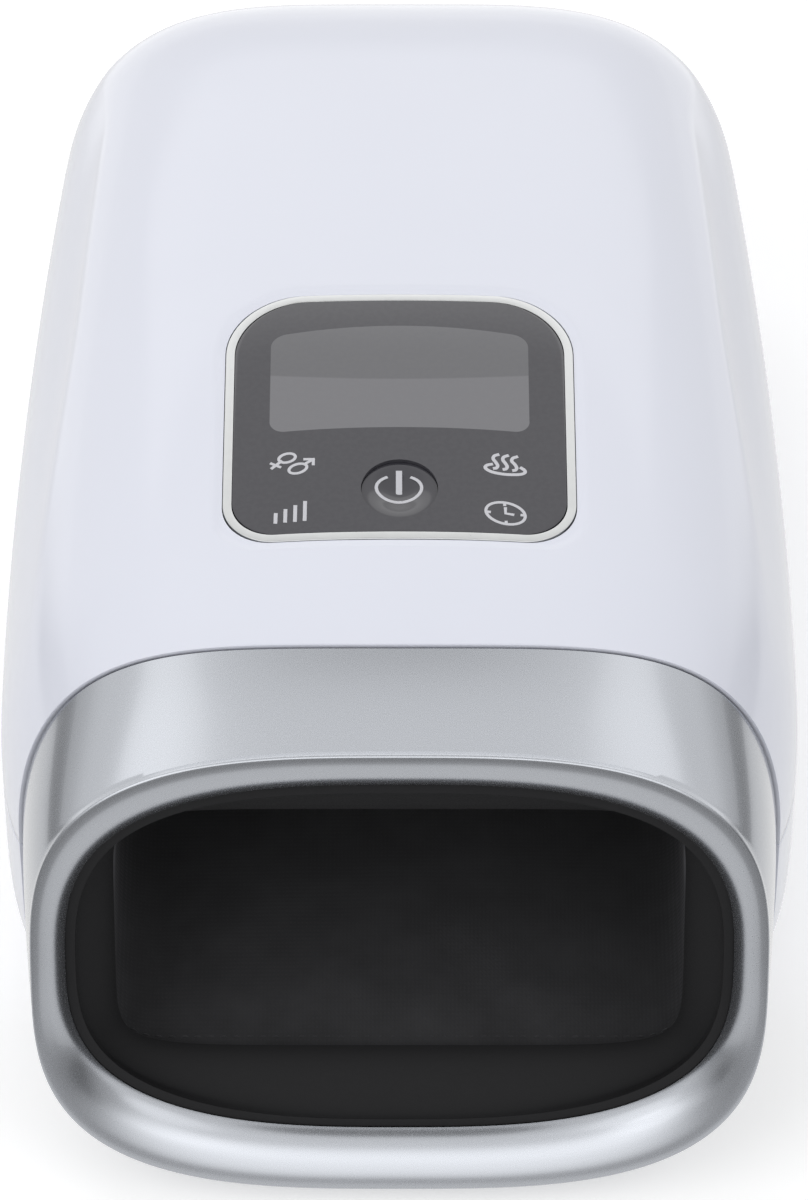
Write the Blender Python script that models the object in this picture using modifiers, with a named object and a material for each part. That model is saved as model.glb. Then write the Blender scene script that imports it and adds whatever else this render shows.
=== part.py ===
"""Hand massager: a battery powered air-cell massager that a hand slides into.

The body is a long wedge-shaped housing in an upper and a lower moulding. A metallic
collar closes its front round the hand opening, and a glass panel with a round key
lies in its top. Inside are a tunnel with two air cells over a heated floor, and a
rear bay with the air pump, its valves, the battery and the boards.

Units are metres, +Z is up, the hand opening faces -Y, and the origin is the middle of
the footprint on the surface that the feet stand on.
"""

import math

import bmesh
import bpy
from mathutils import Matrix, Vector

# Overall body
BODY_LENGTH = 0.264
BODY_WIDTH = 0.160
BODY_HEIGHT = 0.116
PARTING_HEIGHT = 0.051
UNDERSIDE_HEIGHT = 0.004
HOUSING_WALL = 0.0024
GAP = 0.0003
OVERRUN = 0.003

# Plan and side profile of the housing
COLLAR_LENGTH = 0.0523
WIDEST_FROM_SEAM = 0.0308
FRONT_NARROWING_SHARE = 0.055
REAR_NARROWING_SHARE = 0.153
FRONT_DROP = 0.0025
REAR_DROP = 0.0272
NOSE_LENGTH = 0.0404

# Powers of the superellipses that shape the sections and the rounded back
CROWN_POWER_ACROSS = 4.56
CROWN_POWER_UP = 2.27
BELLY_POWER = 7.0
FRONT_WIDTH_POWER = 2.8
FRONT_DROP_POWER = 2.2
REAR_WIDTH_POWER = 1.83
REAR_DROP_POWER = 2.0
NOSE_POWER_PLAN = 2.9
NOSE_POWER_SIDE = 3.0

# Crease along each shoulder
CREASE_ANGLE_FRONT = math.radians(37)
CREASE_ANGLE_MIDDLE = math.radians(49)
CREASE_ANGLE_REAR = math.radians(30)
CREASE_MIDDLE_SHARE = 0.5
CREASE_BEND_SHARE = 0.75
CREASE_END_SHARE = 0.9
CREASE_DEPTH = 0.0028
CREASE_LENGTH_POWER = 1.4
CREASE_HOLLOW_POWER = 2.6
CREASE_DRAW_ANGLE = math.radians(30)

# Facets of the lofted mouldings
SIDE_FACETS = 5
CROWN_FACETS = 12
BELLY_FACETS = 18
LENGTH_FACETS = 6
NOSE_FACETS = 7

# Collar and its rolled rim round the hand opening
RIM_SIDE_DROP = 0.0083
RIM_TOP_DROP = 0.0133
RIM_BOTTOM_HEIGHT = 0.0071
RIM_TILT = math.radians(18.9)
RIM_POWER = 3.1
LIP_WIDTH_SIDE = 0.0062
LIP_WIDTH_TOP = 0.0107
LIP_RECESS = 0.004
LIP_BULGE = 0.0009
LIP_POWER = 2.85
LIP_LAND = 0.0016
RIM_SHOULDER = 0.003
RIM_SHOULDER_FLARE = 0.0009
COLLAR_INSET = 0.0008
COLLAR_WALL = 0.0018
SPIGOT_LENGTH = 0.008

# Inner ring that holds the liner's front hem
MOUTH_RING_DEPTH = 0.012
MOUTH_RING_WALL = 0.002
MOUTH_RING_LAND = 0.0015

# Hand tunnel
TUNNEL_SIDE_SPACE = 0.0107
TUNNEL_WALL = 0.002
TUNNEL_FLOOR_HEIGHT = 0.0135
TUNNEL_HEADROOM = 0.036
TUNNEL_CORNER = 0.014
TUNNEL_CORNER_FACETS = 3
FOAM_THICKNESS = 0.0027
FOAM_SIDE_MARGIN = 0.0145
FOAM_FRONT_MARGIN = 0.012
FILM_THICKNESS = 0.0004
FILM_MARGIN = 0.004
LINER_THICKNESS = 0.001
EAR_RADIUS = 0.003
EAR_DEPTH = 0.010
EAR_FRONT_FROM_SEAM = 0.020
EAR_REAR_FROM_TUNNEL_BACK = 0.0342

# Roof frame over the tunnel and the air cells under it
ROOF_THICKNESS = 0.0022
ROOF_CORNER = 0.008
RIB_WIDTH = 0.002
RIB_HEIGHT = 0.003
PORT_RADIUS = 0.0023
PORT_HEIGHT = 0.0045
BAG_THICKNESS = 0.0057
PAD_THICKNESS = 0.003
CELL_SIDE_MARGIN = 0.0135
CELL_FRONT_MARGIN = 0.0049
PALM_CELL_SHARE = 0.567
CELL_SPACE = 0.006
CELL_CORNER = 0.010
BAG_HEM = 0.003
PAD_CROWN = 0.0008

# Control panel, measured along the slope of the top
PANEL_FRONT_FROM_SEAM = 0.0236
PANEL_LENGTH = 0.067
PANEL_SINK = 0.0003
PANEL_HALF_WIDTH = 0.0345
PANEL_REAR_CORNER = 0.0155
PANEL_FRONT_CORNER = 0.010
PANEL_BOW = 0.0014
PANEL_THICKNESS = 0.0012
TRIM_WIDTH = 0.0021
LEDGE_WIDTH = 0.0016
PANEL_CORNER_FACETS = 5
PANEL_EDGE_FACETS = 4

# Power key and what lies under the panel
KEY_FROM_FRONT = 0.0143
KEY_RADIUS = 0.0073
KEY_FLANGE = 0.0009
KEY_FLANGE_THICKNESS = 0.0008
KEY_DISH = 0.0007
KEY_STEM_RADIUS = 0.0022
KEY_STEM_LENGTH = 0.0013
KEY_TRAVEL = 0.0006
BOARD_DEPTH = 0.0082
BOARD_THICKNESS = 0.0016
BOARD_SIDE_REACH = 0.002
SWITCH_SIDE = 0.006
DISPLAY_SIDE_MARGIN = 0.0081
DISPLAY_FROM_FRONT = 0.0285
DISPLAY_REAR_MARGIN = 0.0071
DISPLAY_CORNER = 0.0035
TOUCH_SIDE = 0.0045
TOUCH_SIDE_MARGIN = 0.0137
TOUCH_FRONT_FROM_FRONT = 0.008
TOUCH_REAR_FROM_FRONT = 0.0209
BOARD_BOSS_RADIUS = 0.0026
BOARD_BOSS_SIDE_MARGIN = 0.0032
BOARD_BOSS_FROM_REAR = 0.008

# Fasteners
SCREW_RADIUS = 0.0013
SCREW_HEAD_RADIUS = 0.0025
SCREW_HEAD_HEIGHT = 0.0016
SCREW_CLEARANCE = 0.0003
SMALL_SCREW_LENGTH = 0.006
CASE_SCREW_LENGTH = 0.016
SCREW_FACETS = 10

# Posts and feet of the lower housing
POST_RADIUS = 0.004
FRONT_POST_SIDE_MARGIN = 0.0305
FRONT_POST_FROM_SEAM = 0.020
REAR_REST_FROM_TUNNEL_BACK = 0.0192
CASE_POST_SIDE_SPACE = 0.0156
CASE_POST_SPACE = 0.0005
CASE_SCREW_DEPTH = 0.012
FOOT_RADIUS = 0.008
FOOT_HEIGHT = 0.0034
FOOT_BOSS_RIM = 0.0014
FOOT_RECESS = 0.0012
FOOT_FRONT_SIDE_SPACE = 0.036
FOOT_REAR_SIDE_SPACE = 0.042
FOOT_FRONT_FROM_SEAM = 0.014
FOOT_REAR_FROM_BACK = 0.032
ROUND_FACETS = 18

# Rear bay: deck, battery and tray
BAY_GAP = 0.006
BAY_REAR_SPACE = 0.0155
DECK_POST_SPACE = 0.0047
DECK_LENGTH = 0.046
DECK_THICKNESS = 0.002
DECK_HEIGHT = 0.030
DECK_POST_MARGIN = 0.004
TRAY_HEIGHT = 0.0088
TRAY_WALL = 0.002
TRAY_WALL_HEIGHT = 0.010
TRAY_PAD_RADIUS = 0.003
CELL_RADIUS = 0.00915
CELL_LENGTH = 0.065
CELL_SPACING = 0.0195

# Air pump
MOTOR_RADIUS = 0.0122
MOTOR_LENGTH = 0.0305
MOTOR_BOSS_RADIUS = 0.0031
MOTOR_BOSS_LENGTH = 0.0015
MOTOR_FLAT_SHARE = 0.82
PUMP_SIDE = 0.026
PUMP_BODY_LENGTH = 0.0145
PUMP_BORE_RADIUS = 0.0105
PUMP_FRONT_PLATE = 0.0025
DIAPHRAGM_THICKNESS = 0.002
DIAPHRAGM_CUP_RADIUS = 0.0042
DIAPHRAGM_CUP_DEPTH = 0.003
DIAPHRAGM_CUPS = 3
COVER_LENGTH = 0.008
COVER_STEP = 0.003
NOZZLE_RADIUS = 0.0023
NOZZLE_LENGTH = 0.006
CRANK_RADIUS = 0.0075
CRANK_THICKNESS = 0.0035
CRANK_SHAFT_RADIUS = 0.00115
CRANK_OFFSET = 0.0035
CRANK_PIN_RADIUS = 0.0016
CRANK_PIN_LENGTH = 0.0018
CRANK_GAP = 0.0007
PUMP_LEFT = 0.0478
MOUNT_PAD_THICKNESS = 0.0024
SADDLE_LENGTH = 0.022
SADDLE_HALF_WIDTH = 0.009

# Valves on their air block
BLOCK_HEIGHT = 0.006
BLOCK_ACROSS = 0.041
BLOCK_WIDTH = 0.016
BLOCK_LENGTH = 0.040
RISER_WIDTH = 0.008
RISER_TOP_MARGIN = 0.003
VALVE_WIDTH = 0.014
VALVE_DEPTH = 0.0135
VALVE_HEIGHT = 0.020
VALVE_SPACING = 0.024
VALVE_NOZZLE_SIDE = 0.004
VALVE_NOZZLE_LENGTH = 0.006
PLUNGER_RADIUS = 0.0018
PLUNGER_BORE_GAP = 0.0003
PLUNGER_LENGTH = 0.009
PLUNGER_STANDOUT = 0.0025
PLUNGER_TRAVEL = 0.0008
HOSE_RADIUS = 0.0023
HOSE_LOOP = 0.0065

# Hose routes: shares across, forward and up from the valve to over the air port
PALM_HOSE_SHARES = (
    (0, 0, 0.115), (-0.12, 0.043, 0.35), (-0.32, 0.132, 0.557), (-0.4, 0.225, 0.713),
    (-0.3, 0.318, 0.851), (0, 0.473, 0.903), (0.38, 0.70, 0.938), (0.9, 0.93, 1),
    (1, 0.988, 0.96), (1, 1, 0.9),
)
FINGER_HOSE_SHARES = (
    (0, 0, 0.115), (0.05, 0.06, 0.384), (0.19, 0.196, 0.66), (0.38, 0.373, 0.868),
    (0.667, 0.627, 0.99), (0.905, 0.843, 1), (1, 0.97, 0.95), (1, 1, 0.9),
)

# Main board, wiring and charging inlet
MAIN_BOARD_SIDE_MARGIN = 0.0075
MAIN_BOARD_PORT_SPACE = 0.016
MAIN_BOARD_LENGTH = 0.056
MAIN_BOARD_BACK_MARGIN = 0.004
STANDOFF_HEIGHT = 0.005
STANDOFF_RADIUS = 0.0028
STANDOFF_MARGIN = 0.005
CHIP_SIDE = 0.012
CHIP_HEIGHT = 0.0018
CHIP_PLACE_SHARE = 0.35
CAN_RADIUS = 0.0032
CAN_HEIGHT = 0.0075
PLUG_ROW_LENGTH = 0.014
PLUG_ROW_WIDTH = 0.005
RIBBON_WIDTH = 0.012
RIBBON_THICKNESS = 0.0006
RIBBON_ACROSS = 0.012
RIBBON_BELLY = 0.008
RIBBON_FACETS = 8
CABLE_RADIUS = 0.0014
CABLE_BEND = 0.006
CABLE_DECK_SPACE = 0.0078
CABLE_BOARD_SPACE = 0.002
INLET_DROP = 0.008
INLET_WIDTH = 0.009
INLET_THICKNESS = 0.0033
INLET_DEPTH = 0.0075
INLET_WALL = 0.0005
INLET_BRACKET_WIDTH = 0.020
INLET_BRACKET_HEIGHT = 0.009
INLET_BRACKET_THICKNESS = 0.0016

# Places worked out from the sizes above
SHELL_LENGTH = BODY_LENGTH - COLLAR_LENGTH
BACK_Y = BODY_LENGTH / 2
SEAM_Y = BACK_Y - SHELL_LENGTH
WIDEST_Y = SEAM_Y + WIDEST_FROM_SEAM
RIM_HALF_WIDTH = BODY_WIDTH / 2 - RIM_SIDE_DROP
RIM_TOP_HEIGHT = BODY_HEIGHT - RIM_TOP_DROP
RIM_HALF_HEIGHT = (RIM_TOP_HEIGHT - RIM_BOTTOM_HEIGHT) / 2 / math.cos(RIM_TILT)
RIM_CENTRE_HEIGHT = (RIM_TOP_HEIGHT + RIM_BOTTOM_HEIGHT) / 2
TUNNEL_BACK_Y = BACK_Y - BAY_REAR_SPACE - DECK_LENGTH - BAY_GAP
TUNNEL_TOP_HEIGHT = BODY_HEIGHT - TUNNEL_HEADROOM
ROOF_BOTTOM_HEIGHT = TUNNEL_TOP_HEIGHT + GAP
ROOF_TOP_HEIGHT = ROOF_BOTTOM_HEIGHT + ROOF_THICKNESS

# Room between the shoulders where the rear roof screws are, which sets the tunnel's width
EAR_REAR_Y = TUNNEL_BACK_Y - EAR_REAR_FROM_TUNNEL_BACK
EAR_RUN_SHARE = (EAR_REAR_Y - WIDEST_Y) / (BACK_Y - WIDEST_Y)
EAR_CROWN_HEIGHT = BODY_HEIGHT - REAR_DROP * EAR_RUN_SHARE ** REAR_DROP_POWER
EAR_LEVEL_SHARE = ((ROOF_TOP_HEIGHT + GAP + SCREW_HEAD_HEIGHT - PARTING_HEIGHT)
                   / (EAR_CROWN_HEIGHT - PARTING_HEIGHT))
SHOULDER_HALF_WIDTH = (BODY_WIDTH / 2
                       * (1 - REAR_NARROWING_SHARE * EAR_RUN_SHARE ** REAR_WIDTH_POWER)
                       * (1 - EAR_LEVEL_SHARE ** CROWN_POWER_UP)
                       ** (1 / CROWN_POWER_ACROSS))
TUNNEL_HALF_WIDTH = SHOULDER_HALF_WIDTH - TUNNEL_SIDE_SPACE
FOAM_HALF_WIDTH = TUNNEL_HALF_WIDTH - FOAM_SIDE_MARGIN
LINER_FLOOR_HEIGHT = (TUNNEL_FLOOR_HEIGHT + TUNNEL_WALL + GAP + FOAM_THICKNESS + GAP
                      + FILM_THICKNESS + GAP)
BAG_TOP_HEIGHT = TUNNEL_TOP_HEIGHT
BAG_BOTTOM_HEIGHT = BAG_TOP_HEIGHT - BAG_THICKNESS
PAD_TOP_HEIGHT = BAG_BOTTOM_HEIGHT - GAP
CELL_HALF_WIDTH = TUNNEL_HALF_WIDTH - CELL_SIDE_MARGIN
PORT_X = CELL_HALF_WIDTH / 2
EAR_X = TUNNEL_HALF_WIDTH + EAR_RADIUS - TUNNEL_WALL / 2
MOTOR_HEIGHT = (DECK_HEIGHT + DECK_THICKNESS + GAP + MOUNT_PAD_THICKNESS + GAP
                + PUMP_SIDE / 2)
DECK_FRONT_Y = TUNNEL_BACK_Y + BAY_GAP
DECK_Y = DECK_FRONT_Y + DECK_LENGTH / 2
PUMP_Y = DECK_Y
BLOCK_TOP_HEIGHT = DECK_HEIGHT + DECK_THICKNESS + GAP + BLOCK_HEIGHT
VALVE_TOP_HEIGHT = BLOCK_TOP_HEIGHT + GAP + VALVE_HEIGHT
MAIN_BOARD_HEIGHT = ROOF_TOP_HEIGHT + STANDOFF_HEIGHT + GAP
MAIN_BOARD_LEFT = TUNNEL_HALF_WIDTH - MAIN_BOARD_SIDE_MARGIN
MAIN_BOARD_WIDTH = MAIN_BOARD_LEFT + PORT_X - MAIN_BOARD_PORT_SPACE
TRAY_WIDTH = CELL_LENGTH + 2 * (TRAY_WALL + GAP)
TRAY_LENGTH = CELL_SPACING + 2 * (CELL_RADIUS + TRAY_WALL + GAP)
DECK_POST_X = TRAY_WIDTH / 2 + DECK_POST_SPACE + POST_RADIUS
DECK_HALF_WIDTH = DECK_POST_X + DECK_POST_MARGIN
CASE_POST_Y = DECK_FRONT_Y + DECK_LENGTH + POST_RADIUS + CASE_POST_SPACE
FRONT_POST_X = TUNNEL_HALF_WIDTH - FRONT_POST_SIDE_MARGIN
BOARD_HALF_WIDTH = PANEL_HALF_WIDTH + BOARD_SIDE_REACH
BOARD_BOSS_ACROSS = BOARD_HALF_WIDTH - BOARD_BOSS_SIDE_MARGIN
TOUCH_ACROSS = PANEL_HALF_WIDTH - TOUCH_SIDE_MARGIN
DISPLAY_HALF_WIDTH = PANEL_HALF_WIDTH - DISPLAY_SIDE_MARGIN
DISPLAY_LENGTH = PANEL_LENGTH - DISPLAY_FROM_FRONT - DISPLAY_REAR_MARGIN
INLET_HEIGHT = PARTING_HEIGHT - INLET_DROP

PARTS = "hand_massager"
CUTTERS = "cutters"

# Finishes: colour, roughness and metallic value
FINISHES = {
    "white_gloss": ((0.80, 0.81, 0.87), 0.16, 0.0),
    "silver_satin": ((0.60, 0.62, 0.64), 0.32, 0.85),
    "trim_silver": ((0.70, 0.70, 0.72), 0.25, 0.8),
    "smoked_glass": ((0.11, 0.11, 0.12), 0.12, 0.0),
    "black_plastic": ((0.02, 0.02, 0.022), 0.5, 0.0),
    "black_fabric": ((0.018, 0.018, 0.020), 0.9, 0.0),
    "grey_plastic": ((0.35, 0.36, 0.38), 0.5, 0.0),
    "rubber_grey": ((0.10, 0.10, 0.105), 0.8, 0.0),
    "foam_grey": ((0.22, 0.22, 0.23), 0.95, 0.0),
    "film_amber": ((0.55, 0.26, 0.05), 0.35, 0.0),
    "board_green": ((0.02, 0.16, 0.06), 0.45, 0.0),
    "display_dark": ((0.04, 0.045, 0.05), 0.2, 0.0),
    "steel": ((0.62, 0.62, 0.60), 0.3, 1.0),
    "brass": ((0.72, 0.52, 0.22), 0.3, 1.0),
    "silicone": ((0.75, 0.76, 0.76), 0.5, 0.0),
    "cell_blue": ((0.05, 0.16, 0.42), 0.35, 0.0),
    "ribbon_white": ((0.75, 0.75, 0.72), 0.5, 0.0),
    "wire_red": ((0.45, 0.03, 0.03), 0.5, 0.0),
}


def clear_scene():
    """Remove every object that is already in the file."""
    for item in list(bpy.data.objects):
        bpy.data.objects.remove(item, do_unlink=True)


def collection(name):
    """Return the named collection, linked to the scene."""
    group = bpy.data.collections.get(name)
    if group is None:
        group = bpy.data.collections.new(name)
        bpy.context.scene.collection.children.link(group)
    return group


def finish(name):
    """Return the material of a named finish."""
    surface = bpy.data.materials.get(name)
    if surface is None:
        colour, roughness, metallic = FINISHES[name]
        surface = bpy.data.materials.new(name)
        surface.use_nodes = True
        shader = surface.node_tree.nodes["Principled BSDF"]
        shader.inputs["Base Color"].default_value = (*colour, 1)
        shader.inputs["Roughness"].default_value = roughness
        shader.inputs["Metallic"].default_value = metallic
        surface.diffuse_color = (*colour, 1)
    return surface


def add_piece(name, mesh, finish_name, place=None, parent=None, smooth=True):
    """Add a piece of the product to its collection."""
    piece = bpy.data.objects.new(name, mesh)
    collection(PARTS).objects.link(piece)
    piece.data.materials.append(finish(finish_name))
    if parent is not None:
        piece.parent = parent
    if place is not None:
        piece.location = place
    if smooth:
        mesh.shade_smooth()
        mesh.set_sharp_from_angle(angle=math.radians(35))
    return piece


def add_cutter(name, mesh, place=None, parent=None):
    """Add a solid that only cuts or joins other pieces."""
    cutter = bpy.data.objects.new(name, mesh)
    collection(CUTTERS).objects.link(cutter)
    cutter.hide_render = True
    cutter.display_type = "WIRE"
    if parent is not None:
        cutter.parent = parent
    if place is not None:
        cutter.location = place
    return cutter


def combine(piece, other, operation):
    """Join or cut a piece with another solid by an exact Boolean."""
    step = piece.modifiers.new(operation.lower() + "_" + other.name, "BOOLEAN")
    step.object = other
    step.operation = operation
    step.solver = "EXACT"
    return step


def mesh_from(name, form):
    """Turn a bmesh into a mesh and free it."""
    mesh = bpy.data.meshes.new(name)
    form.to_mesh(mesh)
    form.free()
    return mesh


def box_mesh(name, width, length, height, corner=0.0, facets=2, upright_only=True):
    """Make a box that stands on its origin, with its upright edges rounded."""
    form = bmesh.new()
    bmesh.ops.create_cube(form, size=1.0)
    bmesh.ops.scale(form, vec=(width, length, height), verts=form.verts)
    bmesh.ops.translate(form, vec=(0, 0, height / 2), verts=form.verts)
    if corner:
        edges = [edge for edge in form.edges if not upright_only or is_upright(edge)]
        bmesh.ops.bevel(form, geom=edges, offset=corner, segments=facets, affect="EDGES",
                        profile=0.5, clamp_overlap=True)
    return mesh_from(name, form)


def is_upright(edge):
    """Tell whether an edge runs along Z."""
    run = edge.verts[1].co - edge.verts[0].co
    return abs(run.z) > max(abs(run.x), abs(run.y))


def rod_mesh(name, radius, length, facets=ROUND_FACETS):
    """Make a round bar that stands on its origin."""
    form = bmesh.new()
    bmesh.ops.create_cone(form, cap_ends=True, segments=facets, radius1=radius,
                          radius2=radius, depth=length)
    bmesh.ops.translate(form, vec=(0, 0, length / 2), verts=form.verts)
    return mesh_from(name, form)


def turned_piece(name, profile, finish_name, place, parent=None, facets=ROUND_FACETS):
    """Turn a profile of (radius, height) points, top to bottom, about its own Z axis."""
    mesh = bpy.data.meshes.new(name)
    points = [(radius, 0, height) for radius, height in profile]
    mesh.from_pydata(points, [(i, i + 1) for i in range(len(points) - 1)], [])
    piece = add_piece(name, mesh, finish_name, place, parent, smooth=False)
    turn = piece.modifiers.new("turn", "SCREW")
    turn.axis = "Z"
    turn.steps = facets
    turn.render_steps = facets
    turn.use_merge_vertices = True
    turn.merge_threshold = 0.00001
    return piece


def tube_piece(name, route, radius, finish_name, steps=3):
    """Sweep a round section along a smooth curve through the points of a route."""
    points = smooth_route(route, steps)
    curve = bpy.data.curves.new(name, "CURVE")
    curve.dimensions = "3D"
    spline = curve.splines.new("POLY")
    spline.points.add(len(points) - 1)
    for index, point in enumerate(points):
        spline.points[index].co = (*point, 1)
    curve.bevel_depth = radius
    curve.bevel_resolution = 2
    curve.use_fill_caps = True
    tube = bpy.data.objects.new(name, curve)
    collection(PARTS).objects.link(tube)
    curve.materials.append(finish(finish_name))
    return tube


def smooth_route(route, steps):
    """Return points of a Catmull-Rom curve through a route with straight ends."""
    corners = [Vector(point) for point in route]
    corners = [2 * corners[0] - corners[1]] + corners + [2 * corners[-1] - corners[-2]]
    points = []
    for index in range(1, len(corners) - 2):
        before, start, end, after = corners[index - 1:index + 3]
        parts = 1 if index in (1, len(corners) - 3) else steps
        for step in range(parts):
            share = step / parts
            points.append(0.5 * (2 * start + (end - before) * share
                                 + (2 * before - 5 * start + 4 * end - after) * share ** 2
                                 + (3 * start - before - 3 * end + after) * share ** 3))
    points.append(corners[-2])
    return points


def loft_mesh(name, rows, closed_rows=True, flip=False, pole=None, fill_front=False):
    """Loft rows of points into a surface, each row running the same way."""
    form = bmesh.new()
    grid = [[form.verts.new(point) for point in row] for row in rows]
    count = len(rows[0])
    spans = count if closed_rows else count - 1
    faces = []
    for near, far in zip(grid, grid[1:]):
        for index in range(spans):
            other = (index + 1) % count
            faces.append((near[index], far[index], far[other], near[other]))
    if pole is not None:
        tip = form.verts.new(pole)
        last = grid[-1]
        faces += [(last[i], tip, last[(i + 1) % count]) for i in range(spans)]
    if fill_front:
        faces.append(tuple(grid[0]))
    for corners in faces:
        form.faces.new(tuple(reversed(corners)) if flip else corners)
    return mesh_from(name, form)


def thicken(piece, thickness, offset):
    """Give an open surface a wall, on the inner side with offset -1."""
    wall = piece.modifiers.new("wall", "SOLIDIFY")
    wall.thickness = thickness
    wall.offset = offset
    return wall


def power_round(share, power):
    """Return the height of a unit superellipse at a share of its half width."""
    return max(0.0, 1 - abs(share) ** power) ** (1 / power)


def signed_power(value, power):
    """Raise the size of a value to a power and keep its sign."""
    return math.copysign(abs(value) ** power, value)


def smooth_step(share):
    """Ease a share from 0 to 1."""
    share = min(1.0, max(0.0, share))
    return share * share * (3 - 2 * share)


def half_width(y):
    """Return half the body's width at y, before the nose rounds it off."""
    if y > WIDEST_Y:
        share = (y - WIDEST_Y) / (BACK_Y - WIDEST_Y)
        return BODY_WIDTH / 2 * (1 - REAR_NARROWING_SHARE * share ** REAR_WIDTH_POWER)
    share = (WIDEST_Y - y) / (WIDEST_Y - SEAM_Y)
    return BODY_WIDTH / 2 * (1 - FRONT_NARROWING_SHARE * share ** FRONT_WIDTH_POWER)


def inner_half_width(y):
    """Return half the room between the side walls at y, nose and wall counted."""
    nose = max(0.0, (y - BACK_Y + NOSE_LENGTH) / NOSE_LENGTH)
    return half_width(y) * power_round(nose, NOSE_POWER_PLAN) - HOUSING_WALL


def case_post_places():
    """Return the (x, y) of the posts where the two housings are screwed together."""
    across = inner_half_width(CASE_POST_Y) - CASE_POST_SIDE_SPACE
    return [(side * across, CASE_POST_Y) for side in (-1, 1)]


def crown_height(y):
    """Return the height of the top's centre line at y, before the nose."""
    if y > WIDEST_Y:
        share = (y - WIDEST_Y) / (BACK_Y - WIDEST_Y)
        return BODY_HEIGHT - REAR_DROP * share ** REAR_DROP_POWER
    share = (WIDEST_Y - y) / (WIDEST_Y - SEAM_Y)
    return BODY_HEIGHT - FRONT_DROP * share ** FRONT_DROP_POWER


def crease_angle(y):
    """Return the angle of the shoulder crease on the section at y."""
    share = (y - SEAM_Y) / SHELL_LENGTH
    if share < CREASE_MIDDLE_SHARE:
        ease = smooth_step(share / CREASE_MIDDLE_SHARE)
        return CREASE_ANGLE_FRONT + (CREASE_ANGLE_MIDDLE - CREASE_ANGLE_FRONT) * ease
    ease = smooth_step((share - CREASE_BEND_SHARE) / (1 - CREASE_BEND_SHARE))
    return CREASE_ANGLE_MIDDLE + (CREASE_ANGLE_REAR - CREASE_ANGLE_MIDDLE) * ease


def crease_depth(y):
    """Return how far the face under the crease is drawn in at y."""
    share = (y - SEAM_Y) / (SHELL_LENGTH * CREASE_END_SHARE)
    if not 0 < share < 1:
        return 0.0
    return CREASE_DEPTH * math.sin(math.pi * share ** CREASE_LENGTH_POWER)


def section_angles(y):
    """Return the angles of a whole section, counter-clockwise from +X."""
    crease = crease_angle(y)
    side = [crease * index / SIDE_FACETS for index in range(SIDE_FACETS)]
    crown = [crease + (math.pi - 2 * crease) * index / CROWN_FACETS
             for index in range(CROWN_FACETS)]
    far = [math.pi - angle for angle in reversed(side[1:] + [crease])]
    belly = [math.pi + math.pi * index / BELLY_FACETS for index in range(BELLY_FACETS)]
    return side + crown + far + belly


def section_point(y, angle, nose=0.0, inset=0.0, shoulder=True):
    """Return the point of the body's section at y and an angle.

    nose is the share of the rounded back's length that y has reached, and inset draws
    the section in on all sides.
    """
    width = half_width(y) * power_round(nose, NOSE_POWER_PLAN) - inset
    rise = power_round(nose, NOSE_POWER_SIDE)
    across = math.cos(angle)
    up = math.sin(angle)
    if up < 0:
        x = width * signed_power(across, 2 / BELLY_POWER)
        depth = (PARTING_HEIGHT - UNDERSIDE_HEIGHT) * rise - inset
        return Vector((x, y, PARTING_HEIGHT + depth * signed_power(up, 2 / BELLY_POWER)))
    x = width * signed_power(across, 2 / CROWN_POWER_ACROSS)
    height = (crown_height(y) - PARTING_HEIGHT) * rise - inset
    z = PARTING_HEIGHT + height * signed_power(up, 2 / CROWN_POWER_UP)
    if shoulder:
        low_angle = min(angle, math.pi - angle)
        crease = crease_angle(y)
        if 0 < low_angle < crease:
            rise_share = (low_angle / crease) ** CREASE_HOLLOW_POWER
            draw = crease_depth(y) * math.sin(math.pi * rise_share)
            x -= math.copysign(draw * math.cos(CREASE_DRAW_ANGLE), across)
            z -= draw * math.sin(CREASE_DRAW_ANGLE)
    return Vector((x, y, z))


def body_stations(inset=0.0):
    """Return (y, nose share) from the seam to just short of the back."""
    start = BACK_Y - NOSE_LENGTH - inset
    spigot_end = SEAM_Y + SPIGOT_LENGTH
    stations = [(SEAM_Y, 0.0), (spigot_end, 0.0), ((spigot_end + WIDEST_Y) / 2, 0.0)]
    stations += [(WIDEST_Y + (start - WIDEST_Y) * index / LENGTH_FACETS, 0.0)
                 for index in range(LENGTH_FACETS + 1)]
    for index in range(1, NOSE_FACETS + 1):
        share = math.sin(math.pi / 2 * index / (NOSE_FACETS + 1)) ** (2 / 3)
        stations.append((start + NOSE_LENGTH * share, share))
    return stations


def body_rows(first, last, inset=0.0):
    """Return the rows of a body surface between two places in the section."""
    rows = []
    for y, nose in body_stations(inset):
        angles = section_angles(y) + [2 * math.pi]
        rows.append([section_point(y, angle, nose, inset) for angle in angles[first:last]])
    return rows


def body_core(name, inset):
    """Make a closed solid of the body's form, drawn in, to trim posts and bosses."""
    rows = [[section_point(y, angle, nose, inset) for angle in section_angles(y)]
            for y, nose in body_stations(inset)]
    pole = (0, BACK_Y - inset, PARTING_HEIGHT)
    return add_cutter(name, loft_mesh(name, rows, pole=pole, fill_front=True))


def rim_point(across, up, depth):
    """Return the point at a place in the rim's plane and a depth behind it."""
    y = rim_centre_y() + up * math.sin(RIM_TILT) + depth * math.cos(RIM_TILT)
    z = RIM_CENTRE_HEIGHT + up * math.cos(RIM_TILT) - depth * math.sin(RIM_TILT)
    return Vector((across, y, z))


def rim_centre_y():
    """Place the rim so that its foremost point is the front of the body."""
    reach = max(row[1] * math.sin(RIM_TILT) - row[2] * math.cos(RIM_TILT)
                for row in rim_profile())
    return reach - BODY_LENGTH / 2


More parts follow.
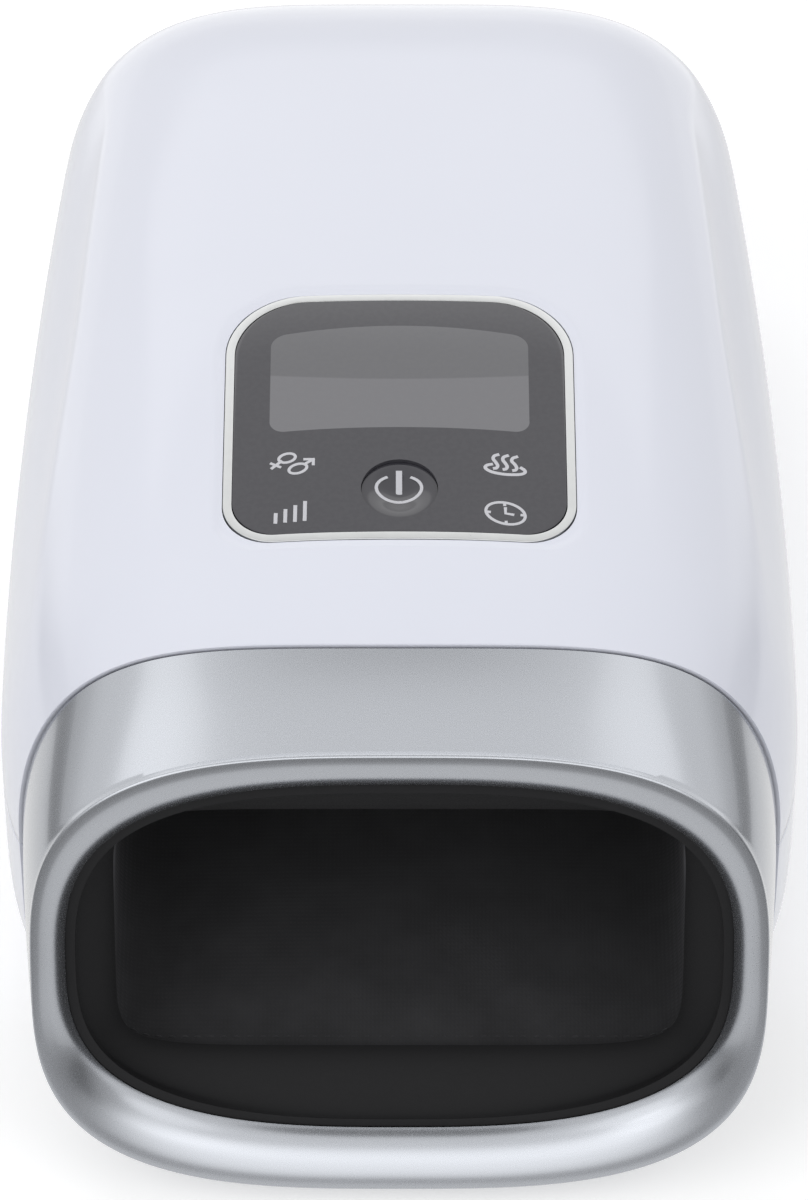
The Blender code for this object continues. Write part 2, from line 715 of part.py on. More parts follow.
def rim_profile():
    """Return (half width, half height, depth, power) from the collar's band to its edge."""
    side = RIM_HALF_WIDTH
    top = RIM_HALF_HEIGHT
    inner_side = side - LIP_WIDTH_SIDE
    inner_top = top - LIP_WIDTH_TOP
    rows = [
        (side + RIM_SHOULDER_FLARE, top + RIM_SHOULDER_FLARE, RIM_SHOULDER, RIM_POWER),
        (side + RIM_SHOULDER_FLARE / 3, top + RIM_SHOULDER_FLARE / 3, RIM_SHOULDER / 5,
         RIM_POWER),
    ]
    roll_shares = ((0.10, 0.55), (0.35, 1.0), (0.65, 0.55), (0.88, -1.2))
    for share, bulge_share in roll_shares:
        rows.append((side - LIP_WIDTH_SIDE * share, top - LIP_WIDTH_TOP * share,
                     -LIP_BULGE * bulge_share,
                     RIM_POWER + (LIP_POWER - RIM_POWER) * share))
    rows.append((inner_side, inner_top, LIP_RECESS, LIP_POWER))
    rows.append((inner_side, inner_top, LIP_RECESS + LIP_LAND, LIP_POWER))
    return rows


def rim_row(half_across, half_up, depth, power, angles):
    """Return one ring of the rim."""
    return [rim_point(half_across * signed_power(math.cos(angle), 2 / power),
                      half_up * signed_power(math.sin(angle), 2 / power), depth)
            for angle in angles]


def make_body_cores():
    """Make the trimming solid for posts and bosses."""
    return body_core("wall_middle_core", HOUSING_WALL / 2)


def posts_object(name, posts, core=None, facets=SCREW_FACETS):
    """Join round posts (x, y, bottom, top, radius) in one trimming object."""
    form = bmesh.new()
    for x, y, bottom, top, radius in posts:
        place = Matrix.Translation((x, y, (bottom + top) / 2))
        bmesh.ops.create_cone(form, cap_ends=True, segments=facets, radius1=radius,
                              radius2=radius, depth=top - bottom, matrix=place)
    posts_piece = add_cutter(name, mesh_from(name, form))
    if core is not None:
        combine(posts_piece, core, "INTERSECT")
    return posts_piece


def panel_slope():
    """Return the slope of the panel, which follows the top's centre line."""
    front = SEAM_Y + PANEL_FRONT_FROM_SEAM
    fall = crown_height(front) - crown_height(front + PANEL_LENGTH)
    return -math.atan2(fall, PANEL_LENGTH)


def make_panel_frame():
    """Return the empty at the front middle of the panel's upper face."""
    frame = bpy.data.objects.new("panel_frame", None)
    collection(CUTTERS).objects.link(frame)
    y = SEAM_Y + PANEL_FRONT_FROM_SEAM
    frame.location = (0, y, crown_height(y) - PANEL_SINK)
    frame.rotation_euler = (panel_slope(), 0, 0)
    frame.hide_render = True
    return frame


def panel_outline(margin):
    """Return the panel's outline, drawn in by a margin, as (x, y) from its front edge."""
    half = PANEL_HALF_WIDTH - margin
    front = margin
    rear = PANEL_LENGTH - margin
    front_corner = PANEL_FRONT_CORNER - margin / 2
    rear_corner = PANEL_REAR_CORNER - margin / 2
    right = []
    for index in range(PANEL_CORNER_FACETS + 1):
        angle = math.pi / 2 * index / PANEL_CORNER_FACETS
        right.append((half - front_corner + front_corner * math.sin(angle),
                      front + front_corner - front_corner * math.cos(angle)))
    for index in range(PANEL_CORNER_FACETS + 1):
        angle = math.pi / 2 * index / PANEL_CORNER_FACETS
        right.append((half - rear_corner + rear_corner * math.cos(angle),
                      rear - rear_corner + rear_corner * math.sin(angle)))
    front_edge = [((half - front_corner) * index / PANEL_EDGE_FACETS, front)
                  for index in range(PANEL_EDGE_FACETS)]
    rear_edge = [((half - rear_corner) * (1 - index / PANEL_EDGE_FACETS), rear)
                 for index in range(1, PANEL_EDGE_FACETS)]
    right = front_edge + right + rear_edge
    left = [(-x, y) for x, y in reversed(right) if x > 0]
    outline = right + [(0, rear)] + left
    return [(x, y + PANEL_BOW * (1 - (x / half) ** 2)) for x, y in outline]


def outline_mesh(name, outline, thickness, holes=()):
    """Extrude a flat outline down from z = 0, with holes."""
    curve = bpy.data.curves.new(name, "CURVE")
    curve.dimensions = "2D"
    curve.fill_mode = "BOTH"
    curve.extrude = thickness / 2
    for loop in (outline, *holes):
        spline = curve.splines.new("POLY")
        spline.points.add(len(loop) - 1)
        for index, (x, y) in enumerate(loop):
            spline.points[index].co = (x, y, 0, 1)
        spline.use_cyclic_u = True
    source = bpy.data.objects.new(name, curve)
    collection(CUTTERS).objects.link(source)
    depsgraph = bpy.context.evaluated_depsgraph_get()
    mesh = bpy.data.meshes.new_from_object(source.evaluated_get(depsgraph))
    bpy.data.objects.remove(source, do_unlink=True)
    form = bmesh.new()
    form.from_mesh(mesh)
    bmesh.ops.remove_doubles(form, verts=form.verts, dist=0.00001)
    bmesh.ops.translate(form, vec=(0, 0, -thickness / 2), verts=form.verts)
    bmesh.ops.recalc_face_normals(form, faces=form.faces)
    form.to_mesh(mesh)
    form.free()
    return mesh


def circle(radius, centre_x, centre_y, facets=ROUND_FACETS):
    """Return the points of a circle, clockwise."""
    return [(centre_x + radius * math.cos(2 * math.pi * index / facets),
             centre_y - radius * math.sin(2 * math.pi * index / facets))
            for index in range(facets)]


def make_upper_housing(core, panel):
    """Make the upper moulding with its panel pocket, bosses and screw holes."""
    count = 2 * SIDE_FACETS + CROWN_FACETS + 1
    rows = body_rows(0, count)
    for row in rows:
        row[0].z += GAP / 2
        row[-1].z += GAP / 2
    pole = Vector((0, BACK_Y, PARTING_HEIGHT + GAP / 2))
    mesh = loft_mesh("upper_housing", rows, closed_rows=False, pole=pole)
    housing = add_piece("upper_housing", mesh, "white_gloss")
    thicken(housing, HOUSING_WALL, -1)
    bosses = [(x, y, PARTING_HEIGHT + GAP, BODY_HEIGHT, POST_RADIUS)
              for x, y in case_post_places()]
    combine(housing, posts_object("upper_bosses", bosses, core), "UNION")
    board_y = PANEL_LENGTH - BOARD_BOSS_FROM_REAR
    boss_form = bmesh.new()
    for side in (-1, 1):
        length = BOARD_DEPTH - GAP - HOUSING_WALL / 2
        place = Matrix.Translation((side * BOARD_BOSS_ACROSS, board_y,
                                    -BOARD_DEPTH + GAP + length / 2))
        bmesh.ops.create_cone(boss_form, cap_ends=True, segments=SCREW_FACETS,
                              radius1=BOARD_BOSS_RADIUS, radius2=BOARD_BOSS_RADIUS,
                              depth=length, matrix=place)
    board_bosses = add_cutter("board_bosses", mesh_from("board_bosses", boss_form),
                              parent=panel)
    combine(board_bosses, core, "INTERSECT")
    combine(housing, board_bosses, "UNION")
    pocket = outline_mesh("panel_pocket", panel_outline(-GAP),
                          OVERRUN + PANEL_THICKNESS + GAP)
    combine(housing, add_cutter("panel_pocket", pocket, (0, 0, OVERRUN), panel),
            "DIFFERENCE")
    window = outline_mesh("panel_window", panel_outline(LEDGE_WIDTH + TRIM_WIDTH),
                          2 * OVERRUN + HOUSING_WALL)
    combine(housing, add_cutter("panel_window", window, (0, 0, OVERRUN), panel),
            "DIFFERENCE")
    bores = [(x, y, PARTING_HEIGHT - OVERRUN, PARTING_HEIGHT + CASE_SCREW_LENGTH,
              SCREW_RADIUS + SCREW_CLEARANCE) for x, y in case_post_places()]
    combine(housing, posts_object("upper_bores", bores), "DIFFERENCE")
    pilot_form = bmesh.new()
    for side in (-1, 1):
        length = SMALL_SCREW_LENGTH - BOARD_THICKNESS + OVERRUN
        place = Matrix.Translation((side * BOARD_BOSS_ACROSS, board_y,
                                    -BOARD_DEPTH - OVERRUN + length / 2))
        bmesh.ops.create_cone(pilot_form, cap_ends=True, segments=SCREW_FACETS,
                              radius1=SCREW_RADIUS + SCREW_CLEARANCE,
                              radius2=SCREW_RADIUS + SCREW_CLEARANCE, depth=length,
                              matrix=place)
    pilots = add_cutter("board_pilots", mesh_from("board_pilots", pilot_form),
                        parent=panel)
    combine(housing, pilots, "DIFFERENCE")
    return housing


def foot_places():
    """Return the (x, y) of the four feet."""
    front = SEAM_Y + FOOT_FRONT_FROM_SEAM
    rear = BACK_Y - FOOT_REAR_FROM_BACK
    places = ((front, BODY_WIDTH / 2 - FOOT_FRONT_SIDE_SPACE),
              (rear, BODY_WIDTH / 2 - FOOT_REAR_SIDE_SPACE))
    return [(side * across, y) for y, across in places for side in (-1, 1)]


def front_post_places():
    """Return the (x, y) of the posts that the tunnel stands on."""
    front = SEAM_Y + FRONT_POST_FROM_SEAM
    rear = TUNNEL_BACK_Y - REAR_REST_FROM_TUNNEL_BACK
    return [(side * FRONT_POST_X, y) for y in (front, rear) for side in (-1, 1)]


def deck_post_places():
    """Return the (x, y) of the posts under the deck."""
    return [(side * DECK_POST_X, y)
            for y in (DECK_FRONT_Y + DECK_POST_MARGIN,
                      DECK_FRONT_Y + DECK_LENGTH - DECK_POST_MARGIN)
            for side in (-1, 1)]


def tray_centre_y():
    """Return the middle of the battery tray."""
    return DECK_FRONT_Y + TRAY_LENGTH / 2 - DECK_POST_MARGIN


def make_lower_housing(core):
    """Make the lower moulding with its posts, foot bosses, screw holes and inlet."""
    first = 2 * SIDE_FACETS + CROWN_FACETS
    rows = body_rows(first, first + BELLY_FACETS + 1)
    for row in rows:
        row[0].z -= GAP / 2
        row[-1].z -= GAP / 2
    pole = Vector((0, BACK_Y, PARTING_HEIGHT - GAP / 2))
    mesh = loft_mesh("lower_housing", rows, closed_rows=False, pole=pole)
    housing = add_piece("lower_housing", mesh, "white_gloss")
    thicken(housing, HOUSING_WALL, -1)
    base = UNDERSIDE_HEIGHT
    posts = [(x, y, base, TUNNEL_FLOOR_HEIGHT - GAP, POST_RADIUS)
             for x, y in front_post_places()]
    posts += [(x, y, base, DECK_HEIGHT - GAP, POST_RADIUS) for x, y in deck_post_places()]
    posts += [(x, y, base, PARTING_HEIGHT - GAP, POST_RADIUS)
              for x, y in case_post_places()]
    posts += [(side * TRAY_WIDTH / 3, tray_centre_y() + end * TRAY_LENGTH / 3, base,
               TRAY_HEIGHT - GAP, TRAY_PAD_RADIUS) for side in (-1, 1) for end in (-1, 1)]
    combine(housing, posts_object("lower_posts", posts, core), "UNION")
    boss_radius = FOOT_RADIUS + GAP + FOOT_BOSS_RIM
    bosses = [(x, y, FOOT_HEIGHT + GAP - FOOT_RECESS, base + HOUSING_WALL, boss_radius)
              for x, y in foot_places()]
    combine(housing, posts_object("foot_bosses", bosses, facets=ROUND_FACETS), "UNION")
    recesses = [(x, y, base - OVERRUN, FOOT_HEIGHT + GAP, FOOT_RADIUS + GAP)
                for x, y in foot_places()]
    combine(housing, posts_object("foot_recesses", recesses, facets=ROUND_FACETS),
            "DIFFERENCE")
    head = SCREW_HEAD_RADIUS + SCREW_CLEARANCE
    shank = SCREW_RADIUS + SCREW_CLEARANCE
    holes = []
    for x, y in front_post_places()[:2]:
        holes.append((x, y, base - OVERRUN, short_head_height() + SCREW_HEAD_HEIGHT + GAP,
                      head))
    for x, y in case_post_places():
        holes.append((x, y, base - OVERRUN, PARTING_HEIGHT - CASE_SCREW_DEPTH + GAP, head))
    combine(housing, posts_object("screw_wells", holes), "DIFFERENCE")
    holes = [(x, y, base, TUNNEL_FLOOR_HEIGHT + OVERRUN, shank)
             for x, y in front_post_places()[:2]]
    holes += [(x, y, base, PARTING_HEIGHT + OVERRUN, shank) for x, y in case_post_places()]
    combine(housing, posts_object("screw_bores", holes), "DIFFERENCE")
    slot = box_mesh("inlet_slot", INLET_WIDTH + 2 * GAP, NOSE_LENGTH / 2,
                    INLET_THICKNESS + 2 * GAP)
    place = (0, BACK_Y, INLET_HEIGHT - INLET_THICKNESS / 2 - GAP)
    combine(housing, add_cutter("inlet_slot", slot, place), "DIFFERENCE")
    return housing


def short_head_height():
    """Return the height of the underside of the heads that hold the tunnel."""
    return TUNNEL_FLOOR_HEIGHT + TUNNEL_WALL - SMALL_SCREW_LENGTH - SCREW_HEAD_HEIGHT


def make_collar():
    """Make the collar: a spigot, the sloping band and the rolled rim, as one wall."""
    angles = section_angles(SEAM_Y)
    seat = HOUSING_WALL + GAP + GAP
    rows = [
        [section_point(SEAM_Y + SPIGOT_LENGTH, angle, 0, seat, False) for angle in angles],
        [section_point(SEAM_Y, angle, 0, seat, False) - Vector((0, GAP, 0))
         for angle in angles],
        [section_point(SEAM_Y, angle, 0, COLLAR_INSET, False) - Vector((0, GAP, 0))
         for angle in angles],
    ]
    rows += [rim_row(*size, angles) for size in rim_profile()]
    mesh = loft_mesh("front_collar", rows, flip=True)
    collar = add_piece("front_collar", mesh, "silver_satin")
    thicken(collar, COLLAR_WALL, -1)
    return collar


def mouth_depths():
    """Return the depths of the mouth ring's front and rear edges behind the rim."""
    front = LIP_RECESS + LIP_LAND + GAP
    return front, front + MOUTH_RING_DEPTH


def make_mouth_ring():
    """Make the black ring behind the rim that funnels into the tunnel."""
    angles = section_angles(SEAM_Y)
    front, rear = mouth_depths()
    side = RIM_HALF_WIDTH - LIP_WIDTH_SIDE
    top = RIM_HALF_HEIGHT - LIP_WIDTH_TOP
    inner = TUNNEL_HALF_WIDTH - TUNNEL_WALL - GAP - LINER_THICKNESS
    drop = RIM_CENTRE_HEIGHT - rear * math.sin(RIM_TILT) - LINER_FLOOR_HEIGHT
    rows = [
        rim_row(side, top, front, LIP_POWER, angles),
        rim_row(side, top, front + MOUTH_RING_LAND, LIP_POWER, angles),
        rim_row((side + inner) / 2, (top + drop) / 2, (front + rear) / 2,
                (LIP_POWER + BELLY_POWER) / 2, angles),
        rim_row(inner, drop / math.cos(RIM_TILT), rear, BELLY_POWER, angles),
    ]
    mesh = loft_mesh("mouth_ring", rows)
    ring = add_piece("mouth_ring", mesh, "black_plastic")
    thicken(ring, MOUTH_RING_WALL, 1)
    combine(ring, mouth_cutter("ring_trim", rear), "INTERSECT")
    return ring


def open_tray_mesh(name, half_across, bottom, top, front, back, corner):
    """Make the open surface of a tray: a floor, two sides and a back, no wall yet."""
    form = bmesh.new()
    bmesh.ops.create_cube(form, size=1.0)
    bmesh.ops.scale(form, vec=(2 * half_across, back - front, top - bottom),
                    verts=form.verts)
    bmesh.ops.translate(form, vec=(0, (front + back) / 2, (top + bottom) / 2),
                        verts=form.verts)
    rounded = []
    for edge in form.edges:
        middle = (edge.verts[0].co + edge.verts[1].co) / 2
        low = middle.z < bottom + corner
        rear = middle.y > back - corner
        outer = abs(middle.x) > half_across - corner
        if (low and outer) or (rear and outer) or (rear and low):
            rounded.append(edge)
    bmesh.ops.bevel(form, geom=rounded, offset=corner, segments=TUNNEL_CORNER_FACETS,
                    affect="EDGES", profile=0.5)
    open_faces = [face for face in form.faces
                  if face.normal.z > 0.99 or face.normal.y < -0.99]
    bmesh.ops.delete(form, geom=open_faces, context="FACES")
    return mesh_from(name, form)


def mouth_cutter(name, depth):
    """Make the block that trims a tray's front parallel to the rim."""
    block = box_mesh(name, BODY_WIDTH, BODY_LENGTH, BODY_LENGTH)
    cutter = add_cutter(name, block)
    cutter.rotation_euler = (-RIM_TILT, 0, 0)
    centre = rim_point(0, 0, depth)
    back = Vector((0, -math.cos(RIM_TILT), math.sin(RIM_TILT))) * BODY_LENGTH / 2
    down = Vector((0, math.sin(RIM_TILT), math.cos(RIM_TILT))) * -BODY_LENGTH / 2
    cutter.location = centre + back + down
    return cutter


def tunnel_front_y():
    """Return a y in front of every point where the tunnel's tray may start."""
    return rim_centre_y() - RIM_HALF_HEIGHT * math.sin(RIM_TILT)


def ear_places():
    """Return the (x, y) of the screw ears."""
    front = SEAM_Y + EAR_FRONT_FROM_SEAM
    return [(side * EAR_X, y) for y in (front, EAR_REAR_Y) for side in (-1, 1)]


def make_tunnel_frame():
    """Make the tray that forms the tunnel's floor, sides and back."""
    mesh = open_tray_mesh("tunnel_frame", TUNNEL_HALF_WIDTH, TUNNEL_FLOOR_HEIGHT,
                          TUNNEL_TOP_HEIGHT, tunnel_front_y(), TUNNEL_BACK_Y,
                          TUNNEL_CORNER)
    frame = add_piece("tunnel_frame", mesh, "grey_plastic")
    thicken(frame, TUNNEL_WALL, -1)
    ears = [(x, y, TUNNEL_TOP_HEIGHT - EAR_DEPTH, TUNNEL_TOP_HEIGHT, EAR_RADIUS)
            for x, y in ear_places()]
    combine(frame, posts_object("tunnel_ears", ears), "UNION")
    shank = SCREW_RADIUS + SCREW_CLEARANCE
    bores = [(x, y, TUNNEL_TOP_HEIGHT - SMALL_SCREW_LENGTH, TUNNEL_TOP_HEIGHT + OVERRUN,
              shank) for x, y in ear_places()]
    bores += [(x, y, TUNNEL_FLOOR_HEIGHT - OVERRUN, TUNNEL_FLOOR_HEIGHT + OVERRUN, shank)
              for x, y in front_post_places()[:2]]
    combine(frame, posts_object("tunnel_bores", bores), "DIFFERENCE")
    combine(frame, mouth_cutter("tunnel_trim", mouth_depths()[1] + GAP), "DIFFERENCE")
    return frame


def make_liner():
    """Make the fabric liner that covers the tunnel's floor, sides and back."""
    reach = TUNNEL_WALL + GAP
    mesh = open_tray_mesh("liner", TUNNEL_HALF_WIDTH - reach, LINER_FLOOR_HEIGHT,
                          TUNNEL_TOP_HEIGHT - GAP, tunnel_front_y(),
                          TUNNEL_BACK_Y - reach, TUNNEL_CORNER - reach)
    liner = add_piece("liner", mesh, "black_fabric")
    thicken(liner, LINER_THICKNESS, -1)
    combine(liner, mouth_cutter("liner_trim", mouth_depths()[1] + GAP), "DIFFERENCE")
    return liner


def make_floor_layers():
    """Make the foam and the heating film under the liner's floor."""
    bottom = TUNNEL_FLOOR_HEIGHT + TUNNEL_WALL + GAP
    front = rim_point(0, 0, mouth_depths()[1]).y + FOAM_FRONT_MARGIN
    back = TUNNEL_BACK_Y - TUNNEL_CORNER
    mesh = box_mesh("floor_foam", 2 * FOAM_HALF_WIDTH, back - front, FOAM_THICKNESS,
                    CELL_CORNER)
    add_piece("floor_foam", mesh, "foam_grey", (0, (front + back) / 2, bottom))
    film = box_mesh("heating_film", 2 * (FOAM_HALF_WIDTH - FILM_MARGIN),
                    back - front - 2 * FILM_MARGIN, FILM_THICKNESS, CELL_CORNER)
    add_piece("heating_film", film, "film_amber",
              (0, (front + back) / 2, bottom + FOAM_THICKNESS + GAP))


def roof_front_y():
    """Return the y of the roof frame's front edge, behind the mouth ring."""
    return rim_point(0, RIM_HALF_HEIGHT - LIP_WIDTH_TOP, mouth_depths()[1]).y


def air_cells():
    """Return the middle y and the length of the palm cell and the finger cell."""
    front = roof_front_y() + CELL_FRONT_MARGIN
    back = TUNNEL_BACK_Y - TUNNEL_WALL - CELL_SPACE / 2
    palm = (back - CELL_SPACE - front) * PALM_CELL_SHARE
    finger = back - CELL_SPACE - front - palm
    return {"palm": (front + palm / 2, palm), "finger": (back - finger / 2, finger)}


def port_places():
    """Return the (x, y) of the palm and finger air ports in the roof frame."""
    palm_y, palm_length = air_cells()["palm"]
    return [(PORT_X, palm_y + palm_length / 4), (PORT_X, air_cells()["finger"][0])]


def standoff_places():
    """Return the (x, y) of the main board's standoffs."""
    left = -MAIN_BOARD_LEFT + STANDOFF_MARGIN
    right = left + MAIN_BOARD_WIDTH - 2 * STANDOFF_MARGIN
    back = TUNNEL_BACK_Y - MAIN_BOARD_BACK_MARGIN - STANDOFF_MARGIN
    front = back - MAIN_BOARD_LENGTH + 2 * STANDOFF_MARGIN
    return [(x, y) for x in (left, right) for y in (front, back)]


def make_roof_frame():
    """Make the plate that carries the air cells, with ribs, ears, ports, standoffs."""
    front = roof_front_y()
    length = TUNNEL_BACK_Y - front
    middle = (TUNNEL_BACK_Y + front) / 2
    mesh = box_mesh("roof_frame", 2 * TUNNEL_HALF_WIDTH, length, ROOF_THICKNESS,
                    ROOF_CORNER)
    frame = add_piece("roof_frame", mesh, "grey_plastic", (0, middle, ROOF_BOTTOM_HEIGHT))
    ears = [(x, y, ROOF_BOTTOM_HEIGHT, ROOF_TOP_HEIGHT, EAR_RADIUS)
            for x, y in ear_places()]
    combine(frame, posts_object("roof_ears", ears), "UNION")
    root = ROOF_TOP_HEIGHT - ROOF_THICKNESS / 2
    posts = [(x, y, root, ROOF_TOP_HEIGHT + PORT_HEIGHT, PORT_RADIUS)
             for x, y in port_places()]
    posts += [(x, y, root, ROOF_TOP_HEIGHT + STANDOFF_HEIGHT, STANDOFF_RADIUS)
              for x, y in standoff_places()]
    combine(frame, posts_object("roof_posts", posts), "UNION")
    for side in (-1, 1):
        rib = box_mesh("roof_rib", RIB_WIDTH, length - 2 * ROOF_CORNER,
                       ROOF_THICKNESS / 2 + RIB_HEIGHT)
        place = (side * (CELL_HALF_WIDTH + ROOF_CORNER), middle, root)
        combine(frame, add_cutter("roof_rib_%d" % side, rib, place), "UNION")
    bores = [(x, y, ROOF_BOTTOM_HEIGHT - OVERRUN, ROOF_TOP_HEIGHT + OVERRUN,
              SCREW_RADIUS + SCREW_CLEARANCE) for x, y in ear_places()]
    bores += [(x, y, ROOF_BOTTOM_HEIGHT - OVERRUN, ROOF_TOP_HEIGHT + PORT_HEIGHT + OVERRUN,
               PORT_RADIUS / 2) for x, y in port_places()]
    combine(frame, posts_object("roof_bores", bores), "DIFFERENCE")
    return frame


def make_air_cell(name, centre_y, length):
    """Make a cell: the bag under the roof frame and the pad that its air pushes down."""
    form = bmesh.new()
    bmesh.ops.create_cube(form, size=1.0)
    bmesh.ops.scale(form, vec=(2 * CELL_HALF_WIDTH, length, BAG_THICKNESS),
                    verts=form.verts)
    uprights = [edge for edge in form.edges if is_upright(edge)]
    bmesh.ops.bevel(form, geom=uprights, offset=CELL_CORNER, segments=3, affect="EDGES",
                    profile=0.5)
    rims = [edge for edge in form.edges if abs(edge.verts[0].co.z - edge.verts[1].co.z)
            < BAG_THICKNESS / 4 and len(edge.link_faces) == 2
            and edge.calc_face_angle() > 1]
    bmesh.ops.bevel(form, geom=rims, offset=BAG_THICKNESS / 3, segments=2,
                    affect="EDGES", profile=0.5)
    add_piece(name + "_bag", mesh_from(name + "_bag", form), "rubber_grey",
              (0, centre_y, BAG_BOTTOM_HEIGHT + BAG_THICKNESS / 2))
    add_piece(name + "_pad", pad_mesh(name + "_pad", 2 * (CELL_HALF_WIDTH + BAG_HEM),
                                      length + BAG_HEM), "black_fabric",
              (0, centre_y, PAD_TOP_HEIGHT))


def pad_mesh(name, width, length):
    """Make a crowned pad, flat on top, hanging below its origin."""
    form = bmesh.new()
    bmesh.ops.create_grid(form, x_segments=6, y_segments=6, size=0.5)
    face_up = [vert for vert in form.verts]
    for vert in face_up:
        share_x = 2 * vert.co.x
        share_y = 2 * vert.co.y
        rounding = power_round(max(abs(share_x), abs(share_y)), 8)
        pull = 1 - (abs(share_x) * abs(share_y)) ** 3 * CELL_CORNER / width
        vert.co.x *= width * pull
        vert.co.y *= length * pull
        vert.co.z = (-PAD_THICKNESS + PAD_CROWN * (1 - rounding)
                     + PAD_CROWN * (share_x ** 2 + share_y ** 2) / 2)
    bmesh.ops.reverse_faces(form, faces=form.faces)
    sides = bmesh.ops.extrude_edge_only(form, edges=[edge for edge in form.edges
                                                     if edge.is_boundary])
    top = [item for item in sides["geom"] if isinstance(item, bmesh.types.BMVert)]
    for vert in top:
        vert.co.z = 0
    rim = [edge for edge in form.edges if edge.is_boundary]
    bmesh.ops.contextual_create(form, geom=rim)
    bmesh.ops.recalc_face_normals(form, faces=form.faces)
    return mesh_from(name, form)


def make_panel(panel):
    """Make the glass panel and the silver frame round it."""
    trim = outline_mesh("panel_trim", panel_outline(0.0), PANEL_THICKNESS,
                        [panel_outline(TRIM_WIDTH)])
    add_piece("panel_trim", trim, "trim_silver", parent=panel, smooth=False)
    hole = circle(KEY_RADIUS + GAP, 0, KEY_FROM_FRONT)
    lens = outline_mesh("panel_lens", panel_outline(TRIM_WIDTH + GAP), PANEL_THICKNESS,
                        [hole])
    add_piece("panel_lens", lens, "smoked_glass", parent=panel, smooth=False)


def make_power_key(panel):
    """Make the dished round key with its flange under the glass and its stem."""
    flange_top = -PANEL_THICKNESS - GAP
    flange_bottom = flange_top - KEY_FLANGE_THICKNESS
    flange_radius = KEY_RADIUS + GAP + KEY_FLANGE
    rim = KEY_RADIUS - KEY_DISH
    profile = [
        (0, -KEY_DISH),
        (rim * 0.5, -KEY_DISH * 0.9),
        (rim * 0.9, -KEY_DISH * 0.4),
        (rim, -GAP / 2),
        (KEY_RADIUS, -GAP),
        (KEY_RADIUS, flange_top),
        (flange_radius, flange_top),
        (flange_radius, flange_bottom),
        (KEY_STEM_RADIUS, flange_bottom),
        (KEY_STEM_RADIUS, flange_bottom - KEY_STEM_LENGTH),
        (0, flange_bottom - KEY_STEM_LENGTH),
    ]
    return turned_piece("power_key", profile, "smoked_glass", (0, KEY_FROM_FRONT, 0), panel)


def make_panel_electronics(panel):
    """Make the board, switch, display and touch springs under the panel."""
    board_length = PANEL_LENGTH - TRIM_WIDTH
    mesh = box_mesh("panel_board", 2 * BOARD_HALF_WIDTH, board_length, BOARD_THICKNESS,
                    TRIM_WIDTH)
    board_y = TRIM_WIDTH + board_length / 2
    board = add_piece("panel_board", mesh, "board_green",
                      (0, board_y, -BOARD_DEPTH - BOARD_THICKNESS), panel)
    screw_y = PANEL_LENGTH - BOARD_BOSS_FROM_REAR
    for side, label in ((-1, "left"), (1, "right")):
        hole = rod_mesh("board_hole_" + label, SCREW_RADIUS + SCREW_CLEARANCE,
                        BOARD_THICKNESS + 2 * OVERRUN, SCREW_FACETS)
        cutter = add_cutter("board_hole_" + label, hole,
                            (side * BOARD_BOSS_ACROSS, screw_y,
                             -BOARD_DEPTH - BOARD_THICKNESS - OVERRUN), panel)
        combine(board, cutter, "DIFFERENCE")
        screw = make_screw("board_screw_" + label, SMALL_SCREW_LENGTH - GAP,
                           (side * BOARD_BOSS_ACROSS, screw_y,
                            -BOARD_DEPTH - BOARD_THICKNESS - GAP))
        screw.parent = panel
    stem_end = -PANEL_THICKNESS - GAP - KEY_FLANGE_THICKNESS - KEY_STEM_LENGTH
    switch_bottom = -BOARD_DEPTH + GAP
    switch_top = stem_end - KEY_TRAVEL - GAP / 2
    switch = box_mesh("power_switch", SWITCH_SIDE, SWITCH_SIDE,
                      switch_top - switch_bottom)
    add_piece("power_switch", switch, "black_plastic",
              (0, KEY_FROM_FRONT, switch_bottom), panel)
    space = BOARD_DEPTH - PANEL_THICKNESS - 2 * GAP
    display = box_mesh("display_module", 2 * DISPLAY_HALF_WIDTH, DISPLAY_LENGTH, space,
                       DISPLAY_CORNER)
    add_piece("display_module", display, "display_dark",
              (0, DISPLAY_FROM_FRONT + DISPLAY_LENGTH / 2, -BOARD_DEPTH + GAP), panel)
    names = {
        (-1, TOUCH_REAR_FROM_FRONT): "touch_pad_user",
        (-1, TOUCH_FRONT_FROM_FRONT): "touch_pad_level",
        (1, TOUCH_REAR_FROM_FRONT): "touch_pad_heat",
        (1, TOUCH_FRONT_FROM_FRONT): "touch_pad_timer",
    }
    for (side, y), name in names.items():
        pad = box_mesh(name, TOUCH_SIDE, TOUCH_SIDE, space)
        add_piece(name, pad, "foam_grey", (side * TOUCH_ACROSS, y, -BOARD_DEPTH + GAP),
                  panel)


def make_screw(name, length, place):
    """Make a pan-head screw that points up, with the underside of its head at place."""
    profile = [
        (0, length),
        (SCREW_RADIUS / 2, length),
        (SCREW_RADIUS, length - SCREW_RADIUS),
        (SCREW_RADIUS, 0),
        (SCREW_HEAD_RADIUS, 0),
        (SCREW_HEAD_RADIUS, -SCREW_HEAD_HEIGHT / 2),
        (SCREW_HEAD_RADIUS * 0.7, -SCREW_HEAD_HEIGHT),
        (0, -SCREW_HEAD_HEIGHT),
    ]
    return turned_piece(name, profile, "steel", place, facets=SCREW_FACETS)


def make_case_screws():
    """Make the screws that hold the tunnel and the two housings from below."""
    ends = (("front_left", 0), ("front_right", 1))
    for label, index in ends:
        x, y = front_post_places()[index]
        make_screw("case_screw_" + label, SMALL_SCREW_LENGTH,
                   (x, y, short_head_height() + SCREW_HEAD_HEIGHT))
    for label, (x, y) in zip(("rear_left", "rear_right"), case_post_places()):
        make_screw("case_screw_" + label, CASE_SCREW_LENGTH,
                   (x, y, PARTING_HEIGHT - CASE_SCREW_DEPTH))


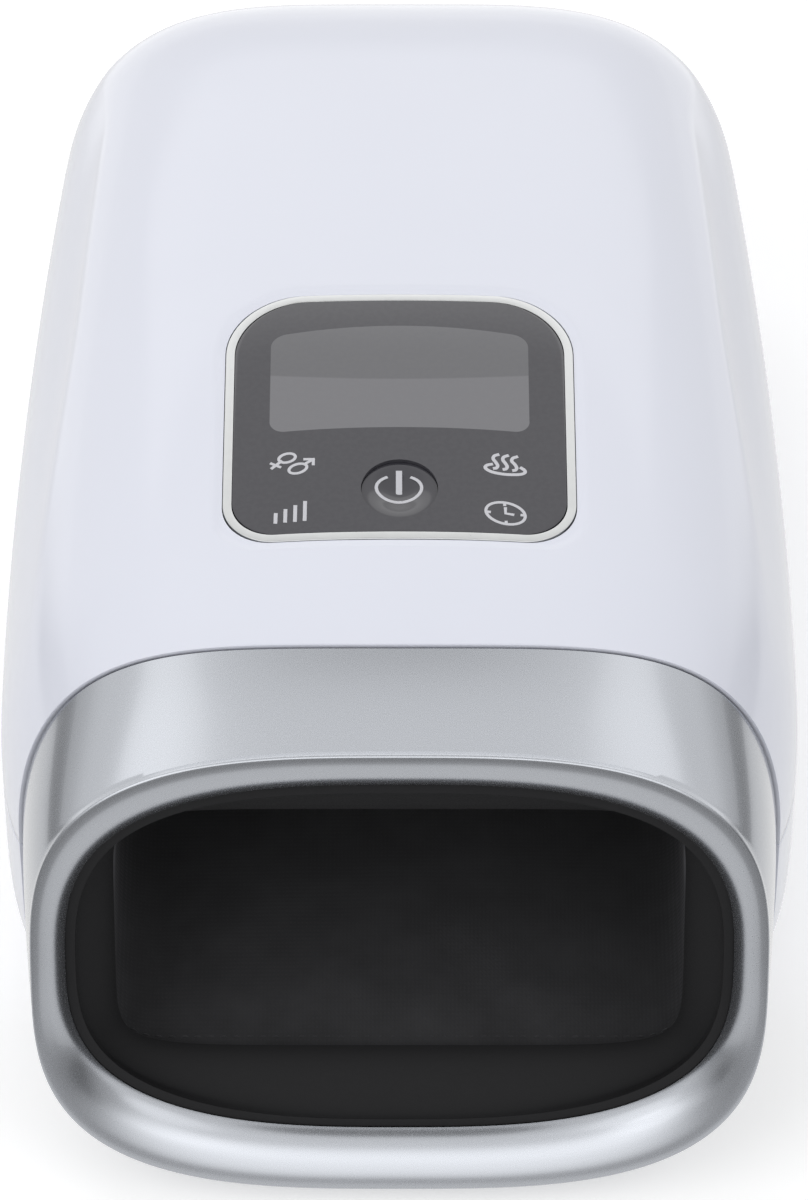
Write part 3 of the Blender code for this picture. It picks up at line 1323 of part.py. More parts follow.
def make_roof_screws():
    """Make the screws that hold the roof frame on the tunnel's ears, heads up."""
    labels = ("front_left", "front_right", "rear_left", "rear_right")
    for label, (x, y) in zip(labels, ear_places()):
        screw = make_screw("roof_screw_" + label, SMALL_SCREW_LENGTH,
                           (x, y, ROOF_TOP_HEIGHT + GAP))
        screw.rotation_euler = (math.pi, 0, 0)


def make_feet():
    """Make the four rubber feet."""
    labels = ("front_left", "front_right", "rear_left", "rear_right")
    for label, (x, y) in zip(labels, foot_places()):
        profile = [
            (0, FOOT_HEIGHT),
            (FOOT_RADIUS, FOOT_HEIGHT),
            (FOOT_RADIUS, FOOT_HEIGHT / 3),
            (FOOT_RADIUS - FOOT_HEIGHT / 3, 0),
            (0, 0),
        ]
        turned_piece("foot_" + label, profile, "rubber_grey", (x, y, 0))


def make_deck():
    """Make the deck over the battery, with its screw pads and the motor's saddle."""
    mesh = box_mesh("rear_deck", 2 * DECK_HALF_WIDTH, DECK_LENGTH, DECK_THICKNESS,
                    DECK_POST_MARGIN)
    deck = add_piece("rear_deck", mesh, "grey_plastic", (0, DECK_Y, DECK_HEIGHT))
    root = DECK_HEIGHT + DECK_THICKNESS / 2
    saddle_top = MOTOR_HEIGHT - MOTOR_RADIUS / 2
    saddle = box_mesh("motor_saddle", SADDLE_LENGTH, 2 * SADDLE_HALF_WIDTH,
                      saddle_top - root)
    centre_x = -PUMP_LEFT + MOTOR_LENGTH / 2
    saddle_cutter = add_cutter("motor_saddle", saddle, (centre_x, PUMP_Y, root))
    bed = rod_mesh("saddle_bed", MOTOR_RADIUS + GAP, MOTOR_LENGTH + 2 * OVERRUN)
    bed_cutter = add_cutter("saddle_bed", bed,
                            (centre_x - MOTOR_LENGTH / 2 - OVERRUN, PUMP_Y, MOTOR_HEIGHT))
    bed_cutter.rotation_euler = (0, math.pi / 2, 0)
    combine(saddle_cutter, bed_cutter, "DIFFERENCE")
    combine(deck, saddle_cutter, "UNION")
    return deck


def make_battery():
    """Make the two cells and their tray."""
    centre = tray_centre_y()
    outer = box_mesh("battery_tray", TRAY_WIDTH, TRAY_LENGTH, TRAY_WALL + TRAY_WALL_HEIGHT,
                     TRAY_WALL)
    tray = add_piece("battery_tray", outer, "black_plastic", (0, centre, TRAY_HEIGHT))
    inner = box_mesh("tray_hollow", TRAY_WIDTH - 2 * TRAY_WALL, TRAY_LENGTH - 2 * TRAY_WALL,
                     TRAY_WALL_HEIGHT + OVERRUN)
    combine(tray, add_cutter("tray_hollow", inner, (0, centre, TRAY_HEIGHT + TRAY_WALL)),
            "DIFFERENCE")
    height = TRAY_HEIGHT + TRAY_WALL + GAP + CELL_RADIUS
    cap = CELL_RADIUS / 3
    for side, label in ((-1, "front"), (1, "rear")):
        profile = [
            (0, CELL_LENGTH),
            (cap, CELL_LENGTH),
            (cap, CELL_LENGTH - GAP),
            (CELL_RADIUS - GAP, CELL_LENGTH - GAP),
            (CELL_RADIUS, CELL_LENGTH - cap),
            (CELL_RADIUS, 0),
            (0, 0),
        ]
        cell = turned_piece("battery_cell_" + label, profile, "cell_blue",
                            (-CELL_LENGTH / 2, centre + side * CELL_SPACING / 2, height))
        cell.rotation_euler = (0, math.pi / 2, 0)


def pump_places():
    """Return the x of the motor's face, body's rear, diaphragm, cover and nozzle end."""
    face = -PUMP_LEFT + MOTOR_LENGTH
    body_end = face + GAP + PUMP_BODY_LENGTH
    diaphragm_end = body_end + GAP + DIAPHRAGM_THICKNESS
    cover_end = diaphragm_end + GAP + COVER_LENGTH
    return face, body_end, diaphragm_end, cover_end, cover_end + NOZZLE_LENGTH


def make_pump():
    """Make the pump: motor, crank, body, diaphragm, valve cover and rubber mount."""
    face, body_end, diaphragm_end, cover_end, nozzle_end = pump_places()
    lay_down = (0, math.pi / 2, 0)
    motor_profile = [
        (0, MOTOR_LENGTH),
        (MOTOR_RADIUS - MOTOR_BOSS_LENGTH, MOTOR_LENGTH),
        (MOTOR_RADIUS, MOTOR_LENGTH - MOTOR_BOSS_LENGTH),
        (MOTOR_RADIUS, MOTOR_BOSS_LENGTH),
        (MOTOR_RADIUS - MOTOR_BOSS_LENGTH, 0),
        (MOTOR_BOSS_RADIUS, 0),
        (MOTOR_BOSS_RADIUS, -MOTOR_BOSS_LENGTH),
        (0, -MOTOR_BOSS_LENGTH),
    ]
    motor = turned_piece("pump_motor", motor_profile, "steel",
                         (-PUMP_LEFT, PUMP_Y, MOTOR_HEIGHT), facets=ROUND_FACETS)
    motor.rotation_euler = lay_down

    body = box_mesh("pump_body", PUMP_BODY_LENGTH, PUMP_SIDE, PUMP_SIDE)
    place = (face + GAP + PUMP_BODY_LENGTH / 2, PUMP_Y, MOTOR_HEIGHT - PUMP_SIDE / 2)
    body_piece = add_piece("pump_body", body, "black_plastic", place)
    bore = rod_mesh("pump_bore", PUMP_BORE_RADIUS, PUMP_BODY_LENGTH)
    bore_cutter = add_cutter("pump_bore", bore,
                             (face + GAP + PUMP_FRONT_PLATE, PUMP_Y, MOTOR_HEIGHT))
    bore_cutter.rotation_euler = lay_down
    combine(body_piece, bore_cutter, "DIFFERENCE")
    shaft_bore = rod_mesh("shaft_bore", CRANK_SHAFT_RADIUS + GAP, PUMP_BODY_LENGTH)
    shaft_cutter = add_cutter("shaft_bore", shaft_bore,
                              (face - OVERRUN, PUMP_Y, MOTOR_HEIGHT))
    shaft_cutter.rotation_euler = lay_down
    combine(body_piece, shaft_cutter, "DIFFERENCE")

    disc_start = PUMP_FRONT_PLATE + CRANK_GAP
    disc_end = disc_start + CRANK_THICKNESS
    crank_profile = [
        (0, disc_end),
        (CRANK_RADIUS, disc_end),
        (CRANK_RADIUS, disc_start),
        (CRANK_SHAFT_RADIUS, disc_start),
        (CRANK_SHAFT_RADIUS, 0),
        (0, 0),
    ]
    crank = turned_piece("pump_crank", crank_profile, "brass",
                         (face + GAP, PUMP_Y, MOTOR_HEIGHT))
    crank.rotation_euler = lay_down
    pin = rod_mesh("crank_pin", CRANK_PIN_RADIUS, CRANK_THICKNESS / 2 + CRANK_PIN_LENGTH,
                   SCREW_FACETS)
    pin_cutter = add_cutter("crank_pin", pin,
                            (face + GAP + disc_end - CRANK_THICKNESS / 2, PUMP_Y,
                             MOTOR_HEIGHT + CRANK_OFFSET))
    pin_cutter.rotation_euler = lay_down
    combine(crank, pin_cutter, "UNION")

    diaphragm = box_mesh("pump_diaphragm", DIAPHRAGM_THICKNESS, PUMP_SIDE, PUMP_SIDE)
    diaphragm_piece = add_piece("pump_diaphragm", diaphragm, "rubber_grey",
                                (body_end + GAP + DIAPHRAGM_THICKNESS / 2, PUMP_Y,
                                 MOTOR_HEIGHT - PUMP_SIDE / 2))
    orbit = PUMP_BORE_RADIUS - DIAPHRAGM_CUP_RADIUS - GAP
    cups = bmesh.new()
    for index in range(DIAPHRAGM_CUPS):
        angle = 2 * math.pi * index / DIAPHRAGM_CUPS
        depth = DIAPHRAGM_CUP_DEPTH + DIAPHRAGM_THICKNESS / 2
        middle = body_end + GAP + DIAPHRAGM_THICKNESS / 2 - depth / 2
        spot = Matrix.Translation((middle, PUMP_Y + orbit * math.sin(angle),
                                   MOTOR_HEIGHT + orbit * math.cos(angle)))
        bmesh.ops.create_cone(cups, cap_ends=True, segments=SCREW_FACETS,
                              radius1=DIAPHRAGM_CUP_RADIUS,
                              radius2=DIAPHRAGM_CUP_RADIUS * 0.8, depth=depth,
                              matrix=spot @ Matrix.Rotation(-math.pi / 2, 4, "Y"))
    combine(diaphragm_piece, add_cutter("diaphragm_cups", mesh_from("cups", cups)),
            "UNION")

    cover = box_mesh("pump_cover", COVER_LENGTH, PUMP_SIDE, PUMP_SIDE)
    cover_piece = add_piece("pump_cover", cover, "black_plastic",
                            (cover_end - COVER_LENGTH / 2, PUMP_Y,
                             MOTOR_HEIGHT - PUMP_SIDE / 2))
    nozzle = rod_mesh("pump_nozzle", NOZZLE_RADIUS, NOZZLE_LENGTH + COVER_STEP,
                      SCREW_FACETS)
    nozzle_cutter = add_cutter("pump_nozzle", nozzle,
                               (cover_end - COVER_STEP, PUMP_Y, MOTOR_HEIGHT))
    nozzle_cutter.rotation_euler = lay_down
    combine(cover_piece, nozzle_cutter, "UNION")

    pad = box_mesh("pump_mount", PUMP_BODY_LENGTH + DIAPHRAGM_THICKNESS + COVER_LENGTH,
                   PUMP_SIDE, MOUNT_PAD_THICKNESS)
    add_piece("pump_mount", pad, "rubber_grey",
              ((face + cover_end) / 2, PUMP_Y, DECK_HEIGHT + DECK_THICKNESS + GAP))


def valve_places():
    """Return the y of each valve by name."""
    return {"palm": DECK_Y + VALVE_SPACING / 2, "finger": DECK_Y - VALVE_SPACING / 2}


def plunger_x():
    """Return the x of the valves' plungers."""
    return BLOCK_ACROSS + VALVE_NOZZLE_SIDE


def nozzle_x():
    """Return the x of the valves' outlet nozzles."""
    return BLOCK_ACROSS - VALVE_NOZZLE_SIDE


def make_valves():
    """Make the air block and on it two solenoid valves with their plungers."""
    deck_top = DECK_HEIGHT + DECK_THICKNESS + GAP
    block = box_mesh("air_block", BLOCK_WIDTH, BLOCK_LENGTH, BLOCK_HEIGHT)
    block_piece = add_piece("air_block", block, "black_plastic",
                            (BLOCK_ACROSS, DECK_Y, deck_top))
    riser = box_mesh("air_riser", RISER_WIDTH, RISER_WIDTH,
                     MOTOR_HEIGHT + RISER_TOP_MARGIN - deck_top - BLOCK_HEIGHT / 2)
    left = BLOCK_ACROSS - BLOCK_WIDTH / 2 + RISER_WIDTH / 2
    riser_cutter = add_cutter("air_riser", riser, (left, DECK_Y, deck_top
                                                   + BLOCK_HEIGHT / 2))
    combine(block_piece, riser_cutter, "UNION")
    nozzle = rod_mesh("block_nozzle", NOZZLE_RADIUS, NOZZLE_LENGTH, SCREW_FACETS)
    nozzle_cutter = add_cutter("block_nozzle", nozzle,
                               (left - NOZZLE_LENGTH, DECK_Y, MOTOR_HEIGHT))
    nozzle_cutter.rotation_euler = (0, math.pi / 2, 0)
    combine(block_piece, nozzle_cutter, "UNION")
    for name, y in valve_places().items():
        mesh = box_mesh("valve_" + name, VALVE_WIDTH, VALVE_DEPTH, VALVE_HEIGHT)
        valve = add_piece("valve_" + name, mesh, "steel",
                          (BLOCK_ACROSS, y, BLOCK_TOP_HEIGHT + GAP))
        outlet = rod_mesh("valve_outlet_" + name, NOZZLE_RADIUS,
                          VALVE_NOZZLE_LENGTH + VALVE_HEIGHT / 2, SCREW_FACETS)
        combine(valve, add_cutter("valve_outlet_" + name, outlet,
                                  (nozzle_x(), y, VALVE_TOP_HEIGHT - VALVE_HEIGHT / 2)),
                "UNION")
        depth = PLUNGER_LENGTH - PLUNGER_STANDOUT + PLUNGER_TRAVEL + GAP
        bore = rod_mesh("valve_bore_" + name, PLUNGER_RADIUS + PLUNGER_BORE_GAP,
                        depth + OVERRUN, SCREW_FACETS)
        combine(valve, add_cutter("valve_bore_" + name, bore,
                                  (plunger_x(), y, VALVE_TOP_HEIGHT - depth)),
                "DIFFERENCE")
        plunger = rod_mesh("valve_plunger_" + name, PLUNGER_RADIUS, PLUNGER_LENGTH,
                           SCREW_FACETS)
        add_piece("valve_plunger_" + name, plunger, "brass",
                  (plunger_x(), y, VALVE_TOP_HEIGHT + PLUNGER_STANDOUT - PLUNGER_LENGTH))


def make_hoses():
    """Make the air hoses from the pump to the valves and on to the air ports."""
    start = pump_places()[4] + GAP
    end = BLOCK_ACROSS - BLOCK_WIDTH / 2 + RISER_WIDTH / 2 - NOZZLE_LENGTH - GAP
    link = rod_mesh("pump_hose", HOSE_RADIUS, end - start, SCREW_FACETS)
    hose = add_piece("pump_hose", link, "silicone", (start, PUMP_Y, MOTOR_HEIGHT))
    hose.rotation_euler = (0, math.pi / 2, 0)
    routes = {"palm": (port_places()[0], PALM_HOSE_SHARES),
              "finger": (port_places()[1], FINGER_HOSE_SHARES)}
    for name, (port, shares) in routes.items():
        first = Vector((nozzle_x(), valve_places()[name],
                        VALVE_TOP_HEIGHT + VALVE_NOZZLE_LENGTH + GAP))
        last = Vector((*port, ROOF_TOP_HEIGHT + PORT_HEIGHT + GAP))
        run = last + Vector((0, 0, HOSE_LOOP)) - first
        route = [first] + [first + Vector(share) * run for share in shares] + [last]
        tube_piece(name + "_hose", route, HOSE_RADIUS, "silicone", 2)


def make_main_board():
    """Make the main board with its tallest components."""
    mesh = box_mesh("main_board", MAIN_BOARD_WIDTH, MAIN_BOARD_LENGTH, BOARD_THICKNESS)
    x = -MAIN_BOARD_LEFT + MAIN_BOARD_WIDTH / 2
    y = TUNNEL_BACK_Y - MAIN_BOARD_BACK_MARGIN - MAIN_BOARD_LENGTH / 2
    board = add_piece("main_board", mesh, "board_green", (x, y, MAIN_BOARD_HEIGHT))
    root = MAIN_BOARD_HEIGHT + BOARD_THICKNESS / 2
    chip = box_mesh("board_chip", CHIP_SIDE, CHIP_SIDE, BOARD_THICKNESS / 2 + CHIP_HEIGHT)
    combine(board, add_cutter("board_chip", chip, (x, y, root)), "UNION")
    can_x = x + MAIN_BOARD_WIDTH * CHIP_PLACE_SHARE
    can = rod_mesh("board_can", CAN_RADIUS, BOARD_THICKNESS / 2 + CAN_HEIGHT, SCREW_FACETS)
    combine(board, add_cutter("board_can", can, (can_x, y, root)), "UNION")
    row = box_mesh("plug_row", PLUG_ROW_LENGTH, PLUG_ROW_WIDTH,
                   BOARD_THICKNESS / 2 + PLUG_ROW_WIDTH)
    combine(board, add_cutter("plug_row", row,
                              (x, y + MAIN_BOARD_LENGTH * CHIP_PLACE_SHARE, root)),
            "UNION")
    return board


def make_ribbon(panel):
    """Make the ribbon between the main board and the panel board."""
    board_front = TUNNEL_BACK_Y - MAIN_BOARD_BACK_MARGIN - MAIN_BOARD_LENGTH
    low = Vector((0, board_front + RIBBON_BELLY,
                  MAIN_BOARD_HEIGHT + BOARD_THICKNESS + GAP))
    top = panel.matrix_world @ Vector((0, PANEL_LENGTH - RIBBON_BELLY / 2,
                                       -BOARD_DEPTH - BOARD_THICKNESS - GAP))
    top.z -= RIBBON_THICKNESS
    form = bmesh.new()
    rows = []
    for index in range(RIBBON_FACETS + 1):
        share = index / RIBBON_FACETS
        y = low.y + (top.y - low.y) * smooth_step(share)
        y -= RIBBON_BELLY * math.sin(math.pi * share)
        z = low.z + (top.z - low.z) * (0.5 - 0.5 * math.cos(math.pi * share))
        rows.append([form.verts.new((-RIBBON_ACROSS + side * RIBBON_WIDTH / 2, y, z))
                     for side in (-1, 1)])
    for near, far in zip(rows, rows[1:]):
        form.faces.new((near[0], near[1], far[1], far[0]))
    ribbon = add_piece("panel_ribbon", mesh_from("panel_ribbon", form), "ribbon_white")
    thicken(ribbon, RIBBON_THICKNESS, 0)


def make_battery_cable():
    """Make the lead from the battery tray up to the main board."""
    y = DECK_FRONT_Y + 2 * DECK_POST_MARGIN + POST_RADIUS
    low = TRAY_HEIGHT + TRAY_WALL + TRAY_WALL_HEIGHT / 2
    board_edge = -MAIN_BOARD_LEFT - GAP
    middle = MAIN_BOARD_HEIGHT + BOARD_THICKNESS / 2
    low_x = -DECK_HALF_WIDTH - CABLE_DECK_SPACE
    high_x = board_edge - CABLE_BOARD_SPACE
    rise_y = TUNNEL_BACK_Y + 2 * CABLE_RADIUS
    end_y = TUNNEL_BACK_Y - MAIN_BOARD_BACK_MARGIN - CABLE_BEND
    route = [
        (-TRAY_WIDTH / 2 - GAP, y, low),
        (-DECK_HALF_WIDTH, y, low),
        (low_x, y - CABLE_RADIUS, low + CABLE_BEND),
        (low_x, rise_y + CABLE_BEND / 2, DECK_HEIGHT + CABLE_BEND),
        (high_x, rise_y, TUNNEL_TOP_HEIGHT - CABLE_BEND),
        (high_x, rise_y, ROOF_TOP_HEIGHT),
        (high_x, end_y + CABLE_BEND / 2, middle + CABLE_RADIUS / 2),
        (board_edge - CABLE_RADIUS, end_y, middle),
        (board_edge, end_y, middle),
    ]
    tube_piece("battery_cable", route, CABLE_RADIUS, "wire_red")


def make_charge_inlet():
    """Make the charging inlet with its small board behind the rear wall."""
    bottom = INLET_HEIGHT - INLET_THICKNESS / 2
    mesh = box_mesh("charge_inlet", INLET_WIDTH, INLET_DEPTH, INLET_THICKNESS)
    y = BACK_Y - HOUSING_WALL - GAP - INLET_DEPTH / 2 + HOUSING_WALL / 2
    inlet = add_piece("charge_inlet", mesh, "steel", (0, y, bottom))
    mouth = box_mesh("inlet_mouth", INLET_WIDTH - 2 * INLET_WALL, INLET_DEPTH,
                     INLET_THICKNESS - 2 * INLET_WALL)
    combine(inlet, add_cutter("inlet_mouth", mouth,
                              (0, y + 2 * INLET_WALL, bottom + INLET_WALL)), "DIFFERENCE")
    bracket = box_mesh("inlet_board", INLET_BRACKET_WIDTH, INLET_BRACKET_HEIGHT,
                       INLET_BRACKET_THICKNESS)
    add_piece("inlet_board", bracket, "board_green",
              (0, BACK_Y - HOUSING_WALL - 4 * GAP - INLET_BRACKET_HEIGHT / 2,
               bottom - GAP - INLET_BRACKET_THICKNESS))


def main():
    """Build every piece."""
    clear_scene()
    collection(PARTS)
    core = make_body_cores()
    panel = make_panel_frame()
    bpy.context.view_layer.update()
    make_upper_housing(core, panel)
    make_lower_housing(core)
    make_collar()
    make_mouth_ring()
    make_tunnel_frame()
    make_liner()
    make_floor_layers()
    make_roof_frame()
    for name, (middle, length) in air_cells().items():
        make_air_cell(name, middle, length)
    make_panel(panel)
    make_power_key(panel)
    make_panel_electronics(panel)
    make_case_screws()
    make_roof_screws()
    make_feet()
    make_deck()
    make_battery()
    make_pump()
    make_valves()
    make_hoses()
    make_main_board()
    make_ribbon(panel)
    make_battery_cable()
    make_charge_inlet()


main()
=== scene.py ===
"""The looks of the hand massager: shells, soft parts, finishes, stage, lamps and camera.

Units are metres, +Z is up and the hand opening faces -Y.
"""

from __future__ import annotations

import logging
import math
from contextlib import contextmanager
from dataclasses import dataclass, field
from enum import Enum
from functools import reduce
from typing import Iterable, Iterator, Sequence

import bmesh
import bpy
import numpy as np
from mathutils import Matrix, Vector


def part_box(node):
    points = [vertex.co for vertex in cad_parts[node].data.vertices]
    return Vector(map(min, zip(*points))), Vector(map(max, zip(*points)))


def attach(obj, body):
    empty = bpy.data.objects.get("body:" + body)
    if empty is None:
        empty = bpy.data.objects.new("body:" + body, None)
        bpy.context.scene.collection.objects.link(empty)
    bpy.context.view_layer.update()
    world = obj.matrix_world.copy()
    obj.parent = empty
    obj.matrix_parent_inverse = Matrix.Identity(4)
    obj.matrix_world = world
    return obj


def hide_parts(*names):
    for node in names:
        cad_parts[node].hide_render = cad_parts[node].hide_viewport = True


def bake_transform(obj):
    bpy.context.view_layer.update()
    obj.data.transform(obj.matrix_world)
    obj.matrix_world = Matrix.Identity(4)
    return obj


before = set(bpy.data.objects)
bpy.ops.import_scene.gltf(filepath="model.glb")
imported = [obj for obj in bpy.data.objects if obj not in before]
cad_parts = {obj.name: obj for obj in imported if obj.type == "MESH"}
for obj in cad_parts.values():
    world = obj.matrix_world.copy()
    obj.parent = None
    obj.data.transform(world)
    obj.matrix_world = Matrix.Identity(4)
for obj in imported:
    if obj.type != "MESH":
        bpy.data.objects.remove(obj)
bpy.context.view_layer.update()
MERGE = 1e-6
TINY = 1e-12
GRID_STEP = 0.0011
UPRIGHT = Matrix.Identity(4)
LYING = Matrix.Rotation(math.pi / 2, 4, "X")
CORNERS = ("front_left", "front_right", "rear_left", "rear_right")

Pair = tuple[float, float]
Triple = tuple[float, float, float]
Object = bpy.types.Object
Mesh = bpy.types.Mesh
Socket = bpy.types.NodeSocket
Value = Socket | float

log = logging.getLogger("hand_massager")


# Mesh helpers
def add_object(name: str, data: bpy.types.ID) -> Object:
    """Link a new object that shows the given data.

    Args:
        name: The object's name.
        data: The mesh, curve or lamp it shows.

    Returns:
        The new object.
    """
    item = bpy.data.objects.new(name, data)
    bpy.context.scene.collection.objects.link(item)
    return item


def middle_of(node: str) -> Vector:
    """Return the middle of a node's box."""
    low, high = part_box(node)
    return (low + high) / 2


@contextmanager
def editing(mesh: Mesh) -> Iterator[bmesh.types.BMesh]:
    """Open a mesh for editing and write the changes back.

    Args:
        mesh: The mesh to edit.

    Returns:
        The mesh's editable form, for the length of a with block.
    """
    form = bmesh.new()
    form.from_mesh(mesh)
    yield form
    form.to_mesh(mesh)
    form.free()


def add_piece(name: str, points: np.ndarray, faces: list[list[int]], merge: float) -> Object:
    """Add a piece and merge its points that fall together.

    Args:
        name: Name of the piece and its mesh.
        points: Points as an array whose last axis has 3 values.
        faces: Numbers of each face's points.
        merge: Distance under which points fall together.

    Returns:
        The piece.
    """
    mesh = bpy.data.meshes.new(name)
    mesh.from_pydata(points.reshape(-1, 3).tolist(), [], faces)
    with editing(mesh) as form:
        bmesh.ops.remove_doubles(form, verts=form.verts, dist=merge)
        bmesh.ops.dissolve_degenerate(form, edges=form.edges, dist=MERGE / 10)
    return add_object(name, mesh)


def surface_piece(name: str, rows: np.ndarray, wrap: bool = False, caps: bool = False) -> Object:
    """Join rows of points into a surface of quads.

    Args:
        name: Name of the piece.
        rows: Points as an array of (row, column, 3).
        wrap: Whether each row is a closed ring.
        caps: Whether the first and the last ring are filled.

    Returns:
        The piece.
    """
    index = np.arange(rows[..., 0].size).reshape(rows.shape[:2])
    after = np.roll(index, -1, axis=1)
    spans = slice(None) if wrap else slice(-1)
    faces = np.stack([index[:-1, spans], after[:-1, spans], after[1:, spans],
                      index[1:, spans]], axis=-1).reshape(-1, 4).tolist()
    if caps:
        faces += [index[0, ::-1].tolist(), index[-1].tolist()]
    return add_piece(name, rows, faces, MERGE)


def wall_piece(name: str, outer: np.ndarray, inner: np.ndarray) -> Object:
    """Join two grids of the same size into one closed wall.

    Args:
        name: Name of the piece.
        outer: Points of the outer face as (row, column, 3).
        inner: Points of the inner face, in the same order.

    Returns:
        The piece.
    """
    index = np.arange(outer[..., 0].size).reshape(outer.shape[:2])
    lift = index.size
    face = np.stack([index[:-1, :-1], index[:-1, 1:], index[1:, 1:], index[1:, :-1]],
                    -1).reshape(-1, 4)
    faces = [face, face[:, ::-1] + lift]
    for edge in (index[0, ::-1], index[-1], index[:, 0], index[::-1, -1]):
        faces.append(np.stack([edge[:-1], edge[1:], edge[1:] + lift, edge[:-1] + lift], -1))
    points = np.concatenate([outer.reshape(-1, 3), inner.reshape(-1, 3)])
    return add_piece(name, points, np.concatenate(faces).tolist(), 2 * MERGE)


def offset(rows: np.ndarray, distance: float | np.ndarray) -> np.ndarray:
    """Move a grid of points along its normals, inwards for the grids of this file.

    Args:
        rows: Points as an array of (row, column, 3).
        distance: How far, as one value or one for each point.

    Returns:
        The moved points.
    """
    normal = np.cross(np.gradient(rows, axis=1), np.gradient(rows, axis=0))
    length = np.linalg.norm(normal, axis=-1, keepdims=True)
    sound = length[..., 0] > TINY
    normal = normal / np.maximum(length, TINY)
    for row in range(1, rows.shape[0]):
        lost = ~sound[row]
        normal[row][lost] = normal[row - 1].mean(axis=0) if lost.all() else normal[row - 1][lost]
    normal /= np.maximum(np.linalg.norm(normal, axis=-1, keepdims=True), 1e-9)
    return rows + normal * np.atleast_1d(distance)[..., None]


def face_outwards(item: Object) -> None:
    """Turn the faces of a closed piece outwards.

    Args:
        item: The closed piece.
    """
    with editing(item.data) as form:
        bmesh.ops.recalc_face_normals(form, faces=form.faces)
        if form.calc_volume(signed=True) < 0:
            bmesh.ops.reverse_faces(form, faces=form.faces)


def shown_mesh(item: Object) -> Mesh:
    """Return a plain mesh of what an object shows with its modifiers."""
    graph = bpy.context.evaluated_depsgraph_get()
    return bpy.data.meshes.new_from_object(item.evaluated_get(graph), depsgraph=graph)


def shade(mesh: Mesh, angle: float) -> None:
    """Shade a mesh smooth, apart from the edges over an angle in degrees."""
    mesh.shade_smooth()
    mesh.set_sharp_from_angle(angle=math.radians(angle))


def settle(item: Object, smooth_angle: float = 35.0) -> Object:
    """Turn an object and its modifiers into a plain, smooth, outward-facing mesh.

    Args:
        item: The object to settle.
        smooth_angle: Edges over this angle, in degrees, stay sharp.

    Returns:
        The same object.
    """
    mesh = shown_mesh(item)
    item.modifiers.clear()
    item.data = mesh
    face_outwards(item)
    shade(mesh, smooth_angle)
    return item


def modify(item: Object, kind: str, **settings: object) -> None:
    """Add a modifier with its settings by name.

    Args:
        item: The piece.
        kind: The modifier's type.
        settings: The modifier's settings by name.
    """
    step = item.modifiers.new(kind.lower(), kind)
    for name, value in settings.items():
        setattr(step, name, value)


def wall(item: Object, thickness: float, inward: bool = True) -> None:
    """Give an open surface a wall of even thickness."""
    modify(item, "SOLIDIFY", thickness=thickness, offset=-1 if inward else 1, use_even_offset=True)


def soften(item: Object, radius: float) -> None:
    """Round the sharp edges."""
    modify(item, "BEVEL", width=radius, segments=2, limit_method="ANGLE",
           angle_limit=math.radians(50), use_clamp_overlap=True)


def cut(item: Object, cutters: Sequence[Object]) -> Object:
    """Cut solids out of a piece and remove them.

    Args:
        item: The piece to cut.
        cutters: The solids that are taken out.

    Returns:
        The piece that was given.
    """
    for cutter in cutters:
        modify(item, "BOOLEAN", object=cutter, operation="DIFFERENCE", solver="EXACT")
    settle(item)
    for cutter in cutters:
        bpy.data.objects.remove(cutter, do_unlink=True)
    return item


def lathe(name: str, profile: Sequence[Pair], place: Matrix, steps: int) -> Object:
    """Turn a closed profile of (radius, height) points about Z.

    Args:
        name: Name of the piece.
        profile: Points from the axis and back to the axis.
        place: Where the turned piece goes, kept in its mesh.
        steps: Number of facets round the axis.

    Returns:
        The turned piece.
    """
    angles = np.linspace(0, 2 * math.pi, steps, endpoint=False)
    rows = np.array([[(r * math.cos(a), r * math.sin(a), z) for a in angles] for r, z in profile])
    item = surface_piece(name, rows, wrap=True)
    item.data.transform(place)
    return settle(item, 30)


def prism(name: str, outline: Sequence[Pair], bottom: float, top: float,
          place: Matrix = UPRIGHT) -> Object:
    """Make an upright solid over an outline.

    Args:
        name: Name of the piece.
        outline: Points of the outline in plan.
        bottom: Height of its lower face.
        top: Height of its upper face.
        place: Where the solid goes, kept in its mesh.

    Returns:
        The solid.
    """
    ring = np.array(outline)
    rows = np.array([np.column_stack([ring, np.full(len(ring), z)]) for z in (bottom, top)])
    item = surface_piece(name, rows, wrap=True, caps=True)
    item.data.transform(place)
    face_outwards(item)
    return item


def round_outline(radius: float, centre: Sequence[float] = (0.0, 0.0),
                  steps: int = 48) -> list[Pair]:
    """Return the points of a circle."""
    turn = [2 * math.pi * i / steps for i in range(steps)]
    return [(centre[0] + radius * math.cos(a), centre[1] + radius * math.sin(a)) for a in turn]


def slot_outline(width: float, height: float, steps: int = 12) -> list[Pair]:
    """Return the points of a slot with fully rounded ends.

    Args:
        width: The slot's width.
        height: The slot's height.
        steps: The number of points round each end.

    Returns:
        The points, counter-clockwise.
    """
    radius = height / 2
    reach = width / 2 - radius
    turn = [math.pi * i / steps - math.pi / 2 for i in range(steps + 1)]
    right = [(reach + radius * math.cos(a), radius * math.sin(a)) for a in turn]
    return right + [(-x, -y) for x, y in right]


def smooth_step(share: np.ndarray | float) -> np.ndarray | float:
    """Ease a share from 0 to 1."""
    share = np.clip(share, 0, 1)
    return share * share * (3 - 2 * share)


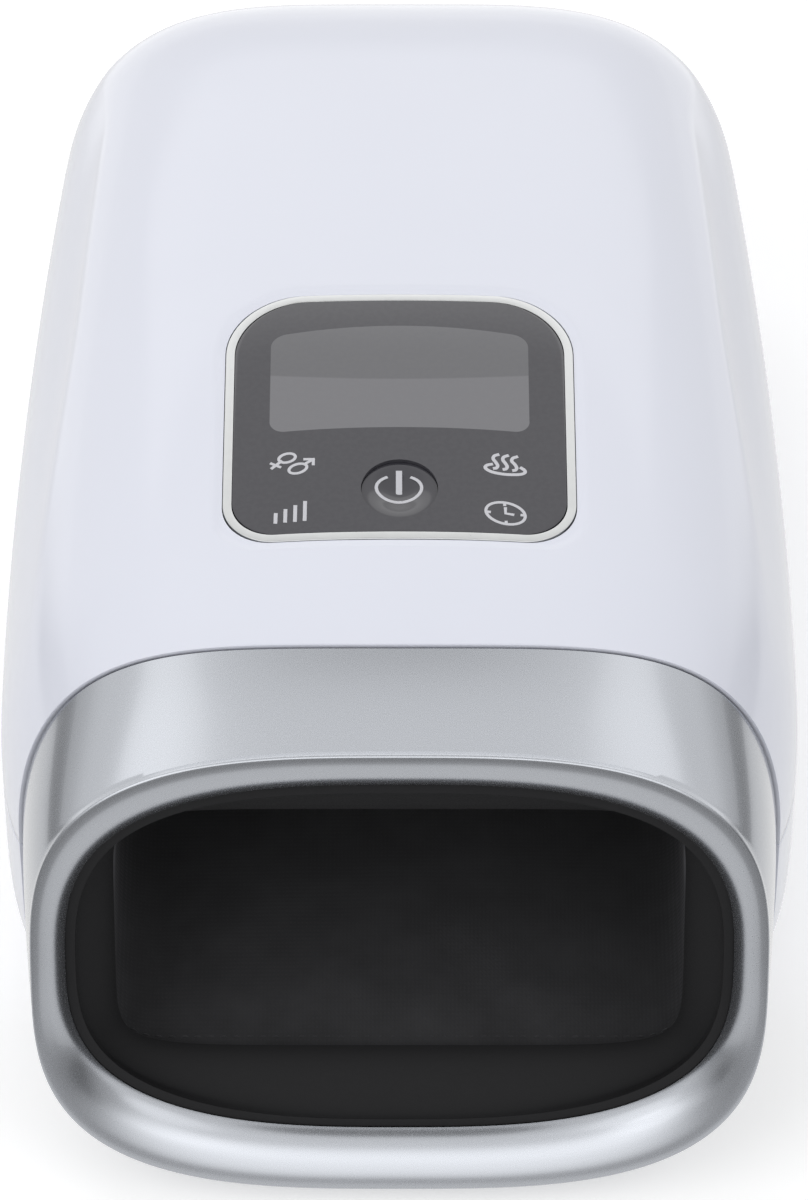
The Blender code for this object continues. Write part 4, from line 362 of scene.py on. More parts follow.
def unit_outline(angles: np.ndarray, power_across: float, power_up: float) -> np.ndarray:
    """Return the points of a unit superellipse in the directions of some angles.

    Args:
        angles: Directions, counter-clockwise from +X.
        power_across: Power of the first coordinate.
        power_up: Power of the second coordinate.

    Returns:
        An array of (angle, 2).
    """
    across, up = np.abs(np.cos(angles)), np.abs(np.sin(angles))
    low, high = np.zeros_like(angles), np.full_like(angles, 2.0)
    for _ in range(44):
        middle = (low + high) / 2
        inside = (middle * across) ** power_across + (middle * up) ** power_up < 1
        low = np.where(inside, middle, low)
        high = np.where(inside, high, middle)
    reach = (low + high) / 2
    return np.column_stack([reach * np.cos(angles), reach * np.sin(angles)])


def through(points: Sequence[Sequence[float]], steps: int) -> np.ndarray:
    """Return a smooth curve through points, with a number of steps between each pair.

    Args:
        points: The points the curve goes through.
        steps: The number of steps between each pair.

    Returns:
        The curve's points as rows.
    """
    knots = np.array(points, float)
    knots = np.vstack([2 * knots[0] - knots[1], knots, 2 * knots[-1] - knots[-2]])
    curve = []
    for before, start, end, after in zip(knots, knots[1:], knots[2:], knots[3:]):
        for share in np.linspace(0, 1, steps, endpoint=False):
            curve.append(0.5 * (2 * start + (end - before) * share
                                + (2 * before - 5 * start + 4 * end - after) * share ** 2
                                + (3 * start - before - 3 * end + after) * share ** 3))
    curve.append(knots[-2])
    return np.array(curve)


def shaded(colour: Triple, factor: float, lift: float = 0.0) -> Triple:
    """Return a colour, made lighter or darker."""
    return tuple(min(1.0, part * factor + lift) for part in colour)


# Node trees
class Nodes:
    """A node tree, with short calls that add nodes to it."""

    def __init__(self, tree: bpy.types.NodeTree) -> None:
        """Keep the tree's nodes and links."""
        self.nodes, self.links = tree.nodes, tree.links

    def add(self, kind: str, inputs: dict[str | int, object] | None = None,
            **settings: object) -> bpy.types.Node:
        """Add a node.

        Args:
            kind: The node's type.
            inputs: Values or sockets for its inputs, by name or number.
            settings: Values of its own settings.

        Returns:
            The node.
        """
        node = self.nodes.new(kind)
        for name, value in settings.items():
            setattr(node, name, value)
        for key, value in (inputs or {}).items():
            if isinstance(value, Socket):
                self.links.new(value, node.inputs[key])
            else:
                node.inputs[key].default_value = value
        return node

    def math(self, operation: str, first: Value, second: Value = 0.0) -> Socket:
        """Return the result of a sum on two values."""
        return self.add("ShaderNodeMath", {0: first, 1: second}, operation=operation).outputs[0]

    def plus(self, *values: Value) -> Socket:
        """Return the sum of some values."""
        return reduce(lambda first, second: self.math("ADD", first, second), values)

    def minus(self, first: Value, second: Value) -> Socket:
        """Return the difference of two values."""
        return self.math("SUBTRACT", first, second)

    def times(self, *values: Value) -> Socket:
        """Return the product of some values."""
        return reduce(lambda first, second: self.math("MULTIPLY", first, second), values)

    def length(self, x: Value, y: Value) -> Socket:
        """Return the length of a flat vector."""
        return self.math("SQRT", self.plus(self.math("POWER", x, 2.0), self.math("POWER", y, 2.0)))

    def split(self, vector: Socket) -> bpy.types.NodeOutputs:
        """Return the three parts of a vector."""
        return self.add("ShaderNodeSeparateXYZ", {0: vector}).outputs


class Graph(Nodes):
    """A shader node tree that starts from one kind of coordinates."""

    def __init__(self, tree: bpy.types.NodeTree, coordinates: str) -> None:
        """Keep the tree and its coordinates."""
        super().__init__(tree)
        self.place = self.add("ShaderNodeTexCoord").outputs[coordinates]

    def stretched(self, scale: Triple) -> Socket:
        """Return the coordinates, scaled."""
        return self.add("ShaderNodeMapping",
                        {"Vector": self.place, "Scale": scale}).outputs["Vector"]

    def noise(self, scale: float, detail: float = 2.0, vector: Socket | None = None) -> Socket:
        """Return a noise value."""
        return self.add("ShaderNodeTexNoise", {"Scale": scale, "Detail": detail,
                                               "Vector": vector or self.place}).outputs["Fac"]

    def cells(self, scale: float) -> Socket:
        """Return the distance from the middle of each cell of a pattern."""
        return self.add("ShaderNodeTexVoronoi",
                        {"Scale": scale, "Vector": self.place}).outputs["Distance"]

    def bands(self, pitch: float, axis: str, shape: str = "SIN") -> Socket:
        """Return a value that rises and falls along an axis, once in each pitch.

        Args:
            pitch: The distance from one band to the next.
            axis: The axis's letter.
            shape: The wave's profile.

        Returns:
            The value's socket.
        """
        inputs = {"Scale": 2 * math.pi / pitch / 20, "Vector": self.place}
        return self.add("ShaderNodeTexWave", inputs, bands_direction=axis,
                        wave_profile=shape).outputs["Fac"]

    def ranged(self, value: Socket, low: float, high: float, to_low: float = 0.0,
               to_high: float = 1.0, kind: str = "LINEAR") -> Socket:
        """Return a value moved from one range to another, clamped.

        Args:
            value: The value to move.
            low: The range's start.
            high: The range's end.
            to_low: What the start becomes.
            to_high: What the end becomes.
            kind: The way from one to the other.

        Returns:
            The moved value's socket.
        """
        return self.add("ShaderNodeMapRange", {
            "Value": value, "From Min": low, "From Max": high, "To Min": to_low,
            "To Max": to_high}, interpolation_type=kind).outputs["Result"]

    def eased(self, value: Socket, low: float, high: float, to_low: float = 0.0,
              to_high: float = 1.0) -> Socket:
        """Return a value moved from one range to another, clamped and eased."""
        return self.ranged(value, low, high, to_low, to_high, "SMOOTHSTEP")

    def mixed(self, share: Socket, first: Triple | Socket, second: Triple | Socket) -> Socket:
        """Return a colour between two others.

        Args:
            share: The share of the second colour.
            first: The first colour.
            second: The second colour.

        Returns:
            The colour's socket.
        """
        inputs: dict[str | int, object] = {"Factor": share}
        for key, value in ((6, first), (7, second)):
            inputs[key] = (*value, 1.0) if isinstance(value, tuple) else value
        return self.add("ShaderNodeMix", inputs, data_type="RGBA").outputs[2]

    def facing(self, way: Triple) -> Socket:
        """Return how far the coordinates point one way, as a cosine for unit vectors."""
        return self.add("ShaderNodeVectorMath", {0: self.place, 1: way},
                        operation="DOT_PRODUCT").outputs["Value"]

    def rays(self, *kinds: str) -> Socket:
        """Return 1 for a ray of any of the kinds, such as Camera or Glossy.

        Args:
            kinds: The kinds of ray.

        Returns:
            The value's socket.
        """
        path = self.add("ShaderNodeLightPath").outputs
        return reduce(lambda first, second: self.math("MAXIMUM", first, second),
                      [path[f"Is {kind} Ray"] for kind in kinds])


class Surface(Graph):
    """A material's node tree round its main shader."""

    def __init__(self, name: str) -> None:
        """Start a material with its main shader.

        Args:
            name: The material's name.
        """
        self.material = bpy.data.materials.new(name)
        self.material.use_nodes = True
        super().__init__(self.material.node_tree, "Object")
        self.shader = self.nodes["Principled BSDF"]

    def set(self, **values: float | Triple) -> None:
        """Set values on the main shader's own sockets, with _ for a space in a name.

        Args:
            values: The values by socket.
        """
        for name, value in values.items():
            socket = self.shader.inputs[name.replace("_", " ")]
            socket.default_value = (*value, 1.0) if isinstance(value, tuple) else value

    def tint(self, share: Socket, first: Triple | Socket, second: Triple | Socket) -> None:
        """Let the base colour run between two others."""
        self.links.new(self.mixed(share, first, second), self.shader.inputs["Base Color"])

    def rough(self, share: Socket, span: Pair, base: float, factors: Pair) -> None:
        """Let the roughness run between two shares of its base, over a span of a value."""
        ends = [min(1.0, base * factor) for factor in factors]
        self.links.new(self.ranged(share, *span, *ends), self.shader.inputs["Roughness"])

    def bump(self, height: Socket, strength: float, distance: float) -> None:
        """Drive the main shader's normal by a height.

        Args:
            height: The height's socket.
            strength: The share of the bump that shows.
            distance: The height that 1 stands for.
        """
        node = self.add("ShaderNodeBump", {"Strength": strength, "Distance": distance,
                                           "Height": height})
        self.links.new(node.outputs["Normal"], self.shader.inputs["Normal"])


# Finishes
@dataclass(frozen=True)
class Finish:
    """A finish: its name, the name of the slot it stands for, colour and roughness."""

    name: str
    slot: str
    colour: Triple
    roughness: float

    def detail(self, made: Surface) -> None:
        """Add the detail of the finish to its material."""

    def material(self) -> bpy.types.Material:
        """Return the material, made once.

        Returns:
            The finish's material.
        """
        found = bpy.data.materials.get(self.name)
        if found is None:
            made = Surface(self.name)
            made.set(Base_Color=self.colour, Roughness=self.roughness)
            self.detail(made)
            found = made.material
            found.diffuse_color = (*self.colour, 1.0)
        return found


@dataclass(frozen=True)
class GlossMoulding(Finish):
    """Glossy moulded plastic: a faint tint drift and a skin that isn't quite flat."""

    ripple: float = 0.00002
    ripple_scale: float = 130.0
    drift_scale: float = 18.0
    drift: float = 0.015
    coat: float = 0.35

    def detail(self, made: Surface) -> None:
        """Add drift of tint and gloss, and the moulded ripple.

        Args:
            made: The material being made.
        """
        made.tint(made.noise(self.drift_scale), shaded(self.colour, 1 - self.drift),
                  shaded(self.colour, 1 + self.drift))
        made.rough(made.noise(3 * self.drift_scale + 1), (0.3, 0.7), self.roughness, (0.85, 1.2))
        made.set(Coat_Weight=self.coat, Coat_Roughness=0.06)
        made.bump(made.noise(self.ripple_scale, 1.0), 0.35, self.ripple)


@dataclass(frozen=True)
class MetallicPaint(Finish):
    """Metallic paint: flakes that each lie at their own tilt, under clear lacquer."""

    metallic: float = 0.9
    flake_scale: float = 3600.0
    flake_contrast: float = 0.02
    flake_gloss: float = 0.06

    def detail(self, made: Surface) -> None:
        """Add the flakes and the lacquer.

        Args:
            made: The material being made.
        """
        flakes = made.ranged(made.noise(self.flake_scale, 1.0), 0.3, 0.7)
        made.tint(flakes, shaded(self.colour, 1 - self.flake_contrast),
                  shaded(self.colour, 1 + self.flake_contrast))
        made.rough(flakes, (0.0, 1.0), self.roughness, (1 - self.flake_gloss, 1 + self.flake_gloss))
        made.set(Metallic=self.metallic, Coat_Weight=0.8, Coat_Roughness=0.05)


@dataclass(frozen=True)
class Metal(Finish):
    """Bare or plated metal with fine lines along one axis."""

    lines: Triple = (400.0, 400.0, 4000.0)
    dullness: float = 0.14

    def detail(self, made: Surface) -> None:
        """Add the lines and a drift of tint.

        Args:
            made: The material being made.
        """
        lines = made.noise(1.0, 3.0, made.stretched(self.lines))
        made.tint(lines, shaded(self.colour, 1 - self.dullness), self.colour)
        made.rough(lines, (0.2, 0.8), self.roughness, (0.75, 1.3))
        made.set(Metallic=1.0)
        made.bump(lines, 0.1, 0.00002)


@dataclass(frozen=True)
class MouldedPlastic(Finish):
    """Matt moulded plastic with a fine spark-eroded texture."""

    grain_scale: float = 2600.0
    grain: float = 0.00004
    shine: float = 0.5

    def detail(self, made: Surface) -> None:
        """Add the texture.

        Args:
            made: The material being made.
        """
        grain = made.noise(self.grain_scale, 3.0)
        made.tint(grain, self.colour, shaded(self.colour, 1.2, 0.002))
        made.rough(grain, (0.3, 0.7), self.roughness, (0.85, 1.12))
        made.set(Specular_IOR_Level=self.shine)
        made.bump(grain, 0.4, self.grain)


@dataclass(frozen=True)
class Rubber(Finish):
    """Soft rubber or silicone with a faint bloom."""

    bloom: float = 0.042
    bloom_scale: float = 240.0
    pitting_scale: float = 3000.0

    def detail(self, made: Surface) -> None:
        """Add the bloom and a fine pitting.

        Args:
            made: The material being made.
        """
        bloom = made.ranged(made.noise(self.bloom_scale, 4.0), 0.35, 0.7)
        made.tint(bloom, self.colour, shaded(self.colour, 1 - self.bloom, self.bloom))
        made.rough(bloom, (0.0, 1.0), self.roughness, (1.0, 1.2))
        made.bump(made.noise(self.pitting_scale), 0.25, 0.00004)


@dataclass(frozen=True)
class Knit(Finish):
    """Soft knitted fabric: rows of loops with a nap that catches grazing light."""

    loop_width: float = 0.0008
    loop_length: float = 0.001
    sheen: float = 0.3

    def detail(self, made: Surface) -> None:
        """Add the loops, the nap and a cloudy wear.

        Args:
            made: The material being made.
        """
        loops = made.times(made.bands(self.loop_width, "X"), made.bands(self.loop_length, "Y"))
        cloud = made.ranged(made.noise(90.0, 3.0), 0.35, 0.75)
        thread = made.mixed(loops, shaded(self.colour, 0.8), self.colour)
        made.tint(cloud, thread, shaded(self.colour, 1.25))
        made.set(Sheen_Weight=self.sheen, Sheen_Roughness=0.45, Sheen_Tint=(0.8, 0.8, 0.85))
        made.bump(made.plus(loops, made.times(made.noise(2400.0), 0.7)), 0.35, 0.00012)


@dataclass(frozen=True)
class SmokedGlass(Finish):
    """Polished dark glass over a printed backing, paler where the display lies, with a painted
    reflection that lightens the display's lower half.
    """

    window_middle: float = -0.0136
    window_half: Pair = (0.0256, 0.01345)
    window_corner: float = 0.003
    window_bow: float = 0.0022
    bow_growth: float = 0.058
    window_edge: float = 0.00006
    window_colour: Triple = (0.122, 0.122, 0.132)
    # The display's paler lower half is a painted reflection of a lamp: its colour, its bowed edge
    # and the blur of that edge follow.
    glare_colour: Triple = (0.168, 0.167, 0.18)
    glare_edge: float = -0.0112
    glare_bow: float = 0.001
    glare_blur: float = 0.0002
    fleck_colour: Triple = (0.3, 0.3, 0.31)

    def detail(self, made: Surface) -> None:
        """Paint the display's window as a rounded form, with a painted reflection that makes its
        lower half paler.

        Args:
            made: The material being made.
        """
        x, y, _ = made.split(made.place)
        half_x, half_y = self.window_half
        corner, edge, blur = self.window_corner, self.window_edge, self.glare_blur
        across = made.math("ABSOLUTE", x)
        crown = made.minus(1.0, made.math("POWER", made.math("DIVIDE", across, half_x), 2.0))
        from_middle = made.minus(y, self.window_middle)
        bow = made.plus(made.times(from_middle, self.bow_growth), self.window_bow)
        along = made.math("ABSOLUTE", made.minus(from_middle, made.times(crown, bow)))
        out_x, out_y = [made.math("MAXIMUM", made.minus(reach, half - corner), 0.0)
                        for reach, half in ((across, half_x), (along, half_y))]
        inside = made.ranged(made.length(out_x, out_y), corner + edge, corner - edge)
        # Painted reflection: below a bowed, blurred edge the display turns paler, as if a lamp's
        # glare lay on the glass.
        glare_edge = made.minus(self.glare_edge, made.times(crown, self.glare_bow))
        below = made.ranged(made.minus(y, glare_edge), blur, -blur)
        window = made.mixed(below, self.window_colour, self.glare_colour)
        fleck = made.ranged(made.noise(900.0), 0.4, 0.6, 0.0, 0.02)
        made.tint(fleck, made.mixed(inside, self.colour, window), self.fleck_colour)
        made.rough(made.noise(70.0), (0.3, 0.7), self.roughness, (1.0, 1.5))
        made.set(Coat_Weight=0.5, Coat_Roughness=0.02, IOR=1.5)


@dataclass(frozen=True)
class PrintInk(Finish):
    """Opaque printed ink."""

    thinness: float = 0.07

    def detail(self, made: Surface) -> None:
        """Let the ink's cover vary a little."""
        made.tint(made.noise(1800.0), shaded(self.colour, 1 - self.thinness), self.colour)


@dataclass(frozen=True)
class CircuitBoard(Finish):
    """Solder mask over copper tracks."""

    track_pitch: float = 0.0016
    solder: Triple = (0.62, 0.6, 0.52)

    def detail(self, made: Surface) -> None:
        """Add tracks and pads below the mask.

        Args:
            made: The material being made.
        """
        tracks = made.times(made.ranged(made.bands(self.track_pitch, "X", "SAW"), 0.6, 0.7),
                            made.ranged(made.noise(160.0), 0.45, 0.5))
        mask = made.mixed(tracks, self.colour, shaded(self.colour, 1.6, 0.03))
        made.tint(made.ranged(made.cells(420.0), 0.2, 0.16), mask, self.solder)
        made.bump(tracks, 0.3, 0.00005)


@dataclass(frozen=True)
class HeatingFilm(Finish):
    """Amber film with a heating track that runs to and fro."""

    track_pitch: float = 0.006
    track_colour: Triple = (0.32, 0.3, 0.28)

    def detail(self, made: Surface) -> None:
        """Add the track.

        Args:
            made: The material being made.
        """
        made.tint(made.ranged(made.bands(self.track_pitch, "Y"), 0.72, 0.8), self.colour,
                  self.track_colour)
        made.set(Coat_Weight=0.3)


class Finishes(Enum):
    """Every finish that the massager has."""

    WHITE_SHELL = GlossMoulding("white_shell", "white_gloss", (0.785, 0.805, 0.895), 0.17)
    SILVER_COLLAR = MetallicPaint("silver_collar", "silver_paint", (0.478, 0.496, 0.532), 0.26)
    BRIGHT_TRIM = Metal("bright_trim", "trim_silver", (0.66, 0.67, 0.67), 0.34)
    PANEL_GLASS = SmokedGlass("panel_glass", "smoked_glass", (0.037, 0.036, 0.045), 0.05)
    KEY_GLOSS = GlossMoulding("key_gloss", "key_black", (0.037, 0.036, 0.045), 0.08)
    PRINT = PrintInk("printed_symbols", "smoked_glass", (0.62, 0.62, 0.66), 0.4)
    MOUTH_PLASTIC = MouldedPlastic("mouth_plastic", "black_plastic", (0.018, 0.018, 0.019),
                                   0.7, shine=0.15)
    LINING = Knit("black_lining", "black_fabric", (0.026, 0.026, 0.028), 0.85)
    GREY_PLASTIC = MouldedPlastic("grey_plastic", "grey_plastic", (0.35, 0.36, 0.38), 0.5)
    FOOT_RUBBER = Rubber("foot_rubber", "soft_rubber", (0.07, 0.07, 0.073), 0.75)
    FOAM = Rubber("spring_foam", "foam", (0.22, 0.22, 0.23), 0.9)
    FILM = HeatingFilm("amber_film", "film", (0.55, 0.26, 0.05), 0.3)
    BOARD = CircuitBoard("green_board", "board", (0.02, 0.13, 0.05), 0.4)
    DISPLAY = GlossMoulding("display_glass", "display", (0.04, 0.045, 0.05), 0.15)
    STEEL = Metal("zinc_steel", "steel", (0.62, 0.62, 0.6), 0.3)
    BRASS = Metal("turned_brass", "brass", (0.72, 0.52, 0.22), 0.28)
    SILICONE = Rubber("clear_silicone", "silicone", (0.72, 0.73, 0.73), 0.4)
    CELL_SLEEVE = GlossMoulding("cell_sleeve", "cell", (0.05, 0.16, 0.42), 0.3)
    RIBBON = MouldedPlastic("flat_cable", "ribbon", (0.75, 0.75, 0.72), 0.5)
    WIRE = Rubber("red_wire", "wire", (0.45, 0.03, 0.03), 0.45)

    def paint(self, item: Object) -> None:
        """Give an object this finish alone."""
        item.data.materials.clear()
        item.data.materials.append(self.value.material())


def dress(item: Object, finish: Finishes, body: str = "housing",
          stands_for: Sequence[str] = ()) -> Object:
    """Give a piece its finish and its body, and hide the nodes that it stands for.

    Args:
        item: The finished piece.
        finish: Its finish.
        body: The body that carries it.
        stands_for: Names of the nodes that it replaces.

    Returns:
        The same piece.
    """
    finish.paint(item)
    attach(item, body)
    if stands_for:
        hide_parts(*stands_for)
    log.info("%-26s %-14s %s", item.name, body, finish.name.lower())
    return item


# Geometry node trees
class Tree(Nodes):
    """A geometry node tree with named sizes, which ends in one material."""

    def __init__(self, name: str, **sizes: float) -> None:
        """Start a tree that takes geometry and sizes, and gives geometry.

        Args:
            name: The tree's name.
            sizes: The tree's inputs with their values.
        """
        self.group = bpy.data.node_groups.new(name, "GeometryNodeTree")
        super().__init__(self.group)
        face = self.group.interface
        face.new_socket("Geometry", in_out="INPUT", socket_type="NodeSocketGeometry")
        self.keys: dict[str, str] = {}
        for label, value in sizes.items():
            socket = face.new_socket(label.replace("_", " "), in_out="INPUT",
                                     socket_type="NodeSocketFloat")
            socket.default_value = value
            self.keys[label] = socket.identifier
        face.new_socket("Geometry", in_out="OUTPUT", socket_type="NodeSocketGeometry")
        self.size = self.add("NodeGroupInput").outputs
        self.source = self.size["Geometry"]

    def combine(self, x: Value, y: Value, z: Value) -> Socket:
        """Return a vector of three values."""
        return self.add("ShaderNodeCombineXYZ", {0: x, 1: y, 2: z}).outputs[0]

    def raised(self, geometry: Socket, lift: Value) -> Socket:
        """Return geometry, moved up."""
        return self.add("GeometryNodeTransform", {
            "Geometry": geometry, "Translation": self.combine(0.0, 0.0, lift)}).outputs[0]

    def cylinder(self, sides: int, radius: Socket, height: Socket, rings: int = 1) -> Socket:
        """Return an upright cylinder about the middle.

        Args:
            sides: The number of sides.
            radius: Its radius.
            height: Its height.
            rings: The number of rows up its side.

        Returns:
            The cylinder's socket.
        """
        return self.add("GeometryNodeMeshCylinder", {
            "Vertices": sides, "Fill Segments": rings, "Radius": radius,
            "Depth": height}).outputs["Mesh"]

    def block(self, x: Socket, y: Socket, z: Socket) -> Socket:
        """Return a block about the middle."""
        return self.add("GeometryNodeMeshCube", {"Size": self.combine(x, y, z)}).outputs["Mesh"]

    def carved(self, whole: Socket, cutter: Socket) -> Socket:
        """Return a solid with another cut out of it."""
        return self.add("GeometryNodeMeshBoolean", {"Mesh 1": whole, "Mesh 2": cutter},
                        operation="DIFFERENCE", solver="EXACT").outputs["Mesh"]

    def joined(self, *parts: Socket) -> Socket:
        """Return some parts as one geometry.

        Args:
            parts: The geometries to join.

        Returns:
            The joined geometry's socket.
        """
        node = self.add("GeometryNodeJoinGeometry")
        for part in parts:
            self.links.new(part, node.inputs[0])
        return node.outputs[0]

    def upright_path(self) -> Socket:
        """Return the source's curve with its normals upright."""
        return self.add("GeometryNodeSetCurveNormal", {"Curve": self.source},
                        mode="Z_UP").outputs["Curve"]

    def oblong(self, width: Socket, height: Socket) -> Socket:
        """Return the outline of an oblong."""
        return self.add("GeometryNodeCurvePrimitiveQuadrilateral",
                        {"Width": width, "Height": height}).outputs["Curve"]

    def swept(self, path: Socket, profile: Socket, caps: bool = True) -> Socket:
        """Return a profile swept along a path."""
        return self.add("GeometryNodeCurveToMesh", {
            "Curve": path, "Profile Curve": profile, "Fill Caps": caps}).outputs["Mesh"]

    def on_points(self, part: Socket, **inputs: Socket) -> Socket:
        """Return a part set on each of the source's points, or on those given."""
        return self.add("GeometryNodeInstanceOnPoints", {
            "Points": self.source, "Instance": part, **inputs}).outputs["Instances"]

    def close(self, geometry: Socket, finish: Finishes) -> "Tree":
        """End the tree by realizing its instances and setting their material.

        Args:
            geometry: What the tree gives.
            finish: The finish that it wears.

        Returns:
            The tree itself.
        """
        real = self.add("GeometryNodeRealizeInstances", {"Geometry": geometry})
        painted = self.add("GeometryNodeSetMaterial", {
            "Geometry": real.outputs[0], "Material": finish.value.material()})
        self.add("NodeGroupOutput", {"Geometry": painted.outputs[0]})
        return self

    def grow(self, name: str, source: bpy.types.ID, smooth_angle: float = 35.0,
             **sizes: float) -> Object:
        """Run the tree on a mesh or a curve and keep the result as a plain mesh.

        Args:
            name: Name of the finished piece.
            source: The mesh or curve that the tree starts from.
            smooth_angle: Edges over this angle, in degrees, stay sharp.
            sizes: Values for the tree's inputs, with _ for a space.

        Returns:
            The finished piece.
        """
        seed = add_object(name + "_seed", source)
        step = seed.modifiers.new("grow", "NODES")
        step.node_group = self.group
        for label, value in sizes.items():
            step[self.keys[label]] = value
        mesh = shown_mesh(seed)
        mesh.name = name
        bpy.data.objects.remove(seed, do_unlink=True)
        with editing(mesh) as form:
            bmesh.ops.remove_doubles(form, verts=form.verts, dist=MERGE)
            bmesh.ops.recalc_face_normals(form, faces=form.faces)
        shade(mesh, smooth_angle)
        return add_object(name, mesh)


def spots(name: str, places: Iterable[Triple]) -> Mesh:
    """Return a mesh of loose points.

    Args:
        name: The mesh's name.
        places: The points' places.

    Returns:
        The mesh.
    """
    mesh = bpy.data.meshes.new(name)
    mesh.from_pydata([tuple(place) for place in places], [], [])
    return mesh


def rounded(points: np.ndarray, reach: float) -> tuple[np.ndarray, np.ndarray]:
    """Return a line lengthened at both ends, with radii that round the ends off.

    Args:
        points: The line's points.
        reach: How far each end is lengthened.

    Returns:
        The longer line's points, and the share of the radius at each.
    """
    caps = np.sin(np.linspace(math.pi / 2, 0, 6)[:-1])[:, None]
    ends = []
    for end, near in ((points[0], points[1]), (points[-1], points[-2])):
        ends.append(end + (end - near) / np.linalg.norm(end - near) * reach * caps)
    widths = np.maximum(0.02, np.sqrt(1 - caps[:, 0] ** 2))
    return (np.concatenate([ends[0], points, ends[1][::-1]]),
            np.concatenate([widths, np.ones(len(points)), widths[::-1]]))


def path_curve(name: str, lines: Sequence[Sequence[Triple]], closed: bool = False,
               round_end: float = 0.0) -> bpy.types.Curve:
    """Return a curve of straight spans along each line of points.

    Args:
        name: Name of the curve.
        lines: The lines' points.
        closed: Whether the lines are closed rings.
        round_end: Half the width of a stroke whose ends are rounded off.

    Returns:
        The curve, with its radius falling to nothing at rounded ends.
    """
    curve = bpy.data.curves.new(name, "CURVE")
    curve.dimensions = "3D"
    for line in lines:
        points = np.array(line, float)
        radii = np.ones(len(points))
        if round_end and not closed:
            points, radii = rounded(points, round_end)
        spline = curve.splines.new("POLY")
        spline.points.add(len(points) - 1)
        for knot, point, radius in zip(spline.points, points, radii):
            knot.co = (*point, 1)
            knot.radius = radius
        spline.use_cyclic_u = closed
    return curve


